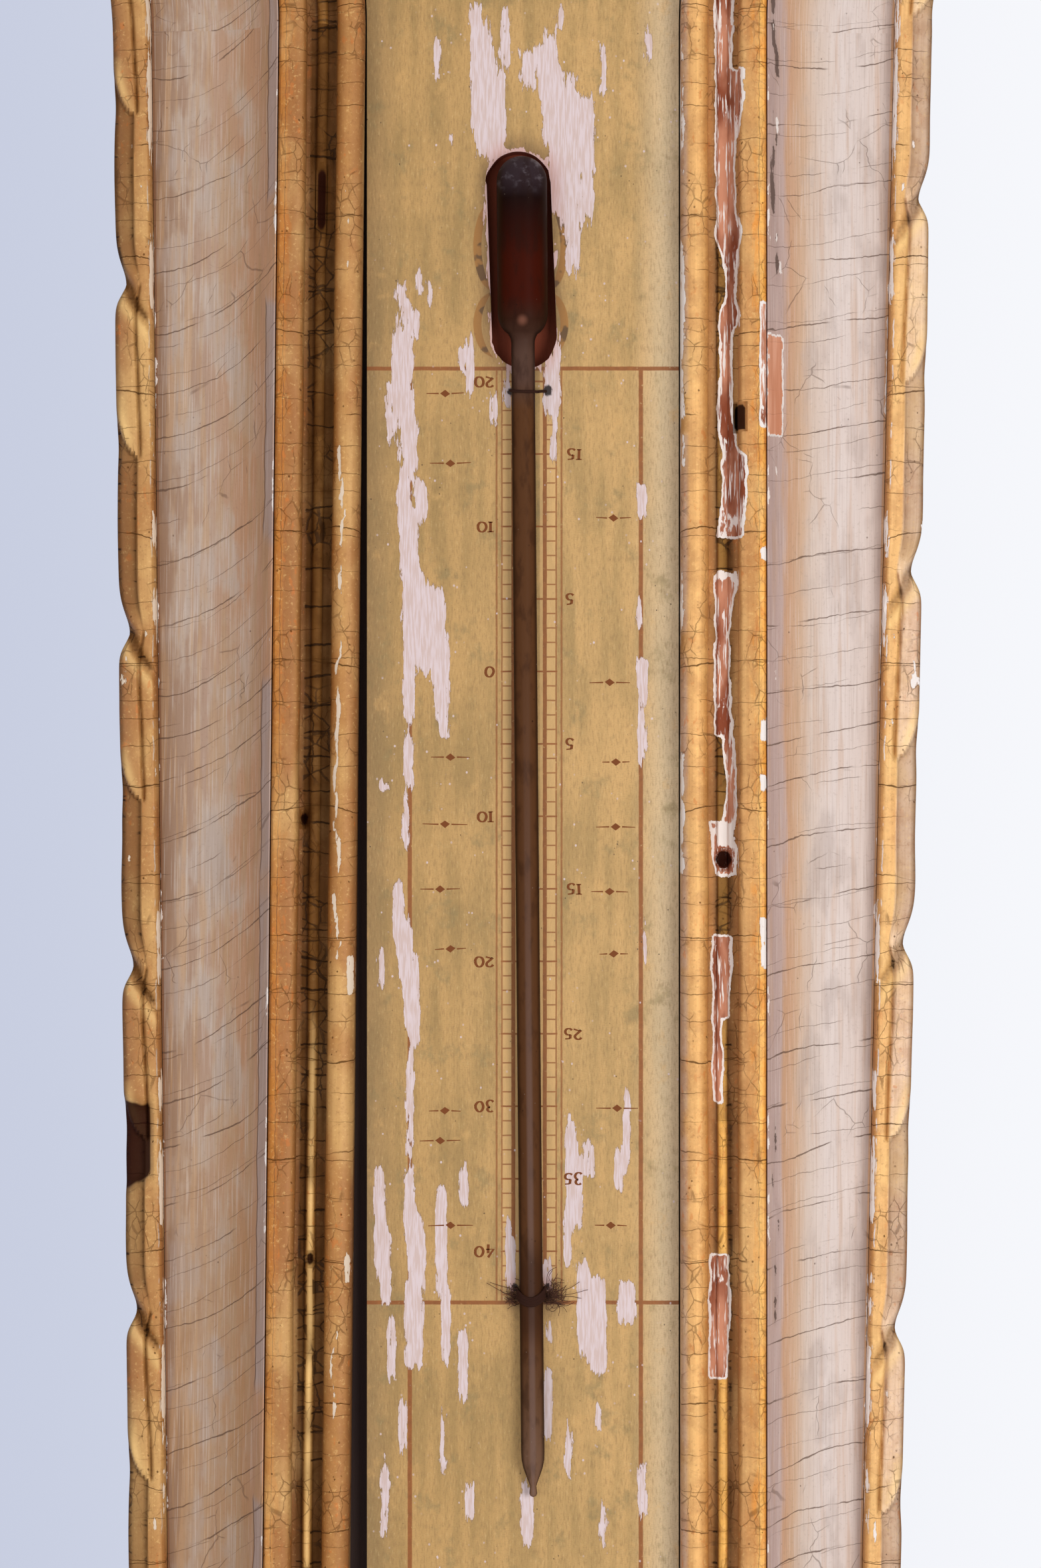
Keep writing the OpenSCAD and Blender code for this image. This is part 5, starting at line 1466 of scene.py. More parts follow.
    def holes(self, s: np.ndarray, t: np.ndarray, side: int) -> np.ndarray:
        """Deep damage: a hole through the groove on the left and a knot on the right.

        Args:
            s: millimetres along.
            t: millimetres across, from the opening.
            side: 1 on the right, -1 on the left and 0 at the top.

        Returns:
            Damage from 0 to 1.
        """
        if side < 0:
            at, across, size = self.deep_hole
            deep = ridge(np.hypot(s - at, t - across), 0.0, size, 4)
            return deep + along_stretches(s, self.side_hole, 0.8) * ridge(t, 11.9, 0.95, 6)
        spots = sum(ridge(s, at, size) * ridge(t, across, 0.85) for at, across, size in self.knots)
        return np.clip(spots + along_stretches(s, self.slit, 3.0) * ridge(t, 8.3, 1.0), 0, 1)

    def build(self, name: str, at: Stations, side: int) -> None:
        """Sweep the section along the stations.

        Args:
            name: the object's name.
            at: the stations that it follows.
            side: 1 on the right, -1 on the left and 0 at the top.
        """
        t, h = (np.tile(v, (len(at.points), 1)) for v in self.section().T)
        s = at.along[:, None] + 0 * t
        wear = self.left_wear(s, t) if side < 0 else self.right_wear(s, t)
        hole = self.holes(s, t, side)
        top = (h > 20.5).astype(float)
        h = h + top * (0.13 * value_noise(s / 9, t / 3, 3) + 0.05 * value_noise(s / 2.5, t / 1.5, 4))
        gone = np.maximum(smooth((wear - 0.4) / 0.2), (side < 0) * (s < self.bead_from))
        h = h - ridge(t, 8.4, 0.9) * gone * (h > self.floor + 0.1)
        h = h - 3.0 * hole * top
        inner = (t > 0.3) & (t < OUTLINE.sight_w - 0.3)
        t_place = t + inner * 0.10 * value_noise(s / 14, t / 4, 8)
        # Painted highlight along the crown of the small bead where it is burnished, on the right side and the
        # arch.
        bright = ridge(t, 8.4, 0.6) * along_stretches(s, self.burnished, 20.0) * (side >= 0)
        dark = self.dark(s, t, side)
        values = {"s": s, "t": t, "wear": wear, "dark": dark, "hole": hole, "bright": bright}
        Surface(name, sweep(at, t_place, h), values).build(Finish.SIGHT_GILT, [name], "gilding")


def sweep(at: Stations, t: np.ndarray, h: np.ndarray) -> np.ndarray:
    """Rings of points: t away from the opening and h above the wall at every station."""
    return with_height(at.points[:, None, :] + at.outward[:, None, :] * t[:, :, None], h)


@dataclass(frozen=True)
class Cove:
    """The painted hollow between the astragal and the carved edge."""

    radius: float = 19.0
    floor: float = 13.0
    back: float = 2.0
    hook: float = 24.3
    bare_patch: tuple = ((362.0, 382.5, 1.05),)
    chips: tuple = ((296, 302, 0.8), (306, 310, 0.7), (318, 322, 0.7), (341, 350, 0.66),
                    (384, 392, 0.5), (428, 436, 0.5))
    cracked: tuple = ((270, 352, 1.0), (384, 400, 0.7), (515, 560, 0.7))

    def height(self, t: np.ndarray) -> np.ndarray:
        """Height of the hollow at a distance from the opening."""
        d = np.clip(self.radius - (t - OUTLINE.sight_w), 0.0, self.radius - 0.5)
        return self.floor + self.radius - np.sqrt(self.radius ** 2 - d ** 2)

    def widths(self, at: Stations, side: int, part: str) -> np.ndarray:
        """Distance from the opening to the cove's outer side at every station.

        Args:
            at: the stations that it follows.
            side: 1 on the right and -1 on the left.
            part: lower, neck or arch.

        Returns:
            Distances in millimetres.
        """
        o = OUTLINE
        if part == "neck":
            y = at.points[:, 1] - o.neck_low
            edge = o.sight_half + o.cove_out - y * math.tan(o.lean(side))
            return (edge - np.abs(at.points[:, 0])) / np.abs(at.outward[:, 0])
        if part == "arch":
            return np.full(len(at.points), o.edge_arch_r - o.arch_r)
        return np.full(len(at.points), o.cove_out)

    def build(self, name: str, at: Stations, side: int, part: str) -> None:
        """Sweep the hollow along the stations.

        Args:
            name: the object's name.
            at: the stations that it follows.
            side: 1 on the right and -1 on the left.
            part: lower, neck or arch.
        """
        o = OUTLINE
        out = self.widths(at, side, part)[:, None]
        u = np.concatenate([np.linspace(0, 1, 9) ** 1.6 * 0.25, np.linspace(0.25, 1, 20)[1:]])[None, :]
        t_top = o.sight_w + 0.1 + u * (out - o.sight_w - 0.1)
        s_top = at.along[:, None] + 0 * t_top
        h_top = self.height(t_top) + 0.10 * value_noise(s_top / 16, t_top / 6, 31) * (u > 0.02) * (u < 0.98)
        back_h = np.full((len(at.points), 1), PLANK_H + 0.05 if part == "arch" else self.back)
        hook = np.minimum(self.hook, out - 1.0)
        t = np.hstack([t_top, out, hook, hook, 0 * out + o.sight_w + 0.1])
        h = np.hstack([h_top, back_h, back_h, 0 * out + PLANK_H, 0 * out + PLANK_H])
        s = at.along[:, None] + 0 * t
        q = (t - o.sight_w) / (out - o.sight_w)
        t = t - o.sight_w
        values = {"s": s, "t": t, "q": q, "wear": self.wear(s, t, out - o.sight_w, side),
                  "lean": self.lean(t, side), "dark": self.dark(s, t, side)}
        Surface(name, sweep(at, t + o.sight_w, h), values).build(Finish.COVE_PAINT, [name], "cream_paint")

    def lean(self, t: np.ndarray, side: int) -> np.ndarray:
        """How far the cracks climb across the cove; on both sides they climb towards the left.

        Args:
            t: millimetres across, from the astragal.
            side: 1 on the right and -1 on the left.

        Returns:
            The shift along.
        """
        if side > 0:
            return 0.019 * np.clip(OUTLINE.cove_w - t, 0, None) ** 2
        return 0.17 * t

    def wear(self, s: np.ndarray, t: np.ndarray, width: np.ndarray, side: int) -> np.ndarray:
        """Chips at the astragal and at the carved edge, and a bare patch on the left side.

        Args:
            s: millimetres along.
            t: millimetres across, from the astragal.
            width: the cove's width.
            side: 1 on the right and -1 on the left.

        Returns:
            Losses from 0 to 1.
        """
        seam = ridge(t, 0.3, 0.7) * np.clip(0.26 + 0.35 * drift(s, 9, 44), 0, 0.6)
        rim = ridge(width - t, 0.1, 0.6) * np.clip(0.30 + 0.35 * drift(s, 15, 47), 0, 0.6)
        if side < 0:
            patch = along_stretches(s, self.bare_patch, 2.0) * ridge(t, 1.8, 2.1, 6)
            chips = along_stretches(s, self.chips, 2.0) * ridge(t, self.crack_at(s) + 0.5, 0.55)
            return np.maximum.reduce([seam, rim, patch, chips])
        return np.maximum(seam, rim)

    def dark(self, s: np.ndarray, t: np.ndarray, side: int) -> np.ndarray:
        """Open cracks along the astragal.

        Args:
            s: millimetres along.
            t: millimetres across, from the astragal.
            side: 1 on the right and -1 on the left.

        Returns:
            Dirt from 0 to 1.
        """
        if side > 0:
            return 0.3 * ridge(t, 0.0, 0.5)
        open_crack = along_stretches(s, self.cracked, 2.0) * (0.75 + 0.5 * drift(s, 3, 50))
        return np.clip(open_crack * ridge(t, self.crack_at(s), 0.55), 0, 1) + 0.2 * ridge(t, 0.0, 0.5)

    def crack_at(self, s: np.ndarray) -> np.ndarray:
        """Where the crack along the astragal runs, from the astragal."""
        return 2.0 + 0.9 * drift(s, 7, 49)


@dataclass(frozen=True)
class Ribbon:
    """The wound ribbon carved on the edge: pitch and first fold, by length from the foot."""

    side: int
    first: float
    turn: float
    top: float = 18.0
    back: float = 5.0

    def place(self, s: np.ndarray) -> tuple:
        """Points on the edge's inner side and outward directions, on the right half or mirrored.

        Args:
            s: millimetres along.

        Returns:
            Points and directions.
        """
        o = OUTLINE
        ring, flare, neck, _ = o.runs
        ring_r, flare_r, arch_r = o.dial_sight_r + o.edge_in, o.flare_r - o.edge_in, o.edge_arch_r + 0.1
        on_ring = -math.pi / 2 + s / ring_r
        on_flare = math.pi + o.flare_angle - (s - ring) / flare_r
        climb = (s - ring - flare) / neck * o.neck_l
        on_arch = (s - ring - flare - neck) / arch_r
        side_x = o.sight_half + o.edge_in - climb * math.tan(o.lean(self.side))
        lengths = [polar(ring_r, on_ring), polar(flare_r, on_flare, (o.flare_x, o.neck_low)),
                   np.stack([side_x, o.neck_low + climb], axis=-1)]
        here = [s <= ring, s <= ring + flare, s <= ring + flare + neck]
        points = np.select([k[..., None] for k in here], lengths,
                           polar(arch_r, on_arch, (self.side * o.edge_arch_x, o.neck_top)))
        return points, polar(1.0, np.select(here, [on_ring, on_flare - math.pi, 0 * s], on_arch))

    def relief(self, s: np.ndarray, q: np.ndarray) -> tuple:
        """Carving at a length s and a share q of the width, 0 at the cove and 1 outside.

        Args:
            s: length from the foot.
            q: share of the width.

        Returns:
            Height below the top, width of the edge, darkness, mostly painted shade, and painted highlight.
        """
        shift = 1.2 * drift(s, 60, 60 + self.side)
        f = (s + shift - self.first) / self.turn
        f = f - np.floor(f)
        since = np.where(f > 0.72, f - 1.0, f) * self.turn
        past_tip = (f - 0.5) * self.turn
        groove = 0.47 - 0.10 * smooth((f - 0.1) / 0.36) * (f < 0.5) + 0.02 * drift(s, 9, 70)
        groove = np.where(f >= 0.5, 0.44 + 0.04 * (f - 0.5) * 2, groove)
        inside = q < groove
        share_in = np.clip(q / groove, 0, 1)
        share_out = np.clip((q - groove) / (1 - groove), 0, 1)
        line = ridge(q, groove, 0.045)
        drop = 0.75 * line * (past_tip < 0) + np.where(inside, 0.9 * np.abs(share_in - 0.55) ** 2.2, 0)
        drop += 0.7 * np.clip((0.10 - q) / 0.10, 0, 1)
        fall = 5.0 * np.clip(share_out - 0.72, 0, 1) ** 1.6
        drop += np.where(inside, 0, 0.25 + 0.5 * (share_out - 0.35) ** 2 + fall)
        climb = 9.2 * (1.0 - q) - 1.0
        d = since - climb
        taper = 0.35 + 0.65 * q
        before, after = ridge(d, -0.1, 2.4 * taper) * (d < 0), ridge(d, 0.9, 0.9) * (d >= 0.9)
        fold = np.maximum.reduce([before, after, (d >= 0) & (d < 0.9)])
        drop += 2.0 * fold * taper
        reach = 12.0
        ahead = np.clip((past_tip + reach) / reach, 0, 1)
        tip_q = groove + (1.0 - groove) * np.sqrt(np.clip(1 - ahead ** 2, 0, 1))
        near_tip = (past_tip < 0) & (past_tip > -reach)
        under = near_tip * smooth((q - tip_q) / 0.05) + (past_tip >= 0) * smooth((q - groove) / 0.05)
        under = under * (1 - smooth((since + 7.0) / 7.0) * (since < 0))
        drop += 1.4 * under
        pinch = ridge(since, 0.0, np.where(since < 0, 5.5, 3.2))
        width = OUTLINE.edge_w - 2.1 * pinch - 0.25 * ridge(past_tip, -2.0, 4.0)
        width = width + 0.16 * drift(s, 12, 73)
        drop += 0.12 * value_noise(s / 6, q * 4, 80) + 0.05 * value_noise(s / 1.8, q * 10, 81)
        # Painted shade, with thinner gilding in the fold bands: dark in the fold bands, in the crease between
        # the strands, on the lower layer and at its step, and on the outer flank; less of it on the left
        # side.
        band = ridge(d, 0.1, 0.6 + 1.1 * q, 4) * smooth((q - 0.08) / 0.1)
        step = under * np.exp(-np.clip(q - np.where(near_tip, tip_q, groove), 0, 1) / 0.10)
        flank = smooth((q - 0.86) / 0.12)
        dark = 0.95 * band + 0.6 * line * (past_tip < 0) + 0.42 * under + 0.5 * step + 0.45 * flank
        dark = dark * (1.0 if self.side > 0 else 0.6)
        # Painted highlights on the leaf tips and where each strand starts.
        tip = ridge(past_tip, -6.0, 5.0) * ridge(q, tip_q - 0.12, 0.14) * near_tip
        start = ridge(d, 3.6, 1.8) * smooth((q - 0.06) / 0.1)
        bright = np.clip(0.8 * tip + 0.7 * start, 0, 1) * (1 - under)
        return drop, width, np.clip(dark, 0, 1), bright

    def rings(self, s: np.ndarray) -> tuple:
        """Rings of the edge's section at lengths s, with their values.

        Args:
            s: millimetres along.

        Returns:
            The rings and their values.
        """
        q = np.linspace(0.0, 1.0, 30)[None, :]
        ss = s[:, None] + 0 * q
        drop, width, dark, bright = self.relief(ss, q + 0 * ss)
        hole = self.damage(ss, q + 0 * ss)
        drop = drop + 2.2 * hole
        points, outward = self.place(ss)
        t_top = q * width
        h_top = self.top - drop
        low = np.maximum(h_top[:, -1:] - 0.4, self.back + 3.0)
        w = width[:, :1]
        t = np.hstack([t_top, w, w - 0.1, w - 0.9, 0 * w, 0 * w])
        h = np.hstack([h_top, low, 0 * w + self.back + [1.0, 0.0, 0.0, 5.0]])
        point, away = (np.hstack([v, np.repeat(v[:, :1], 5, axis=1)]) for v in (points, outward))
        rings = with_height(point + away * t[:, :, None], h)
        if self.side < 0:
            rings[..., 0] *= -1
        pad = np.ones((len(s), 5))
        values = {"s": s[:, None] + 0 * t, "q": np.hstack([q + 0 * ss, pad * [1, 1, 1, 0, 0]]),
                  "dark": np.hstack([dark, 0.5 * pad]), "wear": self.wear(s[:, None] + 0 * t, t),
                  "bright": np.hstack([bright, 0 * pad]), "hole": np.hstack([hole, 0 * pad])}
        return rings, values

    def damage(self, s: np.ndarray, q: np.ndarray) -> np.ndarray:
        """A burnt hollow on the right side.

        Args:
            s: millimetres along.
            q: share of the width, 0 at the cove and 1 outside.

        Returns:
            Depth from 0 to 1.
        """
        if self.side < 0:
            return 0 * q
        low = 570.0 + 1.2 * value_noise(q * 4, 0 * s, 93)
        high = 589.0 + 1.5 * value_noise(q * 3, 0 * s, 94)
        length = smooth((s - low) / 3.0) * smooth((high - s) / 3.5)
        return 0.9 * length * smooth((q - 0.15) / 0.3)

    def wear(self, s: np.ndarray, t: np.ndarray) -> np.ndarray:
        """Chips along the inner rim and here and there on the strands.

        Args:
            s: millimetres along.
            t: millimetres across, from the cove.

        Returns:
            Losses from 0 to 1.
        """
        rim = ridge(t, 0.2, 0.45) * np.clip(0.36 + 0.42 * drift(s, 8, 90), 0, 0.7)
        bruised = np.clip(0.9 * drift(s, 13, 92) - 0.25, 0, 0.7) * (self.side < 0)
        outer = ridge(t, OUTLINE.edge_w, 0.6) * bruised
        spots = np.clip(value_noise(s / 9, t / 2, 91) - 0.55, 0, 1) * 1.1
        return np.maximum.reduce([rim, outer, spots])


@dataclass(frozen=True)
class CarvedEdge:
    """The gilt edge: a ribbon wound round a rod, on both sides, round the foot and over the arch."""

    right: Ribbon = Ribbon(1, 62.5, 68.9)
    left: Ribbon = Ribbon(-1, 11.9, 75.5)

    def length(self, name: str, ribbon: Ribbon, s0: float, s1: float) -> None:
        """One side of the neck."""
        rings, values = ribbon.rings(np.linspace(s0, s1, int((s1 - s0) / 0.75)))
        Surface(name, rings, values).build(Finish.EDGE_GILT, [name], "gilding", 55)

    def joined(self, name: str, s0: float, s1: float, left_first: bool) -> None:
        """The two halves that meet in the middle, as one piece.

        Args:
            name: the object's name.
            s0: length at the start.
            s1: length at the end.
            left_first: whether the left half comes first.
        """
        def meet(right: np.ndarray, left: np.ndarray) -> np.ndarray:
            """Put two halves together at the ring that they share."""
            a, b = (left[::-1], right) if left_first else (right, left[::-1])
            return np.concatenate([a[:-1], (a[-1:] + b[:1]) / 2, b[1:]])

        s = np.linspace(s0, s1, int((s1 - s0) / 0.9))
        right, values = self.right.rings(s)
        left, left_values = self.left.rings(s)
        both = meet(right, left)
        merged = {key: meet(value, left_values[key]) for key, value in values.items()}
        if not left_first:
            tongue = (np.abs(both[..., 0]) < 36.0) & (both[..., 1] > OUTLINE.neck_top + 4)
            both[..., 2] = np.where(tongue, np.maximum(both[..., 2], 15.05), both[..., 2])
        Surface(name, both, merged).build(Finish.EDGE_GILT, [name], "gilding", 55)

    def build(self) -> None:
        """Make the four pieces."""
        ring, flare, neck, arch = OUTLINE.runs
        low = ring + flare
        self.length("carved_edge_right", self.right, low, low + neck)
        self.length("carved_edge_left", self.left, low, low + neck)
        self.joined("carved_edge_lower", 0.0, low, True)
        self.joined("carved_edge_top", low + neck, low + neck + arch, False)


@dataclass(frozen=True)
class PaintLoss:
    """A run of lost paint on the board, along the grain.

    Attributes:
        x: its middle, in millimetres to the right.
        low: its lower end, in millimetres above the dial's centre.
        high: its upper end.
        width: its width.
        share: how much of it is gone; 1 is bare all over and 0.5 is half flaked.
    """

    x: float
    low: float
    high: float
    width: float
    share: float

    def cover(self, x: np.ndarray, y: np.ndarray) -> np.ndarray:
        """Share lost at each point.

        Args:
            x: millimetres right of the dial's centre.
            y: millimetres above it.

        Returns:
            Losses from 0 to 1.
        """
        middle, half = (self.low + self.high) / 2, (self.high - self.low) / 2
        across = np.abs((x - self.x) / (self.width / 2 + 0.35))
        along = np.abs((y - middle) / half)
        return self.share * np.exp(-0.6 * across ** 4 - 0.6 * along ** 4)


LOST_RUNS = {
    "below the pocket": (
        (8.2, 136, 163, 3.6, 0.95), (5.2, 144, 166, 3.2, 0.85), (9.6, 131, 148, 2.2, 0.75),
        (3.6, 132, 147, 1.8, 0.7), (-1.6, 140, 151, 4.6, 0.66), (-5.4, 138, 162, 2.8, 0.85),
        (-8.4, 148, 176, 5.6, 1.0), (-12.4, 150, 168, 3.6, 0.85), (-13.2, 160, 178, 2.2, 0.75),
        (-10.0, 168, 188, 3.0, 0.75), (17.3, 139, 149, 1.3, 0.8), (-16.2, 140, 151, 1.2, 0.8),
        (-25.2, 137, 145, 1.0, 0.7), (-7.6, 132, 138, 1.2, 0.7), (14.2, 158, 163, 1.0, 0.6),
        (9.5, 92, 124, 3.4, 0.8), (-6.0, 100, 128, 3.6, 0.8), (24.0, 90, 126, 2.6, 0.6),
        (-24.0, 92, 120, 2.4, 0.6), (-33.0, 78, 96, 2.4, 0.65), (31.0, 80, 100, 2.0, 0.6),
    ),
    "right side": (
        (24.4, 188, 198, 3.0, 0.62), (24.2, 197, 219, 3.8, 0.85), (26.4, 208, 222, 2.4, 0.66),
        (22.8, 213, 230, 3.0, 0.80), (24.0, 226, 240, 2.4, 0.85), (22.8, 234, 250, 3.0, 0.92),
        (20.2, 228, 238, 2.0, 0.8), (21.8, 246, 264, 4.2, 0.97), (18.6, 250, 267, 5.2, 1.0),
        (16.4, 258, 277, 2.4, 0.92), (23.0, 262, 277, 2.0, 0.88), (15.8, 274, 281, 1.2, 0.75),
        (20.8, 185, 192, 1.2, 0.8), (18.6, 189, 195, 1.1, 0.75), (21.6, 193, 201, 1.2, 0.75),
        (10.6, 199, 212, 1.2, 0.85), (12.4, 201, 206, 1.8, 0.7), (5.9, 210, 218, 1.1, 0.7),
        (23.1, 279, 291, 1.6, 0.85), (27.9, 288, 291, 1.4, 1.0), (23.6, 292, 303, 1.2, 0.85),
        (24.8, 309, 322, 1.8, 0.92), (23.6, 317, 329, 2.2, 0.95), (22.4, 324, 339, 2.4, 0.95),
        (21.6, 332, 342, 1.4, 0.9), (22.6, 340, 366, 1.2, 0.75), (28.4, 322, 331, 1.2, 0.8),
        (28.7, 366, 388, 2.0, 0.85), (27.4, 378, 395, 1.8, 0.8), (22.8, 366, 384, 1.8, 0.88),
        (21.2, 376, 393, 2.6, 0.9), (21.8, 388, 407, 3.2, 0.9), (16.4, 370, 392, 1.8, 0.88),
        (11.8, 365, 375, 1.2, 0.88), (15.4, 388, 406, 1.6, 0.8), (26.4, 396, 410, 1.2, 0.75),
        (12.0, 399, 414, 1.3, 0.85), (10.6, 429, 438, 1.3, 0.8), (27.8, 422, 442, 1.4, 0.7),
        (16.0, 414, 430, 1.2, 0.7), (24.2, 412, 424, 1.4, 0.75), (2.8, 376, 388, 1.1, 0.92),
        (17.0, 446, 470, 2.4, 0.75), (23.0, 470, 505, 2.4, 0.75), (9.0, 500, 530, 2.0, 0.7),
    ),
    "left side": (
        (-23.8, 229, 236, 1.2, 1.0), (-23.4, 252, 259, 1.1, 0.8), (-24.1, 264, 273, 1.4, 1.0),
        (-23.8, 274, 286, 1.1, 0.85), (-24.4, 316, 326, 1.0, 0.65), (-9.6, 356, 374, 1.8, 0.95),
        (-10.7, 364, 379, 2.2, 0.92), (-9.0, 373, 387, 1.4, 0.9), (-13.4, 360, 369, 1.6, 0.75),
        (-20.9, 350, 367, 1.2, 0.88), (-19.4, 362, 372, 1.6, 0.8), (-13.8, 388, 404, 4.8, 1.0),
        (-15.2, 396, 408, 2.8, 0.92), (-20.9, 389, 398, 3.2, 0.85), (-12.0, 385, 393, 2.2, 0.88),
        (-5.2, 406, 421, 1.6, 0.88), (-15.0, 413, 420, 1.2, 0.8), (-0.8, 429, 443, 2.0, 0.88),
        (-9.1, 417, 429, 1.4, 0.8), (-24.0, 425, 437, 1.3, 0.75), (-16.2, 433, 444, 1.6, 0.7),
        (-6.8, 206, 216, 1.1, 0.75), (-6.2, 214, 226, 0.9, 0.7), (-19.0, 452, 486, 2.6, 0.8),
        (-6.0, 470, 500, 2.2, 0.75), (-26.0, 500, 540, 2.4, 0.75), (-14.0, 540, 580, 2.6, 0.7),
    ),
    "round the ties": (
        (3.2, 207, 214, 1.3, 0.72), (-5.2, 204, 216, 1.8, 0.74), (-6.8, 198, 214, 1.4, 0.72),
        (2.3, 380, 392, 1.4, 0.78), (-5.0, 384, 392, 1.2, 0.74), (-5.2, 396, 402, 1.0, 0.75),
    ),
}
LOSSES = [PaintLoss(*run) for runs in LOST_RUNS.values() for run in runs]


def lost_paint(x: np.ndarray, y: np.ndarray) -> np.ndarray:
    """Share of the board's paint lost at each point."""
    return np.maximum.reduce([run.cover(x, y) for run in LOSSES])


@dataclass(frozen=True)
class ScaleBoard:
    """The painted board with its pocket and losses of paint."""

    thick: tuple = (PLANK_H, BOARD_H)
    grid: tuple = (1.2, 2.5)
    pocket_r: float = 6.5
    pocket_l: float = 43.7
    pocket_tilt: float = math.radians(2.3)
    pocket_foot: tuple = (0.95, 168.9)

    def outline(self) -> np.ndarray:
        """Outer points of the board, from the flare on the right round to the left."""
        o = OUTLINE
        half, rim, turn = o.sight_half - 0.3, o.dial_sight_r + 0.1, o.flare_angle + math.radians(13.6)
        tip = polar(rim, turn)
        bend = np.linspace(math.pi + o.flare_angle, math.pi, 26)
        flare = polar(o.flare_r + 0.3, bend, (o.flare_x, o.neck_low))
        right = np.vstack([[tip], flare[flare[:, 1] > tip[1]]])
        head = polar(half, np.linspace(0, math.pi, 49), (0.0, o.neck_top))
        dial = polar(rim, np.linspace(math.pi - turn, turn, 40)[1:-1])
        return np.vstack([right, head, right[::-1] * [-1, 1], dial])

    def pocket(self) -> np.ndarray:
        """Points round the pocket for the bulb."""
        r, tilt = self.pocket_r, self.pocket_tilt
        foot = polar(r, np.linspace(math.pi, 2 * math.pi, 25))
        head = polar(r, np.linspace(0, math.pi, 25), (0.0, self.pocket_l - 2 * r))
        x, y = np.vstack([foot, head]).T
        x = x * (1 + 0.22 / r * drift(np.arange(len(x)) * 0.7, 1, 5))
        across, up = polar(1.0, tilt), polar(1.0, tilt + math.pi / 2)
        return np.array(self.pocket_foot) + np.outer(x, across) + np.outer(y, up)

    def ragged_rim(self, x: np.ndarray, y: np.ndarray) -> np.ndarray:
        """Paint flaked off along the pocket's rim.

        Args:
            x: millimetres right of the dial's centre.
            y: millimetres above the dial's centre.

        Returns:
            Losses from 0 to 1.
        """
        cx, cy = self.pocket_foot
        along = np.clip(y - cy, 0, self.pocket_l - 2 * self.pocket_r)
        gap = np.hypot(x - cx + along * math.sin(self.pocket_tilt), y - cy - along) - self.pocket_r
        share = 0.50 + 0.34 * value_noise(y / 4, x / 9, 61) + 0.16 * (x > 0)
        return np.clip(share, 0, 0.9) * ridge(gap, 0.0, 1.1)

    def slice(self, bm: "bmesh.types.BMesh", point: Sequence, direction: Sequence) -> None:
        """Cut every face along a plane, so that there are points to keep values on."""
        geom = list(bm.verts) + list(bm.edges) + list(bm.faces)
        bmesh.ops.bisect_plane(bm, geom=geom, plane_co=point, plane_no=direction)

    def soot(self, x: np.ndarray, y: np.ndarray) -> np.ndarray:
        """Brown shadow round the pocket and under the tube and its ties.

        Args:
            x: millimetres right of the dial's centre.
            y: millimetres above the dial's centre.

        Returns:
            Painted shadow from 0 to 1.
        """
        foot, head = 168.0, 200.0
        down = np.clip(foot - y, 0, None) + np.clip(y - head, 0, None)
        pocket = ridge(np.hypot(x - 0.6, down), 0.0, 8.4, 8) * 0.75
        right, left = (np.hypot(x - at, (y - 392.0) * 0.8) for at in (1.2, -4.8))
        return np.maximum(pocket, 1.1 * np.maximum(ridge(right, 0.0, 2.4), ridge(left, 0.0, 2.8)))

    def build(self) -> None:
        """Make the board as a solid with the pocket cut through."""
        bm = bmesh.new()
        edges = []
        for ring in (self.outline(), self.pocket()):
            verts = [bm.verts.new(to_world(np.array([x, y, self.thick[1]]))) for x, y in ring]
            edges += [bm.edges.new((verts[i], verts[(i + 1) % len(verts)])) for i in range(len(verts))]
        bmesh.ops.triangle_fill(bm, use_beauty=True, use_dissolve=False, edges=edges)
        for y in np.arange(75, 605, self.grid[1]):
            self.slice(bm, to_world(np.array([0.0, y, BOARD_H])), (0, 0, 1))
        for x in np.arange(-45, 45, self.grid[0]):
            self.slice(bm, (x * MM, 0, 0), (1, 0, 0))
        obj = solid_sheet("board", bm, self.thick[0] - self.thick[1], Finish.SCALE_PAINT)
        co = points_of(obj.data)
        x, y = co[:, 0] / MM, co[:, 2] / MM + HOOK_DROP
        store(obj.data, "loss", np.maximum(lost_paint(x, y), self.ragged_rim(x, y)))
        store(obj.data, "soot", self.soot(x, y))
        hand_over(obj, ["scale_board"], "scale_paint")


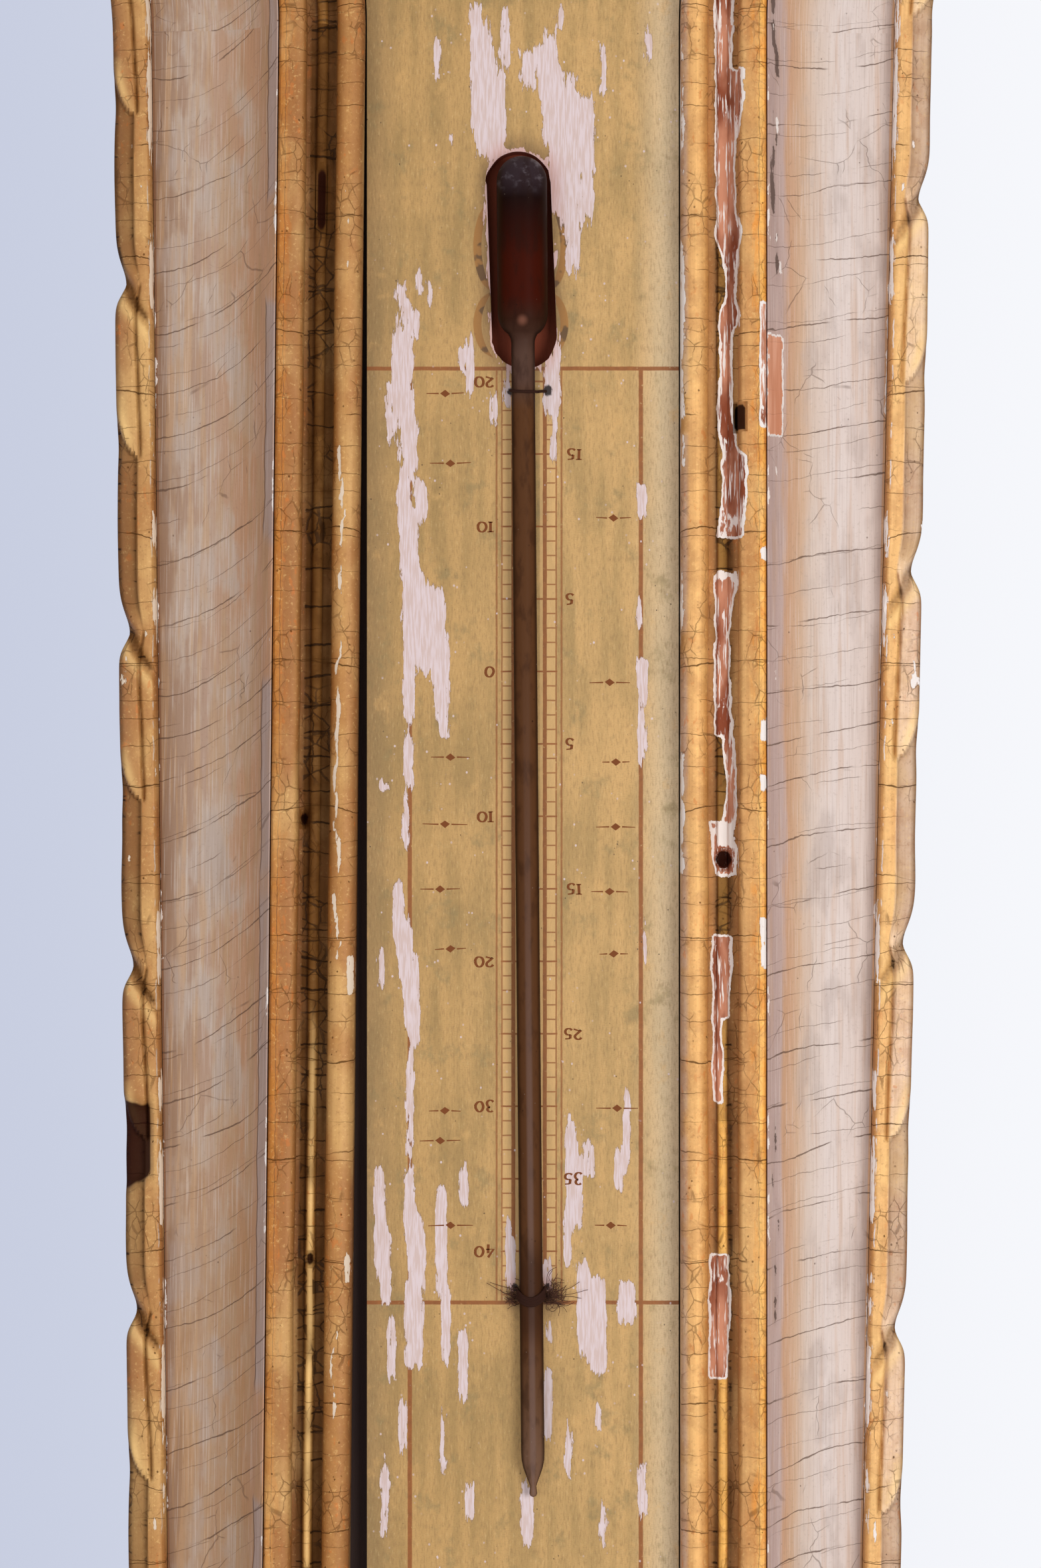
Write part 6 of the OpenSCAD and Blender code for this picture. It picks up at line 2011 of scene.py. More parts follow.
class Digits:
    """Old-style numerals drawn as pen strokes, one unit high."""

    def arc(self, cx: float, cy: float, rx: float, ry: float, a0: float, a1: float, n: int = 14) -> list:
        """Points on part of an ellipse, with angles in degrees."""
        return [(cx + rx * math.cos(math.radians(a)), cy + ry * math.sin(math.radians(a)))
                for a in np.linspace(a0, a1, n)]

    def strokes(self, digit: str) -> list:
        """Strokes of one numeral, as lists of points.

        Args:
            digit: the numeral.

        Returns:
            The strokes.
        """
        arc = self.arc
        shapes = {
            "0": [arc(0.4, 0.42, 0.34, 0.42, 0, 360, 26)],
            "1": [[(0.05, 0.84), (0.55, 0.84)], [(0.3, 0.84), (0.3, 0.0)], [(0.1, 0.0), (0.5, 0.0)]],
            "2": [arc(0.36, 0.62, 0.27, 0.24, 165, -35, 14) + [(0.1, 0.08), (0.3, 0.1), (0.72, -0.02)]],
            "3": [arc(0.32, 0.66, 0.24, 0.2, 150, -80, 12), arc(0.32, 0.16, 0.3, 0.3, 85, -150, 14)],
            "4": [[(0.5, 0.9), (0.02, 0.22), (0.7, 0.22)], [(0.5, 0.55), (0.5, -0.2)]],
            "5": [[(0.2, 0.8), (0.62, 0.84)],
                  [(0.2, 0.8), (0.16, 0.46)] + arc(0.3, 0.2, 0.3, 0.27, 110, -150, 14)],
            "6": [[(0.62, 1.05), (0.3, 0.78)] + arc(0.38, 0.33, 0.3, 0.33, 150, 510, 24)],
            "7": [[(0.06, 0.8), (0.68, 0.82), (0.3, -0.15)]],
            "8": [arc(0.38, 0.72, 0.22, 0.22, -90, 270, 20), arc(0.38, 0.24, 0.3, 0.26, 90, 450, 22)],
            "9": [arc(0.38, 0.5, 0.3, 0.3, 0, 360, 22), [(0.68, 0.5), (0.6, 0.1), (0.24, -0.2)]],
        }
        return shapes[digit]

    def number(self, text: str, origin: Sequence, size: float, turn: float, level: float, pen: float,
               wander: int = 0) -> tuple:
        """Flat ribbons for a number.

        Args:
            text: the digits.
            origin: x and y of the number's lower left corner.
            size: height of a digit.
            turn: angle of the baseline in radians.
            level: height above the wall.
            pen: half width of the pen.
            wander: seed for the hand's unevenness.

        Returns:
            Points in part coordinates and faces.
        """
        co, faces = [], []
        offset = 0.0
        across, up = polar(1.0, turn), polar(1.0, turn + math.pi / 2)
        for k, digit in enumerate(text):
            for stroke in self.strokes(digit):
                pts = np.array(stroke, float)
                jit = 0.03 * np.stack([value_noise(pts[:, 0] * 3, pts[:, 1] * 3 + k, wander),
                                       value_noise(pts[:, 1] * 3, pts[:, 0] * 3 + k, wander + 9)], axis=-1)
                pts = (pts + jit + [offset, 0.0]) * size
                step = np.gradient(pts, axis=0)
                length = np.maximum(np.linalg.norm(step, axis=1, keepdims=True), 1e-6)
                normal = np.stack([-step[:, 1], step[:, 0]], axis=-1) / length
                thick = pen * (0.55 + 0.75 * np.abs(step[:, 1:] / length))
                edges = np.stack([pts - normal * thick, pts + normal * thick], axis=1).reshape(-1, 2)
                faces += [(a, a + 1, a + 3, a + 2) for a in range(len(co), len(co) + 2 * len(pts) - 2, 2)]
                flat = np.array(origin) + edges[:, :1] * across + edges[:, 1:] * up
                co += with_height(flat, level).tolist()
            offset += 0.62 if digit == "1" else 0.86
        return co, faces


@dataclass
class InkLayer:
    """A thin raised layer of ink: flat shapes in part coordinates that are joined in one object."""

    name: str
    slot: str
    co: list = field(default_factory=list)
    faces: list = field(default_factory=list)

    def add(self, shape: tuple) -> None:
        """Add a shape's points and faces."""
        self.faces += [tuple(i + len(self.co) for i in face) for face in shape[1]]
        self.co += shape[0]

    def build(self, finish: Finish) -> None:
        """Make the layer as one object with a little thickness.

        Args:
            finish: the material.
        """
        bm = bmesh.new()
        verts = [bm.verts.new(p) for p in to_world(np.array(self.co, float))]
        for face in self.faces:
            bm.faces.new([verts[i] for i in face])
        bmesh.ops.recalc_face_normals(bm, faces=list(bm.faces))
        hand_over(solid_sheet(self.name, bm, 0.03, finish), [], self.slot)


@dataclass(frozen=True)
class ScaleNumbers:
    """Numbers of the scale, tens on its right and odd fives on its left, and small lozenges on rules."""

    right_ornaments: tuple = (211, 217, 225, 236, 268, 284, 297.5, 310.5, 322.5, 355, 361, 378)
    left_ornaments: tuple = (236, 269, 285, 298, 311, 323.5, 354.5, 378)
    foot_ornaments: tuple = (-14.0, 16.0)

    def ornament(self, x: float, y: float, length: float, seed: int) -> tuple:
        """A short rule with a lozenge in its middle.

        Args:
            x: millimetres right of the dial's centre.
            y: millimetres above the dial's centre.
            length: the rule's length.
            seed: picks the pattern.

        Returns:
            Points and faces.
        """
        pen, tall, wide, level = 0.14, 0.75, 1.0, BOARD_H
        wobble = [0.18 * float(value_noise(k * 1.7, 0.3, seed)) for k in range(4)]
        co = [(x - wide, y + wobble[1], level), (x, y - tall, level), (x + wide, y + wobble[2], level),
              (x, y + tall, level)]
        for side, rise in ((-1, wobble[0]), (1, wobble[3])):
            bar = [(x + side * length / 2, y + rise, pen / 2), (x + side * (wide + 0.3), y, pen)][::-side]
            co += [(at_x, at_y - half, level) for at_x, at_y, half in bar]
            co += [(at_x, at_y + half, level) for at_x, at_y, half in bar[::-1]]
        return co, [(0, 1, 2, 3), (4, 5, 6, 7), (8, 9, 10, 11)]

    def build(self) -> None:
        """Make the numbers and ornaments as a layer of ink on the board."""
        digits = Digits()
        ink = InkLayer("scale_numbers", "scale_paint")
        for value in range(-20, 41, 5):
            y = LADDER.zero + value * LADDER.degree
            text = str(abs(value))
            x = LADDER.middle - LADDER.outer - 0.7 - 1.75 * len(text)
            if value % 10 == 0:
                x = LADDER.middle + LADDER.outer + 0.5
            ink.add(digits.number(text, (x, y - 0.9), 2.35, 0.0, BOARD_H, 0.21, wander=value + 50))
        places = [(15.6 + 1.2 * math.sin(k * 2.1), y, 7.5 + 1.5 * math.sin(k * 1.3))
                  for k, y in enumerate(self.right_ornaments)]
        places += [(-18.2 + 0.8 * math.sin(k * 1.9), y, 7.0 + 1.5 * math.sin(k * 2.3))
                   for k, y in enumerate(self.left_ornaments)]
        places += [(x, 421.0, 9.5) for x in self.foot_ornaments]
        for seed, (x, y, length) in enumerate(places):
            ends = np.array([x - length / 2, x, x + length / 2])
            if lost_paint(ends, y + 0 * ends).max() < 0.4:
                ink.add(self.ornament(x, y, length, seed))
        ink.build(Finish.INK)


@dataclass(frozen=True)
class Thermometer:
    """Bulb and tube, blown from one piece of glass."""

    foot: tuple = (0.25, 163.7)
    lean: float = math.radians(0.5)
    bulb_r: float = 5.05
    stem_r: float = 2.35
    axis_h: float = BOARD_H + stem_r + 0.2
    bulb_l: float = 37.0
    length: float = 268.5

    def profile(self) -> np.ndarray:
        """Height above the bulb's foot and radius."""
        r, s = self.bulb_r, self.stem_r
        a = np.linspace(-math.pi / 2, 0, 12)
        foot = np.stack([r + r * np.sin(a), r * np.cos(a)], axis=-1)
        foot[0, 1] = 0.02
        b = np.linspace(0, 1, 9)
        bend = 1.25 * b
        shoulder = np.stack([self.bulb_l - 5.8 + 4.6 * np.sin(bend), r - 3.0 * (1 - np.cos(bend))], axis=-1)
        end, end_r = shoulder[-1]
        fillet = np.stack([end + 2.1 * b[1:], s + (end_r - s) * (1 - b[1:]) ** 2.2], axis=-1)
        body = np.stack([np.linspace(self.bulb_l + 2, self.length - 9, 40), np.full(40, s)], axis=-1)
        tip = self.length - np.array([7.5, 6.0, 4.5, 3.2, 2.2, 1.4, 0.8, 0.3, 0.0])
        tip_r = [s * 0.97, s * 0.84, s * 0.62, 0.95, 0.62, 0.72, 0.78, 0.6, 0.02]
        return np.vstack([foot, shoulder, fillet, body, np.stack([tip, tip_r], axis=-1)])

    def middle(self, along: np.ndarray) -> tuple:
        """Sideways place and height on the board of the axis, at a length from the bulb's foot."""
        bow = 0.12 * np.sin(np.pi * along / self.length)
        return self.foot[0] - along * math.sin(self.lean) + bow, self.foot[1] + along * math.cos(self.lean)

    def build(self) -> None:
        """Make the glass as one closed skin, which carries the spirit's colour; the spirit's own node is
        hidden.
        """
        a = np.linspace(0, 2 * math.pi, 48, endpoint=False)[None, :]
        profile = self.profile()
        x, y = self.middle(profile[:, :1])
        r = profile[:, 1:]
        rings = np.stack([x + r * np.cos(a), y + 0 * r * a, self.axis_h + r * np.sin(a)], axis=-1)
        facing = np.clip(np.sin(a), 0, 1) + 0 * r
        Surface("stem_and_bulb", rings, {"q": facing}).build(
            Finish.STEM, ["thermometer_glass", "thermometer_spirit"], "glass", 60)


class NodeTool:
    """Builds a Geometry Nodes tree, runs it once and keeps the plain mesh."""

    def __init__(self, name: str, **inputs: str) -> None:
        """Start with the group's own inputs, given as name and kind."""
        self.tree = bpy.data.node_groups.new(name, "GeometryNodeTree")
        self.tree.interface.new_socket("Geometry", in_out="INPUT", socket_type="NodeSocketGeometry")
        self.tree.interface.new_socket("Geometry", in_out="OUTPUT", socket_type="NodeSocketGeometry")
        self.inp = self.tree.nodes.new("NodeGroupInput")
        self.out = self.tree.nodes.new("NodeGroupOutput")
        self.ids: dict = {}
        for key, kind in inputs.items():
            item = self.tree.interface.new_socket(key, in_out="INPUT", socket_type="NodeSocket" + kind)
            self.ids[key] = item.identifier

    def node(self, kind: str, **settings: object) -> bpy.types.Node:
        """Add a node.

        Args:
            kind: the node's type.
            settings: its properties.

        Returns:
            The node.
        """
        node = self.tree.nodes.new(kind)
        for key, value in settings.items():
            setattr(node, key, value)
        return node

    def feed(self, node: bpy.types.Node, **sources: object) -> None:
        """Link a node's inputs, by name, to the tree's own inputs or to other nodes' first outputs.

        Args:
            node: the node that gets the links.
            sources: what each input gets: the name of one of the tree's inputs, or a node.
        """
        for key, source in sources.items():
            output = self.inp.outputs[source] if isinstance(source, str) else source.outputs[0]
            self.tree.links.new(output, node.inputs[key.replace("_", " ")])

    def close(self, last: bpy.types.Node) -> None:
        """End in real geometry with the material named by the input.

        Args:
            last: the node that makes the geometry.
        """
        real = self.node("GeometryNodeRealizeInstances")
        paint = self.node("GeometryNodeSetMaterial")
        self.feed(real, Geometry=last)
        self.feed(paint, Geometry=real, Material="Material")
        self.feed(self.out, Geometry=paint)

    def run(self, name: str, base: bpy.types.Mesh, values: dict) -> bpy.types.Object:
        """Apply the tree to a mesh.

        Args:
            name: name of the resulting object.
            base: the mesh that goes in.
            values: input name to value.

        Returns:
            An object with the plain mesh, not yet tied to the frame.
        """
        source = in_scene(name + "_source", base)
        modifier = source.modifiers.new("nodes", "NODES")
        modifier.node_group = self.tree
        for key, value in values.items():
            modifier[self.ids[key]] = value
        bpy.context.view_layer.update()
        graph = bpy.context.evaluated_depsgraph_get()
        mesh = bpy.data.meshes.new_from_object(source.evaluated_get(graph), depsgraph=graph)
        mesh.name = name
        bpy.data.objects.remove(source)
        return in_scene(name, mesh)


class Strands:
    """Turns chains of points into round strands with Geometry Nodes."""

    def __init__(self) -> None:
        """Lay out the tree."""
        self.tool = tool = NodeTool("strands", Radius="Float", Sides="Int", Material="Material")
        curve = tool.node("GeometryNodeMeshToCurve")
        ring = tool.node("GeometryNodeCurvePrimitiveCircle")
        skin = tool.node("GeometryNodeCurveToMesh")
        skin.inputs["Fill Caps"].default_value = True
        tool.feed(curve, Mesh="Geometry")
        tool.feed(ring, Radius="Radius", Resolution="Sides")
        tool.feed(skin, Curve=curve, Profile_Curve=ring)
        tool.close(skin)

    def spin(self, name: str, chains: Sequence[np.ndarray], radius: float, sides: int,
             finish: Finish) -> bpy.types.Object:
        """Make strands of one thickness.

        Args:
            name: the object's name.
            chains: points of each strand in part coordinates.
            radius: their radius.
            sides: faces round a strand.
            finish: the material.

        Returns:
            The object, not yet tied to the frame.
        """
        starts = np.cumsum([0] + [len(chain) for chain in chains])
        edges = [(int(start) + i, int(start) + i + 1) for start, chain in zip(starts, chains)
                 for i in range(len(chain) - 1)]
        base = bpy.data.meshes.new(name + "_path")
        base.from_pydata(to_world(np.vstack(chains)).tolist(), edges, [])
        values = {"Radius": radius * MM, "Sides": sides, "Material": finish.material()}
        obj = self.tool.run(name, base, values)
        if volume_sign(obj.data) < 0:
            obj.data.flip_normals()
        return obj


@dataclass(frozen=True)
class Ties:
    """The wire and the wound thread that hold the tube to the board, each from hole to hole."""

    wire: float = 0.3
    thread: float = 0.3
    lint: float = 0.055
    long_ends: int = 5
    glass: Thermometer = Thermometer()

    def over(self, left: Sequence, right: Sequence, sag: float, lift: float, radius: float) -> np.ndarray:
        """Points of a strand from one hole over the tube to the other.

        Args:
            left: sideways place and height on the board of the hole at the picture's left.
            right: the same for the hole at its right.
            sag: how far the middle hangs towards the tube's tip.
            lift: how far it stands off the glass.
            radius: the strand's radius.

        Returns:
            Points in part coordinates.
        """
        k = np.linspace(0, 1, 33)
        x = left[0] + (right[0] - left[0]) * k
        y = left[1] + (right[1] - left[1]) * k + sag * np.sin(k * math.pi) ** 0.75
        axis_x, _ = self.glass.middle(y - self.glass.foot[1])
        r = self.glass.stem_r + radius + lift
        over = self.glass.axis_h + np.sqrt(np.clip(r * r - (x - axis_x) ** 2, 0, None))
        low = BOARD_H - 0.6
        beside = low + (self.glass.axis_h - low) * smooth(np.minimum(k, 1 - k) / 0.22)
        return np.stack([x, y, np.maximum(np.where(np.abs(x - axis_x) < r, over, 0), beside)], axis=-1)

    def hairs(self, count: int) -> list:
        """Loose ends that spread from the thread's holes, with fixed seeds.

        Args:
            count: how many.

        Returns:
            Points of each hair.
        """
        out = []
        for i in range(count):
            side = 1 if i % 5 < 2 else -1
            stray = [float(value_noise(i * 1.37, 0.5, seed)) for seed in (71, 72, 75, 76)]
            long = i < self.long_ends
            at = np.array([1.2 if side > 0 else -4.6, 392.6]) + [0.9 * stray[2], 2.2 * stray[3]]
            a = (0.0 if side > 0 else math.pi) + (0.5 if long else 1.5) * stray[0] - 0.4 * side
            length = 2.7 + 2.2 * stray[1] + (1.6 if side < 0 else 0.0) + (3.6 if long else 0.0)
            k = np.linspace(0, 1, 14)
            turn = a + (0.3 if long else 1.6) * drift(k * 2.2 + i, 1, 73)
            step = length / 13
            x = at[0] + np.cumsum(np.cos(turn) * step)
            y = at[1] + np.cumsum(np.sin(turn) * step)
            h = BOARD_H + 0.35 + (1.1 + 0.8 * drift(k * 2 + i, 1, 74)) * smooth(k * 3)
            out.append(np.stack([x, y, h], axis=-1))
        return out

    def build(self) -> None:
        """Make both ties and the thread's loose ends."""
        strands = Strands()
        wire = [self.over((2.5, 210.7), (-5.0, 210.4), 0.5, 0.02, self.wire)]
        hand_over(strands.spin("wire_tie", wire, self.wire, 10, Finish.THREAD), ["lower_tie"], "thread")
        turns = [self.over((1.7 - 0.15 * i, 389.9 + 0.5 * i), (-4.8 + 0.12 * i, 389.8 + 0.5 * i),
                           2.3 - 0.22 * i, 0.05 * (i % 2), self.thread) for i in range(6)]
        hand_over(strands.spin("thread_tie", turns, self.thread, 8, Finish.THREAD), ["upper_tie"], "thread")
        hand_over(strands.spin("thread_ends", self.hairs(84), self.lint, 4, Finish.LINT), [], "thread")


class DialRing:
    """Repeats a mark round the dial with Geometry Nodes, each at a slant to the radius, in radians."""

    slant: float = 0.5

    def __init__(self) -> None:
        """Lay out the tree."""
        self.tool = tool = NodeTool("marks_round_dial", Count="Int", Radius="Float", Material="Material")
        line = tool.node("GeometryNodeMeshCircle", fill_type="NONE")
        turn = tool.node("GeometryNodeInstanceOnPoints")
        index = tool.node("GeometryNodeInputIndex")
        step = tool.node("ShaderNodeMath", operation="DIVIDE")
        step.inputs[0].default_value = 2 * math.pi
        angle = tool.node("ShaderNodeMath", operation="MULTIPLY_ADD")
        angle.inputs[2].default_value = self.slant
        spin = tool.node("ShaderNodeCombineXYZ")
        tool.feed(line, Vertices="Count", Radius="Radius")
        tool.tree.links.new(tool.inp.outputs["Count"], step.inputs[1])
        tool.tree.links.new(index.outputs[0], angle.inputs[0])
        tool.tree.links.new(step.outputs[0], angle.inputs[1])
        tool.feed(spin, Z=angle)
        tool.feed(turn, Points=line, Instance="Geometry", Rotation=spin)
        tool.close(turn)

    def marks(self, name: str, count: int, radius: float, size: tuple, level: float) -> None:
        """Put small bars round the dial.

        Args:
            name: the object's name.
            count: how many.
            radius: radius of their middles.
            size: length along the radius and width.
            level: height above the wall.
        """
        half_l, half_w = size[0] / 2 * MM, size[1] / 2 * MM
        base = bpy.data.meshes.new(name + "_mark")
        corners = ((-1, -1), (1, -1), (1, 1), (-1, 1))
        co = [(x * half_l, y * half_w, z) for z in (0.0, 0.04 * MM) for x, y in corners]
        sides = [(i, (i + 1) % 4, (i + 1) % 4 + 4, i + 4) for i in range(4)]
        base.from_pydata(co, [], [(3, 2, 1, 0), (4, 5, 6, 7), *sides])
        values = {"Count": count, "Radius": radius * MM, "Material": Finish.DIAL_INK.material()}
        obj = self.tool.run(name, base, values)
        place = Matrix.Translation((0, -level * MM, -HOOK_DROP * MM))
        obj.data.transform(place @ Matrix.Rotation(math.pi / 2, 4, "X"))
        hand_over(obj, [], "dial_paper")


@dataclass(frozen=True)
class Dial:
    """The printed dial: rings, marks, numbers and a plain star."""

    level: float = 18.0

    def ring(self, radius: float, width: float) -> tuple:
        """A thin ring as flat faces.

        Args:
            radius: radius in millimetres.
            width: width in millimetres.

        Returns:
            Points and faces.
        """
        n = 180
        edges = np.array([radius - width / 2, radius + width / 2])
        spokes = polar(edges, 2 * math.pi * np.arange(n)[:, None] / n)
        faces = [(2 * i, 2 * i + 1, 2 * ((i + 1) % n) + 1, 2 * ((i + 1) % n)) for i in range(n)]
        return with_height(spokes.reshape(-1, 2), self.level).tolist(), faces

    def star(self) -> tuple:
        """An eight-pointed star, each ray half inked."""
        co = []
        for k in range(8):
            a = math.pi / 2 + k * math.pi / 4
            tip = 30.0 if k % 2 == 0 else 20.0
            co += [polar(6.0, a), polar(tip, a), polar(9.0, a + math.pi / 8)]
        return with_height(np.array(co), self.level).tolist(), [(i, i + 1, i + 2) for i in range(0, 24, 3)]

    def build(self) -> None:
        """Ink the dial."""
        ink = InkLayer("dial_print", "dial_paper")
        for r, w in ((79.0, 0.3), (74.5, 0.35), (72.5, 0.2), (60.0, 0.25), (34.0, 0.3), (32.0, 0.2)):
            ink.add(self.ring(r, w))
        ink.add(self.star())
        size = 6.0
        for value, angle in ((26, 135), (27, 90), (28, 45), (29, 0), (25, 180), (24, 225), (30, -45)):
            a = math.radians(angle)
            turn = a - math.pi / 2
            start = polar(63.5, a) - polar(0.8 * size, turn)
            ink.add(Digits().number(str(value), start, size, turn, self.level, 0.42, wander=value))
        ink.build(Finish.DIAL_INK)
        ring = DialRing()
        ring.marks("dial_lines", 96, 73.5, (2.0, 0.28), self.level)
        ring.marks("dial_inches", 8, 76.7, (4.4, 0.7), self.level)


@dataclass(frozen=True)
class Crest:
    """The carved crest above the arch and the leaf at the foot."""

    face: float = 29.0
    fan_y: float = 669.0
    shell_top: float = 42.0
    ribs: int = 11

    def carve(self, name: str, rings: np.ndarray, dark: np.ndarray, node: str, sharp: float = 60.0) -> None:
        """Make one carved piece, with small losses scattered over it."""
        wear = np.clip(value_noise(rings[..., 0] / 9, rings[..., 1] / 9, 51) - 0.45, 0, 1) * 0.7
        Surface(name, rings, {"wear": wear, "dark": dark}).build(Finish.CREST_GILT, [node], "gilding", sharp)

    @property
    def clear(self) -> float:
        """Radius round the arch's centre that stays clear of the carved edge."""
        return OUTLINE.edge_arch_r + 0.1 + OUTLINE.edge_w + 0.5

    def shell_rim(self, a: np.ndarray) -> np.ndarray:
        """Radius of the shell's rim at an angle."""
        return 54.5 + 20.5 * np.maximum(0, np.sin(a)) ** 3

    def shell(self) -> None:
        """The scallop shell."""
        a = np.radians(np.linspace(-20, 200, self.ribs * 20 + 1))[:, None]
        share = (np.degrees(a) + 20) / 220
        rib = np.abs(np.sin(share * self.ribs * math.pi)) ** 0.7
        out = self.shell_rim(a) - 5 * (1 - rib)
        rise = self.shell_top - self.face - 2
        u = np.linspace(0, 1, 18)[None, :]
        r = 12.3 + u * (out - 12.3)
        swell = 0.17 * np.sin(np.clip(u / 0.4, 0, 1) * math.pi / 2)
        body = rise * (0.85 + swell - 0.62 * np.clip((u - 0.3) / 0.7, 0, 1) ** 1.7)
        h = body + (0.6 + 2.4 * u * (1.15 - u)) * rib + 0.12 * value_noise(r / 3, share * 200, 7)
        h = np.where(u > 0.97, h * 0.9, h)
        r = np.hstack([0 * a + 12.3, r, out - 1.2])
        h = np.hstack([0 * a, h, 0 * a])
        rings = with_height(polar(r, a, (0.0, self.fan_y)), self.face + h)
        dark = np.hstack([0 * a, np.clip(1 - rib * 1.6, 0, 1) * (0.3 + 0.5 * (1 - u)), 0 * a + 0.5])
        self.carve("crest_shell", rings, dark, "crest_shell")

    def scroll_path(self) -> np.ndarray:
        """Points and headings along the scroll, as in the CAD source."""
        n = 28
        u = np.array([2 * i / (n - 1) - 1 for i in range(n)])
        turn = 6 + 56 * np.abs(u) ** 2.5
        step = 1.8 + 3.6 * (1 - u * u)
        a = 95 - turn.sum() / 2
        at = np.zeros(2)
        out = [(0.0, 0.0, a)]
        for t, length in zip(turn, step):
            b = math.radians(a + t / 2)
            at = at + polar(length, b)
            a += t
            out.append((at[0], at[1], a))
        path = np.array(out)
        path[:, :2] += np.array([80.5, 12.0]) - path[n // 2, :2]
        return path

    def scroll(self, side: int, name: str) -> None:
        """One scroll, smoothed along its path.

        Args:
            side: 1 on the right and -1 on the left.
            name: the object's name.
        """
        path = self.scroll_path()
        n = len(path)
        i = np.linspace(0, n - 1, 260)
        x, y = (self.spline(path[:, k], i) for k in (0, 1))
        heading = np.unwrap(np.arctan2(np.gradient(y), np.gradient(x)))
        w = 4 * (1 - 0.62 * np.abs(2 * i / (n - 1) - 1) ** 1.5)
        a = np.linspace(0, math.pi, 15)
        across = np.cos(a) * 0.98
        lift = np.sin(a) ** 0.8 * (1 - 0.28 * np.exp(-((across - 0.1) / 0.22) ** 2))
        px = x[:, None] - np.sin(heading)[:, None] * w[:, None] * across
        py = y[:, None] + np.cos(heading)[:, None] * w[:, None] * across
        ph = self.face + w[:, None] * 1.7 * lift
        rings = np.stack([side * px, self.fan_y + py, ph], axis=-1)
        dark = np.tile(np.exp(-((across - 0.1) / 0.2) ** 2) * 0.6, (len(i), 1))
        self.carve(name, rings, dark, name)

    def spline(self, v: np.ndarray, at: np.ndarray) -> np.ndarray:
        """Catmull-Rom values between the given ones.

        Args:
            v: the given values.
            at: places between them.

        Returns:
            The values there.
        """
        pad = np.concatenate([[2 * v[0] - v[1]], v, [2 * v[-1] - v[-2]]])
        k = np.clip(at.astype(int), 0, len(v) - 2)
        f = at - k
        p0, p1, p2, p3 = pad[k], pad[k + 1], pad[k + 2], pad[k + 3]
        return 0.5 * (2 * p1 + (p2 - p0) * f + (2 * p0 - 5 * p1 + 4 * p2 - p3) * f ** 2
                      + (3 * p1 - p0 - 3 * p2 + p3) * f ** 3)

    def block_radius(self, a: np.ndarray) -> np.ndarray:
        """Outline of the crest's block, from the shell's centre.

        Args:
            a: the angle in degrees.

        Returns:
            The radius there.
        """
        def bump(d: np.ndarray) -> np.ndarray:
            """A rise round an angle, in degrees from it."""
            return np.where(np.abs(d) < 62, np.cos(np.radians(np.clip(d, -62, 62) / 62 * 90)) ** 2, 0)
        return 72 + 15 * bump(a - 8) + 15 * bump(a - 172)

    def block(self) -> None:
        """The ground behind the shell, with a raised rim and a punched field."""
        o = OUTLINE
        a = np.linspace(-14, 194, 150)
        r = self.block_radius(a)
        outer = polar(r, np.radians(a), (0.0, self.fan_y))
        b = np.radians(40 + (a + 14) / 208 * 100)
        inner = polar(self.clear, b, (o.edge_arch_x, o.neck_top))
        u = np.concatenate([np.linspace(0, 0.9, 26), np.linspace(0.905, 1.0, 14)])[None, :, None]
        xy = inner[:, None] + (outer - inner)[:, None] * u
        reach = np.linalg.norm(outer - inner, axis=1)[:, None]
        from_rim = (1 - u[..., 0]) * reach
        h = self.face - 1.1 * smooth((from_rim - 2.6) / 1.2) * smooth((u[..., 0] - 0.02) / 0.03)
        h = np.where(from_rim < 0.8, h - 0.5 * (1 - from_rim / 0.8), h)
        h[:, -1] = self.face - 1.0
        top = with_height(xy, h)
        rings = np.concatenate([top, with_height(np.stack([outer, inner], axis=1), PLANK_H)], axis=1)
        dark = np.zeros(rings.shape[:2])
        dark[:, :top.shape[1]] = 0.35 * smooth((from_rim - 2.6) / 1.2)
        dark[:, -2:] = 0.5
        self.carve("crest_ground", rings, dark, "crest_block", 45.0)

    def button(self) -> None:
        """The turned boss from which the shell fans out."""
        p = np.array([(11.9, 0.0), (12.0, 4.6), (11.6, 5.6), (10.6, 7.2), (9.4, 8.4), (8.0, 8.9),
                      (7.3, 8.4), (6.8, 8.0), (6.4, 8.6), (5.9, 9.8), (4.9, 11.0), (3.4, 11.9),
                      (1.6, 12.3), (0.05, 12.4)])
        a = np.linspace(0, 2 * math.pi, 64, endpoint=False)[None, :]
        r, h = p[:, :1], p[:, 1:]
        rings = with_height(polar(r, a, (0.0, self.fan_y)), self.face + h)
        dark = np.exp(-((r - 7.1) / 0.5) ** 2) * 0.7 + 0 * a
        self.carve("crest_boss", rings, dark, "crest_button")

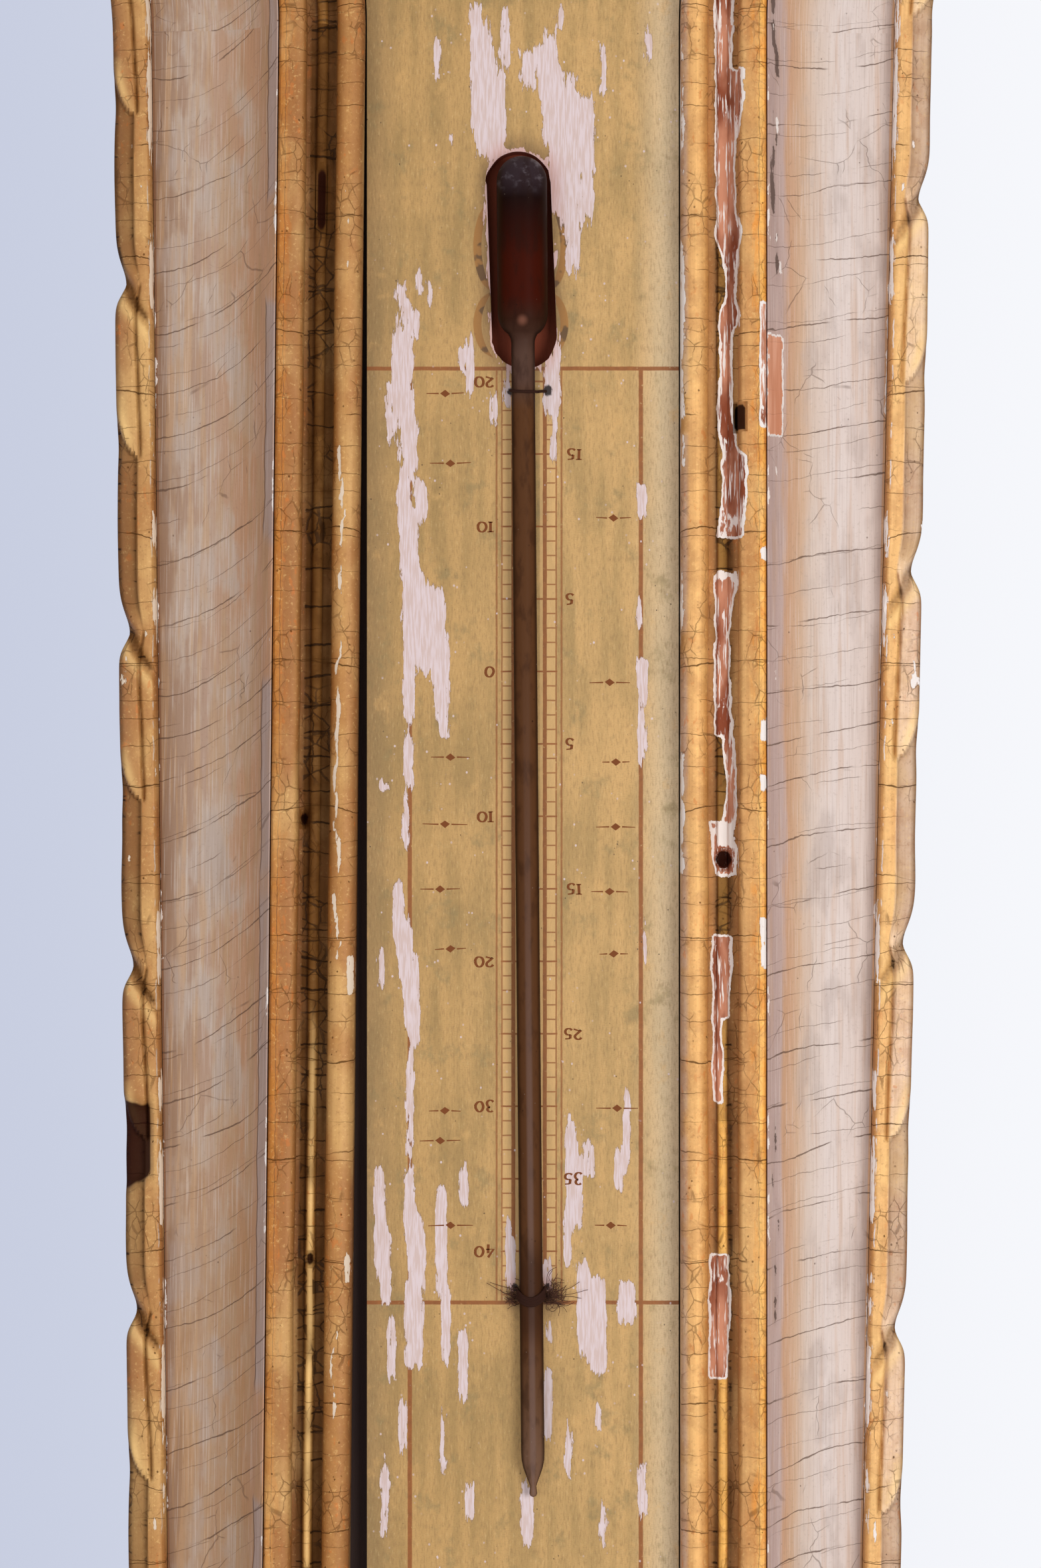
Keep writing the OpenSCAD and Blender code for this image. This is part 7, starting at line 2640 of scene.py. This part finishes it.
    def leaf(self, side: int, name: str) -> None:
        """A leaf with lobes and a midrib, bending down beside the arch.

        Args:
            side: 1 on the right and -1 on the left.
            name: the object's name.
        """
        o = OUTLINE
        corner_r = float(self.block_radius(np.array([-14.0]))[0])
        corner = polar(corner_r, math.radians(-14), (0.0, self.fan_y))
        heel = polar(self.clear, math.radians(40), (side * o.edge_arch_x, o.neck_top))
        root_a = math.atan2(*(corner - heel)[::-1]) - math.pi / 2
        root = (corner + heel) / 2 + polar(0.1, root_a)
        bend = 42.0
        centre = root + polar(bend, root_a - math.pi / 2)
        u = np.linspace(0, 1, 90)[:, None]
        a = root_a - math.radians(74) * u
        lobes = 1 - 0.24 * np.abs(np.sin(u * 4 * math.pi)) ** 0.7
        w = 1.2 + 8.6 * np.sin(np.radians(25 + 150 * u)) ** 1.5 * lobes * (1 - 0.25 * u)
        k = np.linspace(-1, 1, 19)[None, :]
        lift = 0.62 + 0.2 * np.cos(k * math.pi * 2.0) * (np.abs(k) > 0.12) + 0.38 * ridge(k, 0.0, 0.09)
        lift = lift - 0.35 * k ** 4 + 0.08 * np.sin(u * 60 + np.abs(k) * 6)
        rise = (9 - 4 * u) * np.clip(lift, 0.05, 1.0)
        top = with_height(polar(bend + w * k, a + math.pi / 2, centre), 18.0 + rise)
        ends = top[:, [-1, 0]].copy()
        ends[..., 2] = 18.0
        rings = np.concatenate([top, ends], axis=1)
        rings[..., 0] *= side
        dark = np.hstack([np.clip(0.75 - lift, 0, 0.6), 0.5 + 0 * ends[..., 2]])
        self.carve(name, rings, dark, name)

    def foot(self) -> None:
        """The hanging leaf at the foot."""
        frame_r, drop, ribs = OUTLINE.dial_sight_r + OUTLINE.edge_in + OUTLINE.edge_w, 30.0, 7
        u = np.linspace(0, 1, ribs * 16 + 1)[:, None]
        a = np.radians(188 + 164 * u)
        rib = np.abs(np.sin(u * ribs * math.pi)) ** 0.7
        out = 15 + (drop - 10) * np.maximum(0, -np.sin(a)) ** 2 - 4 * (1 - rib)
        v = np.linspace(0, 1, 14)[None, :]
        r = 2 + v * (out - 2)
        h = 8 - 5.6 * np.clip((v - 0.25) / 0.75, 0, 1) ** 1.5 + (0.3 + 1.7 * v * (1.2 - v)) * rib
        r = np.hstack([2 + 0 * a, r, out - 0.8])
        h = np.hstack([0 * a, h, 0 * a])
        rings = with_height(polar(r, a, (0.0, 5 - frame_r)), 18.3 + h)
        dark = np.hstack([0 * a, np.clip(1 - rib * 1.6, 0, 1) * 0.6 + 0 * v, 0 * a + 0.5])
        self.carve("foot_carving", rings, dark, "foot_leaf")

    def build(self) -> None:
        """Make every piece of the crest and foot."""
        self.block()
        self.shell()
        self.button()
        self.scroll(1, "crest_scroll_right")
        self.scroll(-1, "crest_scroll_left")
        self.leaf(1, "crest_leaf_right")
        self.leaf(-1, "crest_leaf_left")
        self.foot()


@dataclass(frozen=True)
class Siphon:
    """The threads and the mercury behind the dial, whose lengths change as the float moves."""

    limb: float = 6.5
    bend_r: float = 9.0
    depth: float = 6.6
    thread_r: float = 0.25
    mercury_r: float = 2.55
    float_top: float = -46.0
    weight_top: float = -53.0
    low_level: float = -61.0
    bend: float = -86.0
    high_level: float = 697.0

    def rod(self, name: str, path: Sequence, r: float, finish: Finish, node: str, slot: str,
            moves: str = "") -> None:
        """Make a round rod along points in the plane of the tubes.

        Args:
            name: the piece's name.
            path: points as x and y in millimetres.
            r: its radius.
            finish: the material.
            node: the CAD node that it stands for.
            slot: the record's material slot.
            moves: the body meant for its last point; it is passed on but not acted on, and a rod given one is
                tied to no body. Without it, the rod stays with the case.
        """
        at = np.array(path, float)
        along = np.gradient(at, axis=0)
        along /= np.linalg.norm(along, axis=1, keepdims=True)
        turn = np.linspace(0, 2 * math.pi, 24, endpoint=False)
        side = r * np.cos(turn)
        x = at[:, :1] - along[:, 1:] * side
        y = at[:, 1:] + along[:, :1] * side
        rings = np.stack([x, y, self.depth + r * np.sin(turn) + 0 * x], axis=-1)
        ends = to_world(np.array([[*at[0], self.depth], [*at[-1], self.depth]]))
        Surface(name, rings, stretch=(moves, *ends) if moves else ()).build(finish, [node], slot)

    def build(self) -> None:
        """Make the thread over the pulley and down both sides, and the mercury in two lengths."""
        x, r = self.limb, self.bend_r
        thread, metal = (self.thread_r, Finish.THREAD), (self.mercury_r, Finish.MERCURY)
        over = polar(x, np.linspace(0, math.pi, 33))
        self.rod("pulley_line", over, *thread, "pulley_thread", "thread")
        self.rod("float_line", [(x, 0), (x, self.float_top)], *thread, "float_thread", "thread", "float")
        drop, rise = [(-x, 0), (-x, self.weight_top)], [(x, self.bend), (x, self.low_level)]
        self.rod("counterweight_line", drop, *thread, "counterweight_thread", "thread", "counterweight")
        self.rod("mercury_rise", rise, *metal, "mercury", "mercury", "float")
        foot = polar(r, np.linspace(math.pi, 2 * math.pi, 25), (x + r, self.bend))
        column = np.vstack([foot, [(x + 2 * r, self.high_level)]])
        self.rod("mercury_column", column, *metal, "mercury", "mercury")


class CadPieces:
    """Gives the CAD nodes that stay as they are their finishes."""

    finishes: dict = {
        Finish.WOOD: ["back_plank", "foot_block"],
        Finish.BRASS: ["board_pins", "dial_seat", "seat_screws", "hinge_leaf", "hinge_screws", "hinge_pin",
                       "bezel", "glass_bush", "set_hand", "set_knob", "pulley", "arbor_bush", "rear_bridge",
                       "tube_straps"],
        Finish.GLASS: ["dial_glass", "siphon_tube", "guide_tube"],
        Finish.BLUED: ["hand"],
        Finish.STEEL: ["arbor"],
        Finish.IRON: ["bridge_screws", "strap_screws", "hanger", "frame_screws"],
        Finish.DIAL: ["dial"],
        Finish.OPAL: ["float_weight", "counterweight"],
    }

    def build(self) -> None:
        """Set the materials and smooth the turned faces."""
        for finish, names in self.finishes.items():
            for name in names:
                obj = frame["nodes"][name]
                obj.data.materials.clear()
                obj.data.materials.append(finish.material())
                for polygon in obj.data.polygons:
                    polygon.material_index = 0
                    polygon.use_smooth = True
                obj.data.set_sharp_from_angle(angle=math.radians(28))


@dataclass(frozen=True)
class Stage:
    """Camera, backdrop and light."""

    middle: tuple = (0.00047, -0.4586)
    distance: float = 0.9
    view_height: float = 0.3148
    fade: float = 130.0

    def camera(self) -> None:
        """A camera in front of the neck, turned upside down as the picture is."""
        data = bpy.data.cameras.new("camera")
        data.sensor_width = 36.0
        data.lens = 36.0 * self.distance / self.view_height
        data.clip_start = 0.01
        cam = in_scene("camera", data)
        x, z = self.middle
        cam.location = (x, -(self.distance + BOARD_H * MM), z)
        cam.matrix_world = (Matrix.Translation(cam.location) @ Matrix.Rotation(math.pi / 2, 4, "X")
                            @ Matrix.Rotation(math.pi, 4, "Z"))
        bpy.context.scene.camera = cam

    def backdrop(self) -> None:
        """A sheet behind the barometer, seen from the front only, glowing with painted light from white to
        blue-grey.
        """
        sh = Shader("backdrop")
        # Painted light: the sheet glows, white on the object's left and blue-grey on its right.
        spread = sh.ease(sh.place()[0], -self.fade, self.fade)
        glow = sh.node("Emission", {"Color": sh.mix(spread, rgb(247, 248, 252), rgb(199, 205, 224))})
        behind = sh.node("NewGeometry").outputs["Backfacing"]
        clear = sh.node("BsdfTransparent").outputs[0]
        choose = sh.node("MixShader", {0: behind, 1: glow.outputs[0], 2: clear})
        sh.put(sh.out.inputs["Surface"], choose.outputs[0])
        mesh = bpy.data.meshes.new("backdrop")
        corners = [(-1.6, 0.004, -2.0), (1.6, 0.004, -2.0), (1.6, 0.004, 1.2), (-1.6, 0.004, 1.2)]
        mesh.from_pydata(corners, [], [(0, 1, 2, 3)])
        mesh.update()
        if mesh.polygons[0].normal.y > 0:
            mesh.flip_normals()
        mesh.materials.append(sh.mat)
        in_scene("backdrop", mesh)

    def lamp(self, name: str, place: tuple, aim: tuple, size: float, watts: float, colour: tuple) -> None:
        """A square area lamp that looks at a point.

        Args:
            name: its name.
            place: where it stands.
            aim: the point it looks at.
            size: its side in metres.
            watts: its power.
            colour: its colour.
        """
        data = bpy.data.lights.new(name, "AREA")
        data.size = size
        data.energy = watts
        data.color = colour
        obj = in_scene(name, data)
        obj.location = place
        obj.rotation_euler = (Vector(aim) - Vector(place)).to_track_quat("-Z", "Y").to_euler()

    def world(self) -> None:
        """Pale surroundings, white where the camera sees them."""
        world = bpy.data.worlds.new("surroundings")
        bpy.context.scene.world = world
        world.use_nodes = True
        sky = Nodes(world.node_tree)
        path = sky.node("LightPath").outputs
        seen = sky.either(path["Is Camera Ray"], path["Is Glossy Ray"], path["Is Transmission Ray"])
        back = sky.node("Background", {"Color": sky.mix(seen, (0.40, 0.40, 0.41), (0.90, 0.92, 0.97))})
        sky.node("OutputWorld", {"Surface": back.outputs[0]})

    def build(self) -> None:
        """Set up everything around the object."""
        self.camera()
        self.backdrop()
        self.world()
        x, z = self.middle
        self.lamp("key", (-0.45, -0.85, z + 0.06), (x, 0, z), 0.4, 4.6, (1.0, 0.98, 0.95))
        self.lamp("fill", (0.45, -0.95, z - 0.10), (x, 0, z), 0.8, 2.7, (1.0, 0.99, 1.0))
        bpy.context.scene.view_settings.view_transform = "Standard"


def build_frame() -> None:
    """Make the mouldings, coves and carved edge."""
    sight, cove = SightMoulding(), Cove()
    lower = lower_stations(1.5)
    sight.build("sight_moulding_lower_right", lower, 1)
    sight.build("sight_moulding_lower_left", lower.mirrored(), -1)
    sight.build("sight_moulding_top", arch_stations(1.2), 0)
    cove.build("cove_lower_right", lower, 1, "lower")
    cove.build("cove_lower_left", lower.mirrored(), -1, "lower")
    cove.build("cove_top", arch_stations(1.2), 1, "arch")
    for side, word in ((1, "right"), (-1, "left")):
        at = neck_stations(side, 1.2)
        sight.build("sight_moulding_" + word, at, side)
        cove.build("cove_" + word, at, side, "neck")
    CarvedEdge().build()


def main() -> None:
    """Build the whole scene."""
    logging.basicConfig(level=logging.INFO)
    CadPieces().build()
    build_frame()
    for piece in (ScaleBoard(), ScaleNumbers(), Thermometer(), Ties(), Dial(), Siphon(), Crest(), Stage()):
        piece.build()
        log.info("%s is built", type(piece).__name__)


if __name__ == "__main__":
    main()
